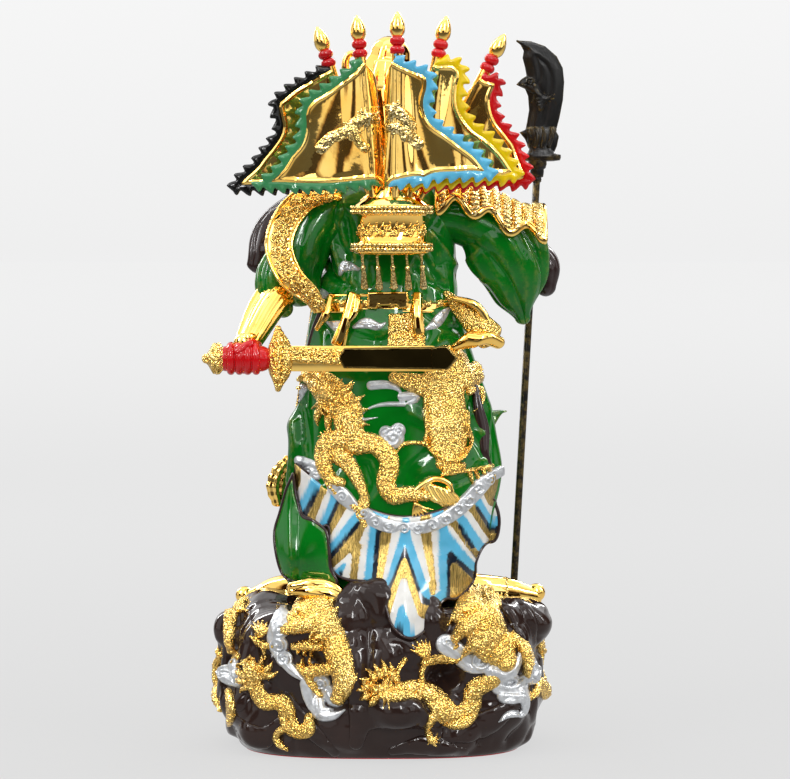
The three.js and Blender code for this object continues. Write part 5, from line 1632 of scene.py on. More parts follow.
# Upwards: middle x, middle y, half width, half depth, height
TORSO_ROWS = [
    (1, -1, 49, 36, 293), (3, -1, 46, 32.5, 303), (5, -1, 44, 30.5, 318), (5, -1, 43, 30, 335),
    (5, -1, 45, 28, 350), (4, -1, 42, 24, 362), (3, 0, 26, 19, 371), (2, 2, 13, 13, 380)
]
TORSO_CREASES = [
    ([(-45.3, 349.9), (-40.1, 330.5), (-33.6, 308.5)], 2.2, -2.6),
    ([(-37.5, 357.7), (-32.9, 335.7), (-27.1, 313.6)], 1.8, 1.8),
    ([(-32.3, 352.5), (-28.4, 333.1), (-21.3, 320.1)], 2, -2.2),
    ([(-24.5, 346.1), (-21.9, 326.6), (-23.2, 302)], 2, -1.8),
    ([(-40.1, 313.6), (-29.7, 307.2), (-19.3, 302)], 2, -2),
    ([(27.4, 346.1), (31.3, 330.5), (37.8, 317.5)], 2.2, -2.4),
    ([(26.1, 326.6), (33.9, 314.9), (41.7, 302)], 2, -2.2),
    ([(32.6, 338.3), (41.7, 326.6), (50.8, 314.9)], 1.8, 1.6),
    ([(22.2, 314.9), (30, 307.2), (39.1, 304.6)], 1.8, -1.8),
    ([(-5, 317.5), (-3.8, 308.5), (-6.4, 302)], 1.8, -1.2), *CREASES[:14],
    ([(-34, 360), (-22, 340), (-24, 318)], 4, -1.6), ([(40, 352), (28, 332), (30, 310)], 4, -1.6),
    ([(-40, 330), (-30, 312), (-34, 298)], 4, -1.4), ([(44, 322), (36, 308), (40, 297)], 4, -1.6),
    ([(-14, 322), (-16, 308), (-12, 298)], 3, -1), ([(24, 318), (20, 306), (22, 298)], 3, -1)
]
DRUM = (6.5, -43)
DRUM_ROWS = [
    (0.5, 323.6), (0.9, 324), (1.06, 325.5), (1.1, 327), (1.1, 331), (1.04, 332.3), (0.97, 333),
    (0.97, 341), (0.97, 349), (1.04, 349.7), (1.1, 351), (1.1, 355), (1.02, 356.6), (0.9, 358.5),
    (0.8, 361), (0.3, 361.4)
]


def drum_ring(share, height, count=120, out=0.0):
    angle = around(count)
    x, y = oval(angle, 23 * share + out, 15.5 * share + out, 2.6)
    return at(DRUM[0] + x, DRUM[1] + y, height)


def build_torso():
    t, angle = np.linspace(0, 1, 90)[:, None], around(200)[None]
    mx, my, wide, deep, height = columns(between(TORSO_ROWS, t))
    x, y = oval(angle, wide, deep, 2.4)
    skin = at(mx + x, my + y, height)
    way = unit((skin - [4, -1, 0]) * [1, 1, 0])
    out = 0.9 * noise(skin, 11, 5)
    for line, width, depth in TORSO_CREASES:
        out = out + depth * bump(off_line(line, skin[..., 0], skin[..., 2]), 0, width)
    cloth = Cast().round(skin + way * out[..., None])
    ground = cloth.ground()
    cloth.make("upper_robe", "green_glaze")
    silver = Cast()
    for points in (
        [(-27.1, 311.7), (-23.9, 316.9), (-15.4, 314.9)], [(-45.3, 296.8), (-40.1, 298.7), (-33.6, 296.8)]
    ):
        marks = Drawing().stroke(points, [1.4, 3.2, 1.4], 0.9, lace=0.8)
        marks.curl(*points[1], 3.6, 1.6, 1, 2.4)
        carve(silver, ground, marks, settings().cell / MM)
    silver.make("upper_robe_leaves", "silver_pearl")


# The height of the belt's middle
BELT_Z = 292.5


def belt_ring(height, out):
    bulge = 4 * bump(height, BELT_Z, 5)
    x, y = oval(around(150), 45 + bulge + out, 32 + bulge + out, 2.4)
    return at(1 + x, y - 0.5, height)


def build_belt():
    gilt = Cast()
    rows = [
        (285.8, -1), (286, 0.4), (286.8, 1), (287.8, 0.6), (288.2, -0.3), (292.5, 0.1), (296.8, -0.3),
        (297.2, 0.6), (298.2, 1), (299, 0.4), (299.3, -1)
    ]
    gilt.round(np.stack([belt_ring(z, out) for z, out in rows]))
    gilt.make("belt", "gold_mirror")
    ground = gilt.ground()
    lace = Drawing()
    for k in range(-42, 44, 8):
        lace.curl(k, BELT_Z, 2.6, 1.3, 1 if k % 16 else -1, 1.8)
        lace.stroke([(k, BELT_Z), (k + 4, 294.8), (k + 8, BELT_Z)], 0.7, 1.1)
    carved = Cast()
    for facing in (BACK, FRONT):
        carve(carved, ground, lace, 0.45, facing, grain=0.1)
    carved.tube(
        [(42, -20, 298), (52, -23, 289), (62, -27, 279), (70, -28, 271)],
        [(3, 4), (6.5, 5.5), (8.5, 6), (9.5, 5.5)], 40, 50, swell=ribbed(9, 0.05)
    )
    carved.make("belt_carving", "gold_carved")

    gilt = Cast()
    gilt.tube(
        [(47, -31, 264), (58, -33, 269), (68, -31, 270), (76, -27, 267)],
        [(2.6, 2.4), (5.4, 4), (5.8, 4.6), (4.6, 4)], 30, 40
    )
    gilt.tube(
        [(46, -26, 296), (60, -30, 292), (68, -29, 282), (70, -28, 272)],
        [(2, 1.8), (2.6, 2.2), (2.8, 2.2), (2.2, 2)], 20, 40
    )
    for line, girths in (
        ([(-19, -33, 298), (-23, -38.5, 283), (-28, -39, 266)], [(3.4, 2.4), (3, 2.2), (4.6, 2.2)]),
        ([(23, -32, 298), (23, -38, 286), (24, -39.5, 274)], [(3.6, 2.4), (3.2, 2.2), (3.6, 2.2)]),
        ([(-16, -34, 297), (-17, -38, 288), (-22, -39, 280)], [(2.4, 2), (2.2, 1.8), (1.2, 1.2)]),
        ([(-33, -28, 297), (-36, -34, 286), (-42, -33, 276)], [(2.4, 2), (2.6, 2), (1.6, 1.4)]),
    ):
        gilt.tube(line, girths, 24, 30, swell=ribbed(6, 0.08))
    gilt.make("belt_ends", "gold_mirror")
    plate = Cast()
    middle = [
        (-9.2, 300.1), (16.8, 300.4), (17.3, 290), (11.3, 289), (9.9, 291.3), (-2.5, 291.1), (-3.8, 288.7),
        (-9.7, 289.8)
    ]
    skins = lambda x, z, far: (at(x, -36.8 - 0.8 * smooth(-far, 0, 0.7), z), at(x, -33 + 0 * x, z))
    sheet(plate, middle, skins, 0.5)
    plate.make("belt_plate", "gold_mirror")


def node_tree(name, inputs):
    """A geometry node group with a geometry input, then numbers and one material."""
    tree = bpy.data.node_groups.new(name, "GeometryNodeTree")
    tree.interface.new_socket(name="Geometry", in_out="INPUT", socket_type="NodeSocketGeometry")
    for label, kind, default in inputs:
        tree.interface.new_socket(name=label, in_out="INPUT", socket_type=kind).default_value = default
    tree.interface.new_socket(name="Material", in_out="INPUT", socket_type="NodeSocketMaterial")
    tree.interface.new_socket(name="Geometry", in_out="OUTPUT", socket_type="NodeSocketGeometry")
    return tree, tree.nodes.new("NodeGroupInput").outputs, tree.nodes.new("NodeGroupOutput").inputs


def finish_tree(tree, start, end, item, **placing):
    """Puts the item on each point, realizes the copies and sets the material."""
    copies = put(
        tree, "GeometryNodeInstanceOnPoints", {"Points": start["Geometry"], "Instance": item, **placing}
    )
    real = put(tree, "GeometryNodeRealizeInstances", {"Geometry": copies.outputs[0]})
    done = put(tree, "GeometryNodeSetMaterial", {"Geometry": real.outputs[0], "Material": start["Material"]})
    tree.links.new(done.outputs[0], end["Geometry"])


def bead_tree():
    tree, start, end = node_tree("Beads on points", [("Bead radius", "NodeSocketFloat", 0.0015)])
    ball = put(tree, "GeometryNodeMeshIcoSphere", {"Radius": start["Bead radius"], "Subdivisions": 2})
    smooth_ball = put(tree, "GeometryNodeSetShadeSmooth", {"Geometry": ball.outputs["Mesh"]})
    finish_tree(tree, start, end, smooth_ball.outputs[0])
    return tree


def scale_tree():
    """Overlapping scales: the points carry the ways that each scale looks and hangs."""
    if "Scales on points" in bpy.data.node_groups:
        return bpy.data.node_groups["Scales on points"]
    sizes = [
        ("Wide", "NodeSocketFloat", 0.003), ("Long", "NodeSocketFloat", 0.004),
        ("Thick", "NodeSocketFloat", 0.0012)
    ]
    tree, start, end = node_tree("Scales on points", sizes)
    ball = put(tree, "GeometryNodeMeshUVSphere", {"Segments": 12, "Rings": 6, "Radius": 1})
    shape = put(tree, "ShaderNodeCombineXYZ", {0: start["Long"], 1: start["Wide"], 2: start["Thick"]})
    sized = put(tree, "GeometryNodeTransform", {"Geometry": ball.outputs["Mesh"], "Scale": shape.outputs[0]})
    ways = [
        put(tree, "GeometryNodeInputNamedAttribute", {"Name": name}, data_type="FLOAT_VECTOR").outputs[0]
        for name in ("looks", "hangs")
    ]
    turn = put(
        tree, "FunctionNodeAxesToRotation", {"Primary Axis": ways[0], "Secondary Axis": ways[1]},
        primary_axis="Z", secondary_axis="X"
    )
    smooth_scale = put(tree, "GeometryNodeSetShadeSmooth", {"Geometry": sized.outputs[0]})
    finish_tree(tree, start, end, smooth_scale.outputs[0], Rotation=turn.outputs[0])
    return tree


def grown_on(points, tree, values, material, name, ways=None):
    """A piece made by a node group on points, turned into a plain mesh."""
    mesh = bpy.data.meshes.new(name)
    mesh.from_pydata((points.reshape(-1, 3) * MM).tolist(), [], [])
    for label, rows in (ways or {}).items():
        layer = mesh.attributes.new(label, "FLOAT_VECTOR", "POINT")
        layer.data.foreach_set("vector", rows.reshape(-1, 3).astype(np.float32).ravel())
    piece = placed(name, mesh)
    modifier = piece.modifiers.new("grow", "NODES")
    modifier.node_group = tree
    sockets = {item.name: item.identifier for item in tree.interface.items_tree if item.in_out == "INPUT"}
    for label, value in {**values, "Material": bpy.data.materials[material]}.items():
        modifier[sockets[label]] = value
    bpy.context.view_layer.update()
    shape = worked_out(piece)
    piece.modifiers.remove(modifier)
    piece.data = shape
    bpy.data.meshes.remove(mesh)
    shape.name = name
    if not shape.polygons:
        raise RuntimeError("nothing grew for " + name)
    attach(piece, "root")
    return piece


def scale_place(here, below, beside, outward, lean):
    """Where a scale sits, and the ways that it looks and hangs."""
    normal = unit(np.cross(below - here, beside - here))
    normal = normal * np.sign((outward * normal).sum())
    hang = unit(below - here)
    return here, unit(normal + lean * hang), hang


def grow_scales(places, sizes, material, name):
    points, looks, hangs = (np.array(column) for column in zip(*places))
    values = dict(zip(("Wide", "Long", "Thick"), sizes))
    grown_on(points, scale_tree(), values, material, name, {"looks": looks, "hangs": hangs})


def build_drum():
    gilt = Cast()
    gilt.round(np.stack([drum_ring(share, z) for share, z in DRUM_ROWS]))
    ribs = lambda a, t: 1 + 0.07 * np.cos(12 * a) * (1 - t)
    gilt.tube(
        [(6, -41, 358), (6, -40, 364), (5, -38, 374), (4, -35, 386)],
        [(19, 11), (12, 9), (7, 6), (3.6, 3.4)], 72, 40, swell=ribs
    )
    gilt.make("drum", "gold_mirror")
    ground = gilt.ground()
    lace = Drawing()
    for k, x in enumerate(np.arange(-14, 29, 4.4)):
        lace.curl(x, 339.6 + 1.6 * (-1) ** k, 2.3, 1.5, flip(k), 1.6)
        lace.stroke([(x - 2, 336.5), (x, 341), (x + 2.4, 345)], [0.8, 0.6, 0.3], 1.3)
        lace.stroke([(x + 1, 336), (x + 2.5, 339), (x + 1.5, 345.5)], [0.5, 0.7, 0.3], 1.1)
    carved = Cast()
    for facing in (BACK, FRONT):
        carve(carved, ground, lace, 0.42, facing, grain=0.12)
    carved.make("drum_lace", "gold_carved")
    beads = []
    for z in (327.6, 330.4, 351.6, 354.4):
        ring = drum_ring(1.1, z, 200, 0.4)
        beads.append(evenly(np.concatenate([ring, ring[:1]]), 58)[:-1])
    grown_on(np.concatenate(beads), bead_tree(), {"Bead radius": settings().bead}, "gold_pale", "drum_beads")
    fringe = Cast()
    for k in range(5):
        x = DRUM[0] - 19 + 9.5 * k
        top, low = np.array([x, -53.5 + 1.2 * abs(k - 2), 325]), np.array(
            [x + 1.5, -46, 303.5 - 0.6 * (k % 2)]
        )
        fringe.tube(
            [top, lerp(top, low, 0.5), low], [(1, 1), (0.9, 0.9), (1.5, 1.4), (2.1, 1.8)], 40, 30,
            swell=lambda a, t: 1 + 0.14 * np.cos(10 * a) * smooth(t, 0.3, 0.5)
        )
        fringe.dome(lerp(top, low, 0.42), (1.8, 1.7, 1.9), 18)
        fringe.dome(top + [0, 0, 0.5], (2.3, 2.2, 2.2), 18)
    fringe.make("drum_tassels", "gold_pale")


# Head

HEAD_X = 2


def beside_head(side, points):
    """Points that are given outwards from the head's middle, on its left or right side."""
    return np.array(points, float) * [side, 1, 1] + [HEAD_X, 0, 0]


def head_skin():
    up = np.linspace(0.05, np.pi - 0.05, 120)[:, None]
    angle = around(160)[None]
    x, y, z = 19 * np.sin(up) * np.cos(angle), 21 * np.sin(up) * np.sin(angle), 24 * np.cos(up) + 0 * angle
    jaw = 1 - 0.2 * smooth(-z, 4, 22)
    x = x * jaw
    side = np.abs(x)
    face = smooth(y, 2, 10)
    out = 5.6 * bump(
        x, 0, lerp(2.2, 3.4, smooth(-z, -6, 4))
    ) * smooth(z, -6.5, -3.5) * (1 - smooth(z, -4, 12))
    out += 1.6 * bump(side, 3.2, 1.7) * bump(z, -3.6, 2)
    out += 1.3 * bump(z, 9.5, 2.2) * bump(side, 7, 6) - 2.4 * bump(side, 7.6, 4.4) * bump(z, 4.8, 3)
    out += 1.3 * bump(side, 10.5, 4) * bump(z, -3, 4.5) + 1.6 * bump(x, 0, 5) * bump(z, -18.5, 4)
    out += 1.2 * bump(x, 0, 5.5) * bump(z, -11, 2.6) - 0.7 * bump(x, 0, 1) * bump(z, -8, 1.4)
    return at(x + 2, y + 8 + out * face, z + 404)


def build_face():
    skin = Cast().round(head_skin())
    skin.tube([(2, 2, 368), (2, 4, 380), (2, 6, 392)], [(13, 13), (11.5, 12), (13, 13)], 40, 20)
    for side in (-1, 1):
        skin.dome(beside_head(side, (19, 6, 403)), (2.6, 4.6, 7.6), 22)
        skin.dome(beside_head(side, (19.4, 7, 396.5)), (2.1, 2.4, 3.4), 18)
        skin.tube(
            beside_head(side, [(3, 26.6, 408.3), (7.6, 26.8, 410.2), (12.4, 23.6, 408.6)]),
            [(0.5, 0.9), (1.5, 1.5), (0.6, 0.8)], 18, 24, UP
        )
        skin.tube(
            beside_head(side, [(3.4, 27.2, 407.2), (7.6, 27.4, 406), (12, 23.9, 407.2)]),
            [(0.4, 0.6), (0.9, 1), (0.4, 0.6)], 18, 24, UP
        )
    skin.make("face", "red_glaze")
    whites = Cast()
    for side in (-1, 1):
        whites.dome(beside_head(side, (7.6, 24.4, 408.1)), (4, 3.2, 2.2), 24)
    whites.make("eye_whites", "white_glaze")
    dark = Cast()
    for side in (-1, 1):
        dark.dome(beside_head(side, (7.4, 26.6, 407.9)), (1.6, 1.2, 1.7), 20)
        dark.tube(
            beside_head(side, [(2.8, 29, 412), (8, 28.4, 415), (14.4, 22.6, 414.2)]),
            [(0.9, 0.7), (1.5, 0.9), (0.3, 0.4)], 16, 24, UP
        )
        dark.tube(
            beside_head(side, [(0.6, 31, 396.2), (7, 30, 394.4), (13, 26, 388), (15, 26, 378)]),
            [(0.8, 0.8), (1.9, 1.4), (1.6, 1.2), (0.4, 0.4)], 20, 36, UP, swell=ribbed(6, 0.12)
        )
    locks = [
        (-11, 24, 356), (-8, 33, 336), (-4, 36, 327), (0, 37, 322), (4, 36, 327), (8, 33, 336),
        (11, 24, 356)
    ]
    for k, (x, y, low) in enumerate(locks):
        sway = 1.8 * (-1) ** k
        line = [
            (2 + 0.95 * x, 18 + 0.3 * y, 396 - 0.3 * abs(x)), (2 + 1.15 * x, y - 4, 378),
            (2 + 1.2 * x + sway, y + 2, 0.5 * (378 + low)), (2 + 0.9 * x - 0.5 * sway, y + 1, low)
        ]
        dark.tube(
            line, [(4.2, 4), (5.2, 4.4), (4.4, 3.6), (0.5, 0.5)], 40, 60, swell=lambda a,
            t: 1 + 0.1 * np.cos(8 * a + 3 * t)
        )
    for side in (-1, 1):
        dark.tube(
            beside_head(side, [(16, 12, 404), (15.5, 17, 392), (12, 23, 382)]),
            [(2.2, 3.4), (3.4, 4.2), (3.6, 3.6)], 24, 30
        )
    dark.tube([(2, 27.4, 386.2), (2, 29.4, 381), (2, 31, 374)], [(3, 2), (4, 3), (1.4, 1.2)], 24, 24)
    dark.make("beard", "black_glaze", sharp=60)
    lips = Cast()
    lips.tube(
        [(-3.6, 27.6, 391.2), (0, 29.4, 392.3), (2, 29.3, 391.8), (4, 29.4, 392.3), (7.6, 27.6, 391.2)],
        [(0.3, 0.4), (1, 1), (0.9, 0.9), (1, 1), (0.3, 0.4)], 16, 40, UP
    )
    lips.tube(
        [(-2.4, 27.6, 390.6), (2, 29.2, 389.3), (6.4, 27.6, 390.6)], [(0.3, 0.4), (1.3, 1.2), (0.3, 0.4)],
        16, 40, UP
    )
    lips.make("lips", "red_glaze")


def build_cap():
    cap = Cast()
    pleats = lambda a, t: 1 + 0.035 * np.cos(7 * a + 1) * smooth(t, 0.15, 0.5) + 0.02 * np.cos(3 * a - 6 * t)
    cap.tube(
        [(2, 2, 408), (2, 1, 420), (3, 0, 434), (4, -2, 448), (5, -3, 455)],
        [(24, 23.5), (25.5, 25.5), (25.2, 25), (21, 20.5), (13, 12.5)], 120, 70, power=2.2, swell=pleats
    )
    band = around(160)
    for z, out in ((411, 25.6), (419.5, 26.8)):
        x, y = oval(band, out, out, 2.2)
        cap.tube(at(2 + x, 1.4 + y, z), 1.1, 10, 200, UP, ends=(0, 0))
    cap.tube(
        [(-19, -4, 440), (-24, -4, 447), (-22, -4, 455), (-16, -4, 455), (-13, -4, 447)],
        [(2.2, 2.4), (2.6, 2.6), (2.4, 2.2), (2, 2), (2, 2)], 20, 40, (0, 1, 0)
    )
    cap.tube(
        [(2, -19, 449), (1, -25.5, 432), (2, -28, 415), (2.5, -31, 400), (3, -32, 386)],
        [(7, 2.6), (9.6, 2.8), (8.4, 2.8), (5, 2.6), (1.4, 1.6)], 48, 70, swell=lambda a,
        t: 1 + 0.1 * bump(np.abs(np.cos(a)), 0, 0.12)
    )
    cap.dome((2, -13, 401), (22, 16, 20), 40)
    cap.make("cap", "gold_mirror")
    front = Cast()
    crown = Drawing()
    for side in (-1, 1):
        crown.stroke([(side * 2, 414), (side * 10, 418), (side * 18, 415)], [2.4, 3.2, 1.4], 2.6, lace=0.6)
        crown.curl(side * 11, 426, 4.6, 2.6, side, 2.4)
        flame(crown, (side * 3, 424), unit([side * 0.5, 1]), 14, 2.6, 2.8, -side)
        flame(crown, (side * 14, 420), unit([side * 0.9, 0.8]), 10, 2, 2.2, -side)
    crown.stroke([(0, 414), (0, 430)], [3.4, 1.6], 3.4)
    crown.curl(0, 432, 4.6, 4.2, 1, 3)
    carve(front, cap.ground(), crown, 0.5, FRONT, grain=0.12, sink=2)
    front.tube(
        [(-20, 19, 416.5), (-9, 26.4, 418), (2, 29, 420), (13, 26.4, 418), (24, 19, 416.5)],
        [(2.2, 1.6), (3.2, 2.2), (4.4, 2.6), (3.2, 2.2), (2.2, 1.6)], 24, 60, UP
    )
    front.make("cap_front", "gold_carved")
    jewel = Cast().dome((2, 31.6, 430), (3.4, 2.6, 3.8), 28)
    jewel.make("cap_jewel", "red_glaze")


# Arms

# The sword's middle line, and where its grip begins
SWORD_Y, SWORD_Z, SWORD_END = -57, 257.6, -102.5


def on_sword(x, up=0.0):
    """A place on the sword's middle line, or above it."""
    return x, SWORD_Y, SWORD_Z + up


def fingers(cast, middle, along, out, reach, girth, thick=2.7):
    """A closed hand's fingers round a bar that runs along the given way."""
    along, out = unit(along), unit(out)
    deep = np.cross(along, out)
    for k in range(4):
        centre = np.array(middle, float) + along * reach * (k - 1.5)
        turn = np.linspace(-0.4, 1.35, 9) * np.pi
        ring = centre + (out * np.cos(turn)[:, None] + deep * np.sin(turn)[:, None]) * girth
        cast.tube(
            ring,
            [
                (thick * 0.85, thick * 0.9), (thick, thick), (thick, thick * 0.95),
                (thick * 0.8, thick * 0.8)
            ],
            18, 36, along
        )


def build_left_arm():
    cell = settings().cell / MM
    sleeve = Cast()
    sleeve.tube(
        [(-26, -2, 354), (-40, -6, 350), (-51, -11, 334), (-55, -15, 318), (-54, -17, 304)],
        [(20, 20), (21, 20), (19.5, 19.5), (18.5, 18), (14, 14)], 90, 70, swell=folds(7, 0.035, 3)
    )
    sleeve.tube(
        [(-58, -13, 326), (-68, -19, 310), (-70, -21, 299), (-64, -22, 289)],
        [(13, 13), (15, 13), (12, 11), (6, 6)], 80, 50, swell=folds(8, 0.06, 2, 1)
    )
    sleeve.make("left_sleeve", "green_glaze")
    line = [
        (-28, -17, 363), (-40, -19.5, 363.5), (-52, -23, 359), (-63, -28, 345), (-66.5, -31.5, 328),
        (-59, -36, 310), (-47, -36.5, 299), (-40, -34, 289)
    ]
    girths = [(6, 2.6), (8, 3), (8.8, 3.2), (9, 3.4), (9, 3.4), (8.4, 3.2), (7, 3), (4.4, 2.4)]
    border = Cast().tube(line, girths, 40, 120, (1, -0.2, -0.35), power=2.8)
    ground = border.ground()
    border.make("left_sleeve_border", "gold_mirror")
    flat = [(p[0], p[2]) for p in line]
    lace = Drawing()
    places = evenly(flat, 26)
    for k, (x, z) in enumerate(places[1:-1]):
        step = unit(places[k + 2] - places[k])
        aside = np.array([-step[1], step[0]]) * 3.4 * flip(k)
        lace.curl(x + aside[0], z + aside[1], 3, 2, flip(k), 2.2)
        for turn_by in (0.5, 1.2, -0.7):
            flame(
                lace, (x - 0.4 * aside[0], z - 0.4 * aside[1]), turned(step, turn_by * (-1) ** k), 5.6, 1.7,
                2, 1
            )
    wide = np.array([5.4, 7.2, 7.9, 8.2, 8.2, 7.6, 6.2, 3.8])
    path = evenly(flat, 60)
    side = np.stack([-np.gradient(path[:, 1]), np.gradient(path[:, 0])], 1)
    side = unit(side)
    span = np.interp(np.linspace(0, 1, 61), np.linspace(0, 1, 8), wide)[:, None]
    rims = Drawing()
    for way in (-1, 1):
        rims.stroke(path + side * span * way, 1.1, 1.7)
    carve(Cast(), ground, rims, cell).make("left_border_rims", "gold_mirror")
    carved = Cast()
    carve(carved, ground, lace, cell * 0.9, grain=0.14)
    carved.make("left_border_lace", "gold_carved")

    lining = Cast()
    lining.tube(
        [(-58, 6, 362), (-67, 8, 350), (-74, 4, 338), (-77, -2, 326), (-80, -4, 316)],
        [(4, 5), (8, 7), (10.5, 8), (11, 7), (9, 5)], 70, 60, power=3, swell=folds(5, 0.07, 2)
    )
    lining.make("left_sleeve_lining", "lining_glaze")

    arm = Cast()
    ribs = lambda a, t: 1 + 0.045 * np.cos(17 * a + 1.5 * t) + 0.03 * np.cos(5 * a - 4 * t)
    arm.tube(
        [(-64, -22, 301), (-74, -32, 288), (-82, -43, 274), (-88, -52, 263)],
        [(9.5, 9.5), (9.6, 9.4), (8.4, 8.4), (7, 7)], 60, 160, swell=ribs
    )
    arm.dome((-89, -53, 268), (6.2, 6, 6), 28)
    arm.make("left_forearm", "gold_mirror")
    strip = Cast()
    strip.tube(
        [(-74, -20, 305), (-83, -30, 289), (-90, -42, 273), (-92, -48, 266)],
        [(5, 3), (5.4, 3), (4.2, 2.6), (3.2, 2.2)], 32, 60
    )
    strip.tube(
        [(-80, -47, 270), (-86, -55, 271), (-94, -52, 265)], [(2.4, 2.6), (3.2, 3), (2.4, 2.6)], 24, 30, UP
    )
    strip.make("left_forearm_strip", "gold_mirror")

    fist = Cast()
    fist.tube(
        [on_sword(-99), on_sword(-89, 0.4), on_sword(-78)], [(8.2, 8.2), (10.2, 10), (8.4, 8.4)], 40, 40, UP
    )
    fingers(fist, on_sword(-88.6), (1, 0, 0), (0, 0.2, 1), 5.4, 8.2)
    fist.tube([(-80, -50, 266), (-84, -60, 267), (-92, -65, 262)], [(3, 3), (3.2, 3), (2.4, 2.4)], 24, 30, UP)
    fist.make("left_fist", "red_glaze")


HALBERD_Y = 20.0


def pole_at(z):
    """The middle of the halberd's pole at a height."""
    return at(lerp(87.4, 103.1, (np.asarray(z, float) - 90) / 290), HALBERD_Y, z)


def cape_point(u, v, out):
    """A place on the shoulder cape, u along the arm and v round it."""
    spine = at(lerp(36, 106, u), -4, lerp(354, 329, smooth(u, 0.1, 1)))
    scallop = 0.2 * np.cos(u * 6 * np.pi)
    turn = (2 * v - 1) * (1.45 + scallop - 0.25 * u)
    girth = lerp(22.5, 24, u) + 3 * bump(u, 1, 0.12) + out
    return spine + at(0 * turn, -np.sin(turn) * girth, np.cos(turn) * girth)


def build_right_arm():
    cloth = Cast()
    cloth.tube(
        [(34, -2, 353), (50, -4, 350), (64, -5, 344), (74, -6, 338)],
        [(19, 19), (18.5, 18), (18.5, 18), (17, 17)], 90, 50, (0, 1, 0), swell=folds(6, 0.03, 3)
    )
    line = [(64, -4, 346), (74, -5, 337), (82, -6, 325), (87, -5, 311), (89.5, -3, 296), (93, 0, 283)]
    creased = folds(5, 0.12, 5.2, 0.6)
    drape = lambda a, t: 1 + (creased(a, t) - 1) * (
        0.4 + 0.6 * smooth(t, 0.05, 0.5)
    ) + 0.012 * np.cos(17 * a + 5 * t)
    cloth.tube(line, [(19, 16), (25, 18.5), (25.5, 18.5), (22, 17), (15, 13), (5, 5)], 140, 110, swell=drape)
    cloth.make("right_sleeve", "green_glaze")
    lining = Cast()
    lining.tube(
        [(98, 8, 327), (104, 11, 324), (109, 12, 316), (108.5, 10, 303)],
        [(7, 8), (9, 11), (8.4, 11), (6.6, 8)], 60, 50, swell=folds(5, 0.07, 2)
    )
    lining.make("right_sleeve_lining", "lining_glaze")
    under = Cast()
    under.tube(
        [(82, 0, 328), (90, 8, 322), (94, 13, 316)], [(11, 11), (10.4, 10.4), (8.6, 8.6)], 50, 60,
        swell=lambda a, t: 1 + 0.03 * np.cos(30 * np.pi * t)
    )
    under.make("right_forearm", "gold_carved")
    fist = Cast()
    low, top = pole_at(303), pole_at(319)
    fist.tube([low, lerp(low, top, 0.5), top], [(8, 8.2), (10, 10), (8, 8.2)], 40, 40)
    fingers(fist, lerp(low, top, 0.5), (top - low), (-0.4, 1, 0), 4.6, 8.4, thick=2.4)
    fist.tube([(94, 12, 316), (96, 14, 322), (100, 16, 323)], [(4, 4), (3.4, 3.4), (2.6, 2.6)], 24, 24)
    fist.make("right_fist", "red_glaze")

    plate = Cast()
    u, v = np.meshgrid(np.linspace(0, 1, 120), np.linspace(0, 1, 120))
    plate.slab(cape_point(u, v, 1.2), cape_point(u, v, -1.6))
    for edge in (0, 1):
        line = cape_point(np.linspace(0, 1, 80), np.full(80, edge), 0.6)
        plate.tube(line, [(2.9, 1.7)] * 2, 16, 120, UP)
        line = cape_point(np.full(60, edge), np.linspace(0, 1, 60), 0.6)
        plate.tube(line, [(1.8, 1.5)] * 2, 16, 100, (1, 0, 0))
    plate.make("cape", "gold_mirror")
    rows, count = settings().scale_rows, 22
    places = []
    for k in range(rows):
        u = (k + 0.6) / rows
        for j in range(count):
            v = (j + 0.5 + 0.5 * (k % 2)) / (count + 0.5)
            here, ahead, beside = (
                cape_point(np.array(a), np.array(b), 1.3) for a, b in ((u, v), (u + 0.01, v), (u, v + 0.01))
            )
            outward = here - cape_point(np.array(u), np.array(v), -10)
            places.append(scale_place(here, ahead, beside, outward, 0.28))
    grow_scales(places, (0.0021, 0.0046, 0.0014), "gold_pale", "cape_scales")


# Boots, hip plate and the front


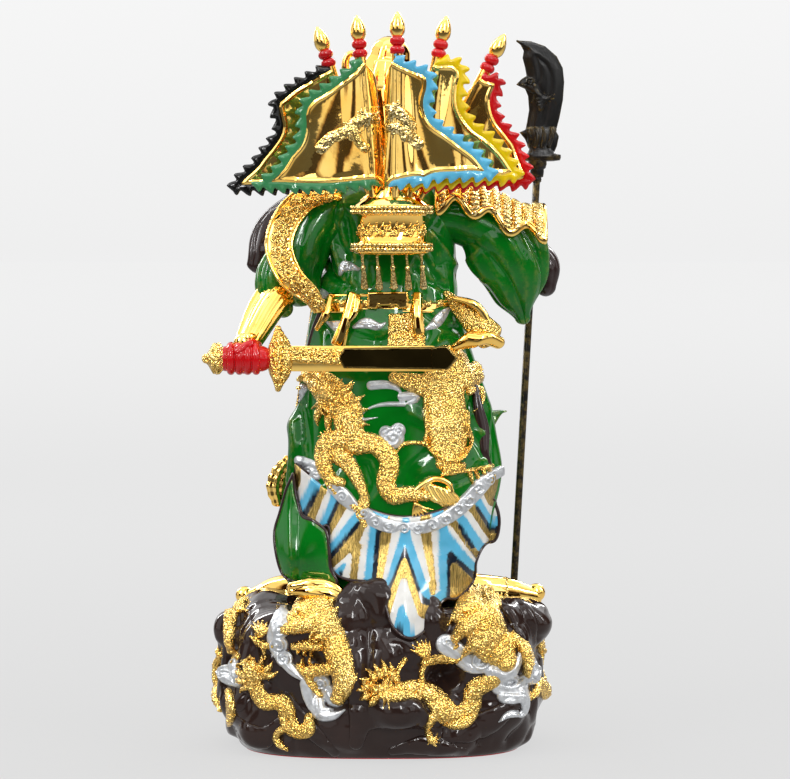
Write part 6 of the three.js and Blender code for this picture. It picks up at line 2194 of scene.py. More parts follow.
def build_boots():
    gilt = Cast()
    for line, knob in (
        ([(-30, -8, 100), (-52, 0, 101.5), (-68, 9, 99.5), (-80, 16, 95), (-90, 20, 92.5)], (-92, 20.5, 96)),
        ([(38, -6, 100), (58, 1, 101), (76, 8, 99.5), (92, 15, 96.5), (101, 19, 94.5)], (103, 19.5, 98)),
    ):
        gilt.tube(
            line, [(11.5, 9.5), (12, 10.5), (11, 10), (10, 8), (7, 6)], 60, 70, UP, swell=folds(5, 0.03, 4)
        )
        sole = np.array(line, float) - [0, 0, 7.5]
        gilt.tube(sole, [(2.2, 11), (2.2, 11.5), (2.2, 11), (2.2, 9), (2, 6)], 40, 60, UP, power=3.5)
        gilt.dome(knob, (6.2, 5.4, 6.2), 30)
    gilt.tube(
        [
            (x, -47 - 3 * k, z)
            for k, (x, z) in enumerate([(-56.6, 108.3), (-46.4, 108.3), (-33.6, 105.1), (-21.5, 99.9)])
        ],
        [(5, 5), (8, 8), (8.4, 7.5), (4, 4)], 60, 50, UP, swell=folds(4, 0.12, 5)
    )
    gilt.make("boots", "gold_mirror")
    carved = Cast()
    for x0, x1 in ((-40, -74), (50, 86)):
        for t in np.linspace(0.1, 0.9, 9):
            x = lerp(x0, x1, t)
            y, z = -2 + 14 * t, 108.5 - 4 * t
            arch = [(x, y - 11, z - 9), (x, y - 6, z + 0.5), (x, y + 2, z + 3.2), (x, y + 9, z - 3)]
            carved.tube(arch, [(1.1, 1), (1.6, 1.4), (1.6, 1.4), (1, 1)], 14, 24)
    carved.make("boot_lacing", "gold_carved")
    hip = Cast()
    line = [(-61, 12, 187), (-67, 14, 178), (-70, 14, 168), (-69, 14, 159)]
    fluted = lambda a, t: 1 + 0.09 * np.cos(9 * a + 5 * t) + 0.05 * np.cos(12 * np.pi * t)
    hip.tube(line, [(4.6, 2.6), (6.6, 3.6), (6.8, 3.8), (4.2, 2.8)], 90, 70, swell=fluted)
    hip.make("hip_plate", "gold_mirror")


# Middles at the top and the hem, half widths there, height of the top and the sides, drop of the
# point, and how far the plate stands off the robe
FRONT_PLATES = [
    ((1, 2), (14, 21), 287, 140, 16, 1), ((-28, -36), (14, 20), 287, 196, 14, 2.5),
    ((30, 42), (14, 20), 287, 196, 14, 2.5)
]


def front_place(plate, u, v, off):
    """A place on a front plate, u across it and v down it."""
    middle, wide, high, low, drop, stand = plate
    across = 2 * u - 1
    x = lerp(middle[0], middle[1], v) + across * lerp(wide[0], wide[1], v)
    z = lerp(high, low - drop * (1 - across * across), v)
    return off_skirt(x, z, stand + off, 1)


def build_front():
    gilt, edges = Cast(), Cast()
    places = []
    u, v = np.meshgrid(np.linspace(0, 1, 60), np.linspace(0, 1, 120))
    ends, run = (np.zeros(50), np.ones(50)), np.linspace(0, 1, 50)
    for k, plate in enumerate(FRONT_PLATES):
        gilt.slab(front_place(plate, u, v, 2.4), front_place(plate, u, v, -2.6))
        for across, down in ((ends[0], run), (ends[1], run), (run, ends[1])):
            edges.tube(front_place(plate, across, down, 2.4), 1.5, 14, 90, (0, 1, 0.2))
        long = 147 if k == 0 else 91
        rows = int(long / 7)
        for row in range(rows):
            share = (row + 0.7) / (rows + 0.6)
            for column in range(7):
                a = (column + 0.6 + 0.5 * (row % 2)) / 7.8
                here, below = (front_place(plate, np.array(a), np.array(share + d), 2.5) for d in (0, 0.02))
                beside = front_place(plate, np.array(a + 0.02), np.array(share), 2.5)
                places.append(scale_place(here, below, beside, FRONT, 0.25))
    gilt.make("front_plates", "gold_mirror")
    edges.tube([(-10, 37, 293), (4, 42.5, 293), (18, 37, 293)], [(5, 3), (9, 4), (5, 3)], 40, 40, UP)
    mask = Drawing()
    mask.curl(0, 292, 6.4, 3.4, 1, 2.6)
    for by in np.linspace(-2.6, 2.6, 10):
        flame(mask, (0, 292), turned((0, 1), by), 12, 2.2, 2.6, by)
    edges.dome((4, 35, 293), (12, 7, 11), 40)
    carve(
        edges, edges.ground(), Drawing().stroke([(-9, 293), (1, 293)], [3, 5], 3, lace=1.2), 0.5, FRONT,
        grain=0.2
    )
    carve(edges, edges.ground(), mask, 0.5, FRONT, grain=0.14)
    chest = [(-30, 14, 356), (-22, 26, 344), (-6, 33, 338), (12, 33, 338), (28, 26, 344), (36, 14, 356)]
    edges.tube(
        chest, [(3, 2.6), (4, 3), (4.4, 3.2), (4.4, 3.2), (4, 3), (3, 2.6)], 24, 80, UP, swell=lambda a,
        t: 1 + 0.08 * np.cos(60 * np.pi * t)
    )
    for side in (-1, 1):
        edges.dome((4 + side * 21, 26, 325), (12, 6.5, 13), 40)
    edges.make("front_edges", "gold_carved")
    grow_scales(places, (0.0031, 0.0048, 0.0015), "gold_carved", "front_scales")
    collar = Cast()
    for side in (-1, 1):
        collar.tube(
            [(2 + side * 16, -6, 371), (2 + side * 20, 12, 366), (2 + side * 13, 27, 352), (4, 33, 334)],
            [(3, 2), (4, 2.4), (4, 2.4), (2.6, 2)], 24, 60, UP
        )
    collar.make("collar", "gold_mirror")


# Sword and halberd


def build_sword():
    x0 = SWORD_END
    blade_start = x0 + 45
    steel = Cast()
    share = np.concatenate([np.linspace(0, 0.84, 30), np.linspace(0.86, 1, 16)])
    wide = 8.2 * np.where(
        share < 0.8, 1 - 0.03 * share, 0.976 * (1 - smooth(share, 0.84, 1.02) ** 1.15) + 0.02
    )
    thick = 3.0 * np.where(share < 0.85, 1, 1 - 0.8 * smooth(share, 0.85, 1))
    profile = np.array(
        [
            (0, 1), (0.28, 0.86), (0.62, 0.5), (0.62, 0.42), (1, 0), (0.62, -0.42), (0.62, -0.5),
            (0.28, -0.86)
        ]
    )
    profile = np.concatenate([profile, np.stack([-profile[::-1, 0], profile[::-1, 1]], 1)[:-1], [(-0, -1)]])
    order = np.argsort(np.arctan2(profile[:, 1], profile[:, 0]))
    profile = profile[order]
    rings = np.stack(
        [
            at(
                blade_start - 2 + s * 108 + 0 * profile[:, 0], SWORD_Y + profile[:, 0] * d,
                SWORD_Z + profile[:, 1] * w
            )
            for s, w, d in zip(share, wide, thick)
        ]
    )
    steel.round(rings)
    steel.round(spun([(0.5, -1), (5.2, -1), (5.2, 29), (0.5, 29)], on_sword(x0), on_sword(x0 + 10), 40))
    steel.make("sword_blade", "gold_mirror", replaces="sword", sharp=24)
    inset = [(-28.1, 258.8), (-24.3, 264.5), (42.4, 265.6), (48.9, 258), (42.4, 250.6), (-24.3, 251.5)]
    panel = Cast()
    faces = lambda x, z, far: (
        at(x, SWORD_Y - 2 - 1.3 * smooth(-far, 0, 0.5), z),
        at(x, SWORD_Y + 2 + 1.3 * smooth(-far, 0, 0.5), z)
    )
    sheet(panel, inset, faces, 0.5)
    low, top = [(32.6, 264.8), (32.6, 251.5)]
    panel.tube([at(low[0], SWORD_Y - 3.3, low[1]), at(top[0], SWORD_Y - 3.3, top[1])], 0.7, 10, 8)
    # Its finish is gold darkened as a painted dark reflection
    panel.make("sword_inset", "gold_shaded")
    root = Drawing()
    for k, (x, z) in enumerate(evenly([(-57.1, 261), (-28.5, 259.7)], 12)):
        root.curl(x, z + 1.6, 3, 2.6, flip(k), 2.2)
        flame(root, (x, z - 3.5), turned((1, 0.3), 0.9 * (-1) ** k), 6, 1.7, 2.2, 1)
    carved = Cast()
    for facing, marks in ((BACK, root), (FRONT, mirrored(root))):
        carve(carved, steel.ground(), marks, 0.45, facing, grain=0.2)
    carved.make("sword_root", "gold_carved")
    knob = Cast()
    ribs = lambda a, t: 1 + 0.1 * np.cos(9 * a) * (0.4 + 0.6 * np.cos(5 * np.pi * t))
    knob.tube(
        [on_sword(x0 - 10), on_sword(x0 - 6.5), on_sword(x0 - 2), on_sword(x0 + 1)],
        [(3, 3), (8.4, 8), (10.2, 9.2), (7.6, 7.6)], 80, 60, UP, swell=ribs
    )
    guard = [
        on_sword(-66.5, -19.4), on_sword(-65.5, -10), on_sword(-65), on_sword(-65.5, 10),
        on_sword(-66.5, 19.4)
    ]
    knob.tube(
        guard, [(2, 3.4), (6.6, 6), (8.4, 7.2), (6.6, 6), (2, 3.4)], 80, 80, (1, 0, 0), power=2.6,
        swell=lambda a, t: 1 + 0.03 * np.cos(11 * a + 30 * t)
    )
    leaf = Drawing()
    for k in range(9):
        z = SWORD_Z - 16 + 4 * k
        for side in (-1, 1):
            flame(leaf, (-66, z - 1.5), unit([side * 1, 0.5]), 6.4 - 0.35 * abs(k - 4), 1.3, 1.5, side)
    leaf.stroke([(-66, SWORD_Z - 18), (-66, SWORD_Z + 18)], [0.6, 1.3, 0.6], 2)
    for facing in (BACK, FRONT):
        carve(knob, knob.ground(), leaf if facing is BACK else mirrored(leaf), 0.45, facing, grain=0.12)
    knob.make("sword_guard", "gold_carved")


def mirrored(drawing):
    """The same drawing for a wall that looks the other way."""
    made = Drawing()
    made.marks = [(kind, places * [-1, 1], *rest) for kind, places, *rest in drawing.marks]
    return made


HALBERD_BLADE = [
    (88, 466.3), (93.5, 466), (98.9, 465.6), (108.2, 462.4), (116, 455.7), (120, 448), (121, 438.7),
    (120.2, 426.8), (117.9, 414.9), (115.6, 406.2), (117.6, 402.7), (116.3, 396.3), (113.7, 390.3),
    (99.1, 390.3), (97, 396.3), (95, 400.9), (91.4, 405.3), (95.4, 407.2), (96.6, 413.5), (97.7, 420.2),
    (97, 429.4), (95, 434.1), (89, 436.9), (92.7, 440.7), (96, 442.7), (94.9, 448.6), (93.3, 454.6),
    (94.1, 459.2), (92, 463.2)
]


def build_halberd():
    steel = Cast()
    foot, top = pole_at(96.5), pole_at(388)
    long = np.linalg.norm(top - foot)
    steel.round(spun([(0.4, -11), (2.3, -10.8), (2.4, 0), (2.4, long)], foot, top, 36))
    collar = [
        (2.4, -16), (3.1, -15.4), (3.3, -13.6), (3, -12.6), (4.3, -12), (4.6, -9), (4.5, -7), (5.6, -6),
        (6.2, -3.4), (6, -1.4), (4, -0.8)
    ]
    steel.round(spun([(r, long + z) for r, z in collar], foot, top, 48))
    along = unit(top - foot)
    ring = lambda wide, deep, z, shift: (
        foot + along * (long + z) + at(
            *(np.array(oval(around(60), wide, deep, 2.8)) + np.array([[shift], [0]])), 0
        )
    )
    rows = [
        (9, 5, -1.8, 1.5), (12.2, 6, -1.2, 2.6), (12.6, 6.3, 0.6, 2.8), (12.4, 6.2, 2.4, 2.8),
        (9.4, 5.4, 3.4, 2.4), (7.6, 5, 6, 1.6), (8.2, 5, 12, 1.2), (10.2, 4.6, 19, 1.4), (9, 3.8, 21, 1.6)
    ]
    steel.round(np.stack([ring(*row) for row in rows]))

    def faces(x, z, far):
        bevel = 3.0 * (0.12 + 0.88 * smooth(-far, 0, 6.5))
        groove = 0.5 * bump(-far, 9, 1.2) * smooth(z, 405, 412)
        thick = bevel - groove
        return at(x, HALBERD_Y - thick, z), at(x, HALBERD_Y + thick, z)

    sheet(steel, HALBERD_BLADE, faces, 0.6)
    beast = Drawing()
    beast.curl(98.3, 438.6, 3, 2.4, 1, 1.6)
    beast.stroke([(93, 436.8), (99, 434), (104, 430)], [1.2, 2.2, 1.2], 1.8)
    for k, by in enumerate(np.linspace(-1.3, 0.9, 8)):
        flame(beast, (101 + 0.6 * k, 436 - 2.2 * k), turned((1, 0.1), by), 10 + 1.2 * (k % 3), 1.6, 1.5, by)
    for k in range(4):
        beast.stroke([(97 + k * 4.5, 396), (98 + k * 4.8, 403), (96 + k * 5.2, 409)], [1.4, 1.7, 0.4], 1.4)
    ground = steel.ground()
    for facing, marks in ((BACK, beast), (FRONT, mirrored(beast))):
        carve(steel, ground, marks, 0.5, facing, grain=0.12)
    steel.make("halberd_black", "halberd_black", replaces="halberd", sharp=40)


# The pennants

FLAGS = {
    "black": dict(
        enamel="black_glaze", over=4.5, foot=(-7, -38.5), head=(-34.4, -40, 447.7), depth=-47, swell=3,
        free=[
            (-36.4, 447.4), (-44.1, 443.1), (-51.9, 438.8), (-58.3, 434.9), (-64.1, 430.1), (-69.9, 424.9),
            (-71.4, 418.5), (-69.9, 411.5), (-69.3, 404.4), (-74.5, 396.1), (-79.6, 390), (-84.1, 383.9),
            (-90.6, 378.1), (-96.4, 371.7), (-98.6, 366.6)
        ],
        hem=[
            (-98.6, 366.6), (-91.3, 363.8), (-82.9, 363.8), (-73.9, 363.8), (-58.4, 364.5), (-46.8, 366),
            (-30.7, 367.7), (-10, 370)
        ]
    ),
    "green": dict(
        enamel="sage_glaze", over=9, foot=(-6, -47), head=(-13.9, -47, 453.5), depth=-58, swell=4,
        free=[
            (-15.7, 451.5), (-20.8, 445.3), (-28.5, 439.6), (-38.7, 432.2), (-47, 426.9), (-52.1, 420.5),
            (-53.8, 414.1), (-53.8, 405.2), (-56, 397.6), (-61.8, 390.5), (-67.5, 381.6), (-74.6, 375.2),
            (-83.6, 368.2)
        ],
        hem=[(-83.6, 368.2), (-74.6, 365.4), (-61.8, 365), (-43.9, 364.3), (-28.5, 364.8), (-6, 367)]
    ),
    "blue": dict(
        enamel="sky_glaze", over=7, foot=(8.6, -53), head=(9.9, -52, 455.4), depth=-62, swell=4,
        free=[
            (8.6, 453), (15, 449.4), (22.6, 446.2), (30.6, 442.5), (34, 436.9), (34.1, 429.3),
            (32.2, 420.4), (35.4, 411.5), (45.6, 403.9), (53.9, 397.5), (62.9, 390.5), (70.6, 380.9),
            (74.4, 375.2)
        ],
        hem=[
            (74.4, 375.2), (66.1, 372), (57.2, 372.2), (48.2, 371.7), (35.4, 371.1), (27.8, 368.2),
            (21.4, 368.8), (9.9, 366.6)
        ]
    ),
    "yellow": dict(
        enamel="yellow_glaze", over=4.5, foot=(17, -46), head=(36.7, -46, 453.5), depth=-52, swell=3,
        free=[
            (36.5, 450.8), (47, 450.8), (53.4, 445.7), (55.4, 438.1), (53.8, 429.8), (54.5, 419.5),
            (61.2, 409.3), (71.5, 401.6), (79.2, 394), (85, 386.3), (89.5, 378.6), (90, 374)
        ],
        hem=[(90, 374), (79.2, 369.9), (70.2, 370.3), (53.5, 368.8), (34.3, 366.5), (18, 366)]
    ),
    "red": dict(
        enamel="red_glaze", over=4.5, foot=(24.5, -38.5), head=(68.2, -38, 444.8), depth=-43, swell=2,
        free=[
            (68.6, 441.1), (77, 438.5), (78, 431.5), (75.2, 423.2), (77.6, 413.5), (84.6, 404.5),
            (89.8, 397.5), (92.7, 389.1), (96.6, 378.8), (97.4, 371)
        ],
        hem=[(97.4, 371), (89.9, 366.9), (77, 366.8), (60.2, 367), (51.2, 365.6), (26, 365)]
    )
}
SOCKET_TOP = 361.0


def flag_pole_x(flag, z):
    return lerp(flag["foot"][0], flag["head"][0], (z - SOCKET_TOP) / (flag["head"][2] - SOCKET_TOP))


def flag_place(flag, x, z, off):
    """Where the cloth is in depth: off is behind it (negative) or in front of it."""
    foot, head, tip = flag["foot"], flag["head"], flag["free"][-1]
    along = (z - SOCKET_TOP) / (head[2] - SOCKET_TOP)
    away = np.clip(np.abs(x - flag_pole_x(flag, z)) / abs(tip[0] - foot[0]), 0, 1)
    belly = flag["swell"] * np.sin(np.minimum(1, away * 1.6) * np.pi)
    wave = 3.1 * np.sin(
        away * 11 + 0.6 * abs(foot[0]) + 0.045 * (z - 400)
    ) * smooth(away, 0.02, 0.2) * smooth(z, 366, 378)
    wrap = 4.9 * (1 - smooth(away, 0.02, 0.2)) * (1 - smooth(z, head[2] - 6, head[2] + 1))
    way = np.sign(foot[0] - tip[0])
    wrap = wrap - 0.9 * np.maximum(0, way * (x - flag_pole_x(flag, z)) - 2.5)
    y = lerp(lerp(foot[1], head[1], along), flag["depth"], away) - belly - wrap + wave * (1 - 0.6 * away)
    return at(x, y + off, z)


def flag_sides(flag, x, z, off):
    """The cloth's two sides, each this far from its middle."""
    return flag_place(flag, x, z, -off), flag_place(flag, x, z, off)


def toothed(line, way):
    """A line with hooked teeth that stand out on one side, and the same line without them."""
    carving = settings()
    tooth, pitch = carving.tooth / MM, carving.tooth_pitch / MM
    length = np.linalg.norm(np.diff(evenly(line, 60), axis=0), axis=1).sum()
    count = max(2, round(length / pitch))
    plain = evenly(line, count * 12)
    side = np.gradient(plain, axis=0)
    side = unit(np.stack([-side[:, 1], side[:, 0]], 1)) * way
    part = np.arange(count * 12 + 1) / 12 % 1
    rise = np.where(part < 0.62, smooth(part, 0.05, 0.62) ** 0.8, 1 - smooth(part, 0.62, 1))
    step = unit(np.gradient(plain, axis=0))
    return plain + side * (tooth * (rise - 0.5))[:, None] + step * (tooth * 0.35 * rise)[:, None], plain


def build_pennant(name):
    flag = FLAGS[name]
    way = 1 if flag["head"][0] > flag["free"][-1][0] else -1
    free, plain_free = toothed(np.array(flag["free"]), -way)
    hem, plain_hem = toothed(np.array(flag["hem"]), -way)
    pole = np.array(
        [(flag_pole_x(flag, z), z) for z in np.linspace(flag["hem"][-1][1], flag["head"][2] - 2, 30)]
    )
    inner = pole + np.array([way, 0]) * (
        flag["over"] * smooth(pole[:, 1], flag["head"][2] - 2, flag["head"][2] - 16)
    )[:, None]
    outline = np.concatenate([free[:-3], hem[4:], inner])
    base = np.concatenate([plain_free, plain_hem])
    walked = np.r_[0, np.cumsum(np.linalg.norm(np.diff(base, axis=0), axis=1))]
    pitch = settings().tooth_pitch / MM

    def from_base(x, z):
        gap = (x[..., None] - base[:, 0]) ** 2 + (z[..., None] - base[:, 1]) ** 2
        nearest = gap.argmin(-1)
        return np.sqrt(gap.min(-1)), walked[nearest]

    def border_far(x, z):
        return np.maximum(outside(outline, x, z), from_base(x, z)[0] - 6.2)

    def border_skins(x, z, far):
        away, along = from_base(x, z)
        ridge = 0.55 * (0.5 + 0.5 * np.cos(2 * np.pi * along / pitch)) * (1 - smooth(away, 1.5, 4.5))
        rise = 0.9 * smooth(-far, 0, 1.6) + ridge * smooth(-far, 0, 1.4)
        return flag_sides(flag, x, z, 1.2 + rise)

    border = Cast()
    sheet(border, outline, border_skins, 0.55, far_of=border_far)
    border.make("pennant_" + name + "_border", flag["enamel"])

    def gold_far(x, z):
        return np.maximum(outside(outline, x, z), 5 - from_base(x, z)[0])

    def gold_skins(x, z, far):
        away, _ = from_base(x, z)
        return flag_sides(flag, x, z, 1.35 + bump(away, 7.2, 0.8))

    gilt = Cast()
    sheet(gilt, outline, gold_skins, 0.7, far_of=gold_far)
    ground = gilt.ground()
    low, high = np.array([*flag["foot"], SOCKET_TOP]), np.array(flag["head"], float)
    up = unit(high - low)
    low = low - up * 15
    long = np.linalg.norm(high - low)
    gilt.round(
        spun(
            [(0.3, 0.1), (2.5, 0.2), (2.5, 15), (2.9, 30), (3.7, long - 2), (3.9, long), (3.2, long + 0.8)],
            low, high, 40
        )
    )
    bud = [
        (2.6, 8.2), (3.7, 9.2), (4.8, 11.4), (5, 13.6), (4.7, 16.4), (3.7, 19.4), (2.3, 22), (0.9, 24),
        (0.1, 24.5)
    ]
    gilt.round(spun([(r, long + z) for r, z in bud], low, high, 48))
    gilt.make("pennant_" + name + "_gold", "gold_cloth", replaces="pennant_" + name)
    arc = np.linspace(-0.5, 0.5, 9) * np.pi
    collar = Cast()
    for z in (-0.2, 5.8):
        collar.round(
            spun([(2.2 + 2.7 * math.cos(a), long + z + 3.05 * math.sin(a)) for a in arc], low, high, 40)
        )
    collar.make("pennant_" + name + "_collar", "red_glaze")

    patches = {
        "green": [
            ([(-7.4, 411.7), (-15.7, 409.1), (-23.4, 402.8), (-32.4, 398.9), (-38.8, 392.5)], 3.2, 1),
            ([(-18.3, 404), (-14.5, 396.4), (-10.6, 392.5)], 2.6, 1)
        ],
        "blue": [
            ([(4.7, 416.8), (12.4, 414.3), (18.2, 407.9), (18.8, 400.2), (23.3, 395.1)], 3.2, -1),
            ([(6, 405.3), (12.4, 404), (15, 398.9)], 2.4, -1)
        ]
    }
    carved = Cast()
    near, far = flag["foot"][0] - 16 * way, flag["foot"][0] - 32 * way
    plainer = [([(near, 384), (near - 9 * way, 392), (far, 384)], 3.4, 1)]
    for facing, sign in ((BACK, 1), (FRONT, -1)):
        for line, wide, side in patches.get(name, plainer):
            marks = dragon(line, wide, 1.3, 1.3, side)
            marks.stroke(line, wide * 1.25, 0.5, lace=1.1)
            carve(carved, ground, marks if sign > 0 else mirrored(marks), 0.5, facing, grain=0.3)
    carved.make("pennant_" + name + "_patch", "gold_pale")


# Light, floor and camera


# How bright shiny surfaces see the lamps, the ceiling, the room and its darkest corner
LAMP_LIGHT, CEILING_LIGHT, ROOM_LIGHT, DARKEST = 34.0, 1.25, 1.1, 0.015


def studio_tone(tree, x, y, z):
    """What shiny surfaces see: a dark room with pale walls, a ceiling and narrow bright lamps."""
    turn = sums(tree, "ARCTAN2", x, times(tree, y, -1.0))
    leaning = sums(tree, "ADD", times(tree, turn, 6.0), times(tree, z, 2.2))
    walls = ranged(tree, sums(tree, "COSINE", leaning, 0.0), 0.55, -0.35)
    walls = times(tree, walls, ranged(tree, z, -0.15, 0.1, 0.55, 1.0))
    ceiling = times(tree, ranged(tree, z, 0.5, 0.62), CEILING_LIGHT)
    room = sums(tree, "ADD", times(tree, sums(tree, "MAXIMUM", walls, ceiling), ROOM_LIGHT), DARKEST)
    strip = sums(tree, "SINE", sums(tree, "ADD", times(tree, turn, 5.0), 0.7), 0.0)
    strip = times(tree, ranged(tree, strip, 0.972, 0.986), ranged(tree, z, 0.3, 0.36))
    strip = times(tree, strip, ranged(tree, z, 0.82, 0.72))
    return sums(tree, "ADD", room, times(tree, strip, LAMP_LIGHT))


def warmed(tree, value):
    """A grey whose darker tones are brown, as wooden walls are."""
    cooling = sums(tree, "POWER", sums(tree, "MINIMUM", value, 1.0), 0.3)
    green = times(tree, value, cooling)
    blue = times(tree, green, cooling)
    return put(tree, "ShaderNodeCombineColor", {0: value, 1: green, 2: blue}).outputs[0]


def build_world():
    world = bpy.data.worlds.new("Studio")
    world.use_nodes = True
    tree = world.node_tree
    way = put(
        tree, "ShaderNodeSeparateXYZ", {0: put(tree, "ShaderNodeTexCoord").outputs["Generated"]}
    ).outputs
    seen = put(tree, "ShaderNodeLightPath").outputs
    backdrop = ranged(tree, way["Z"], 0.0, 0.08, 0.863, 0.92)
    mirror = studio_tone(tree, way["X"], way["Y"], way["Z"])
    soft = ranged(tree, way["Z"], -0.1, 0.7, 0.42, 0.85)
    shown = blend_colours(tree, seen["Is Glossy Ray"], grey(tree, soft), warmed(tree, mirror))
    shown = blend_colours(tree, seen["Is Camera Ray"], shown, grey(tree, backdrop))
    tree.links.new(shown, tree.nodes["Background"].inputs["Color"])
    tree.nodes["Background"].inputs["Strength"].default_value = 1.0
    bpy.context.scene.world = world


# In metres, and how fast the floor's painted light fall-off changes with the distance
FLOOR_REACH, FLOOR_FALL = 60.0, 0.34


def build_floor():
    plain = {"Emission Strength": 1.0, "Base Color": (0.08, 0.08, 0.08, 1), "Specular IOR Level": 0.0}
    tree, shader = start_material("paper", plain)
    place = object_place(tree)
    away = put(tree, "ShaderNodeVectorMath", {0: place}, operation="LENGTH").outputs["Value"]
    # The floor glows instead of being lit. The camera sees painted light fall-off, darker near the statue;
    # other rays see a painted glow that dims far off and under the camera.
    near = sums(tree, "POWER", 2.718, times(tree, away, -FLOOR_FALL))
    painted_fall_off = ranged(tree, near, 0.0, 1.0, 0.895, 0.7)
    split = put(tree, "ShaderNodeSeparateXYZ", {0: place}).outputs
    under_camera = ranged(tree, split["Y"], -0.25, -0.9)
    mirror = times(
        tree, ranged(tree, away, 0.3, 2.0, 0.62, 0.3), ranged(tree, under_camera, 0.0, 1.0, 1.0, 0.03)
    )
    seen = put(tree, "ShaderNodeLightPath").outputs["Is Camera Ray"]
    shown = put(tree, "ShaderNodeMix", {0: seen, 2: mirror, 3: times(tree, painted_fall_off, 0.9)}).outputs[0]
    tree.links.new(grey(tree, shown), shader.inputs["Emission Color"])
    turn = around(96)
    mesh = bpy.data.meshes.new("floor")
    mesh.from_pydata(
        [(FLOOR_REACH * math.cos(a), FLOOR_REACH * math.sin(a), 0.0) for a in turn], [], [list(range(96))]
    )
    mesh.materials.append(bpy.data.materials["paper"])
    floor = placed("floor", mesh)


# Name, place, width and height, and power
LAMPS = [
    ("key", (-1.5, -1.3, 1.5), (0.8, 1.3), 9), ("fill", (1.7, -1.1, 1.0), (0.7, 1.4), 6),
    ("top", (0, -0.2, 2.0), (1.6, 1.0), 8), ("rim", (0.9, 1.3, 1.3), (1.0, 0.9), 6),
    ("back", (-1.2, 1.4, 1.0), (0.8, 1.2), 6), ("front", (0.1, -1.7, 1.15), (1.3, 0.5), 5)
]


# Where the camera stands in metres, its focal length in millimetres and its dip in degrees
CAMERA_PLACE, CAMERA_LENS, CAMERA_DIP = (0.00858, -2.0, 0.330), 138.03, 2.7166
LAMPS_LOOK_AT = Vector((0, 0, 0.24))


def build_stage():
    scene = bpy.context.scene
    scene.view_settings.view_transform = "Standard"
    build_world()
    build_floor()
    for name, place, size, power in LAMPS:
        lamp = bpy.data.lights.new(name, "AREA")
        lamp.shape, lamp.size, lamp.size_y, lamp.energy = "RECTANGLE", size[0], size[1], power
        holder = placed(name, lamp)
        holder.location = place
        holder.rotation_euler = (LAMPS_LOOK_AT - Vector(place)).to_track_quat("-Z", "Y").to_euler()
    camera = bpy.data.cameras.new("camera")
    camera.lens, camera.sensor_width = CAMERA_LENS, 36.0
    holder = placed("camera", camera)
    holder.location = CAMERA_PLACE
    holder.rotation_euler = (math.radians(90 - CAMERA_DIP), 0, 0)
    scene.camera = holder


# Operators and panel

GROUNDS = {}


def grounded(name, build):
    """The surface that a carving lies on, made by the piece's own builder."""
    if name not in GROUNDS:
        raise RuntimeError(build + " comes before its carving")
    return GROUNDS[name]


class STATUE_OT_rock(bpy.types.Operator):
    """Build the rock"""

    bl_idname = "statue.rock"
    bl_label = "Rock"

    def execute(self, context):
        GROUNDS["rock"] = build_rock()
        return {"FINISHED"}


class STATUE_OT_rock_dragons(bpy.types.Operator):
    """Carve the dragons and clouds on the rock"""

    bl_idname = "statue.rock_dragons"
    bl_label = "Rock dragons"

    def execute(self, context):
        build_rock_dragons(grounded("rock", "The rock"))
        return {"FINISHED"}


class STATUE_OT_robe(bpy.types.Operator):
    """Build the robe's skirt with its striped panel"""

    bl_idname = "statue.robe"
    bl_label = "Robe"

    def execute(self, context):
        GROUNDS["robe"] = build_robe()
        return {"FINISHED"}


class STATUE_OT_robe_carving(bpy.types.Operator):
    """Carve the robe's dragons, clouds and scroll band"""

    bl_idname = "statue.robe_carving"
    bl_label = "Robe carving"

    def execute(self, context):
        build_robe_carving(grounded("robe", "The robe"))
        return {"FINISHED"}


class STATUE_OT_torso(bpy.types.Operator):
    """Build the upper robe and the belt"""

    bl_idname = "statue.torso"
    bl_label = "Torso and belt"

    def execute(self, context):
        build_torso()
        build_belt()
        return {"FINISHED"}


class STATUE_OT_drum(bpy.types.Operator):
    """Build the drum that holds the pennants"""

    bl_idname = "statue.drum"
    bl_label = "Drum"

    def execute(self, context):
        build_drum()
        return {"FINISHED"}


class STATUE_OT_head(bpy.types.Operator):
    """Build the head with its beard and cap"""

    bl_idname = "statue.head"
    bl_label = "Head"

    def execute(self, context):
        build_face()
        build_cap()
        return {"FINISHED"}


class STATUE_OT_left_arm(bpy.types.Operator):
    """Build the arm that holds the sword"""

    bl_idname = "statue.left_arm"
    bl_label = "Left arm"

    def execute(self, context):
        build_left_arm()
        return {"FINISHED"}


class STATUE_OT_right_arm(bpy.types.Operator):
    """Build the arm that holds the halberd"""

    bl_idname = "statue.right_arm"
    bl_label = "Right arm"

    def execute(self, context):
        build_right_arm()
        return {"FINISHED"}


class STATUE_OT_boots(bpy.types.Operator):
    """Build the boots and the hip plate"""

    bl_idname = "statue.boots"
    bl_label = "Boots"

    def execute(self, context):
        build_boots()
        return {"FINISHED"}


class STATUE_OT_front(bpy.types.Operator):
    """Build the armour on the front"""

    bl_idname = "statue.front"
    bl_label = "Front"

    def execute(self, context):
        build_front()
        return {"FINISHED"}


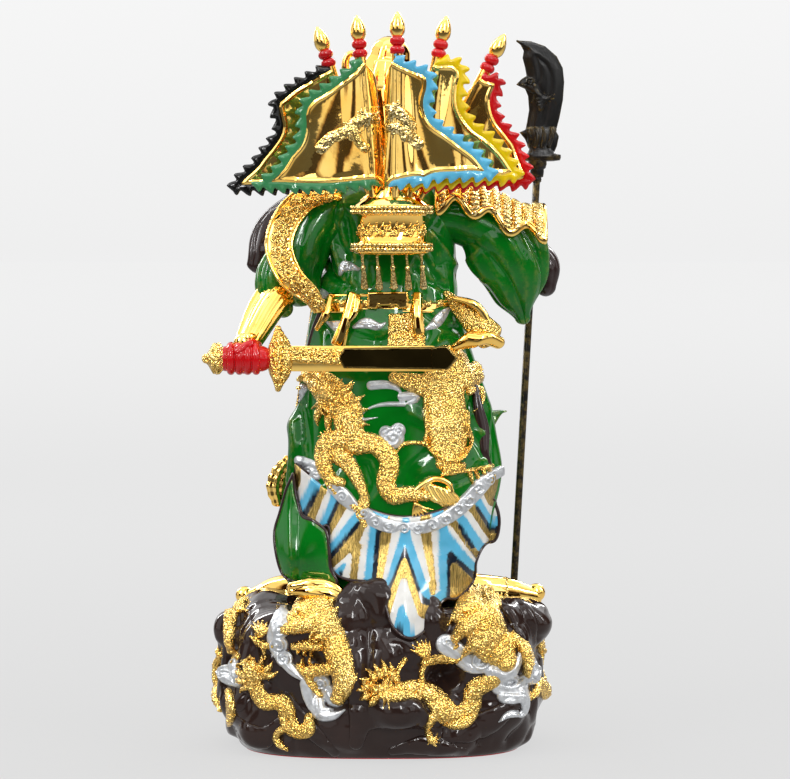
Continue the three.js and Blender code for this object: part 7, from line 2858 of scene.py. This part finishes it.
class STATUE_OT_weapons(bpy.types.Operator):
    """Build the sword and the halberd"""

    bl_idname = "statue.weapons"
    bl_label = "Sword and halberd"

    def execute(self, context):
        build_sword()
        build_halberd()
        return {"FINISHED"}


class STATUE_OT_pennants(bpy.types.Operator):
    """Build the five pennants"""

    bl_idname = "statue.pennants"
    bl_label = "Pennants"

    def execute(self, context):
        for name in FLAGS:
            build_pennant(name)
        return {"FINISHED"}


class STATUE_OT_stage(bpy.types.Operator):
    """Set the floor, the lamps and the camera"""

    bl_idname = "statue.stage"
    bl_label = "Stage"

    def execute(self, context):
        build_stage()
        return {"FINISHED"}


OPERATORS = [
    STATUE_OT_rock, STATUE_OT_rock_dragons, STATUE_OT_robe, STATUE_OT_robe_carving, STATUE_OT_torso,
    STATUE_OT_drum, STATUE_OT_head, STATUE_OT_left_arm, STATUE_OT_right_arm, STATUE_OT_boots,
    STATUE_OT_front, STATUE_OT_weapons, STATUE_OT_pennants, STATUE_OT_stage
]


class STATUE_PT_panel(bpy.types.Panel):
    bl_label = "Guardian general"
    bl_idname = "STATUE_PT_panel"
    bl_space_type = "VIEW_3D"
    bl_region_type = "UI"
    bl_category = "Statue"

    def draw(self, context):
        for group in (context.scene.statue, context.scene.statue_carving):
            box = self.layout.box()
            for name in group.__annotations__:
                box.prop(group, name)
        for operator in OPERATORS:
            self.layout.operator(operator.bl_idname)


CLASSES = [StatueLook, StatueCarving, *OPERATORS, STATUE_PT_panel]


def register():
    for item in CLASSES:
        bpy.utils.register_class(item)
    bpy.types.Scene.statue = bpy.props.PointerProperty(type=StatueLook)
    bpy.types.Scene.statue_carving = bpy.props.PointerProperty(type=StatueCarving)


def unregister():
    del bpy.types.Scene.statue_carving
    del bpy.types.Scene.statue
    for item in reversed(CLASSES):
        bpy.utils.unregister_class(item)


def main():
    register()
    make_finishes(bpy.context.scene.statue)
    for operator in OPERATORS:
        group, name = operator.bl_idname.split(".")
        getattr(getattr(bpy.ops, group), name)()


if __name__ == "__main__":
    main()
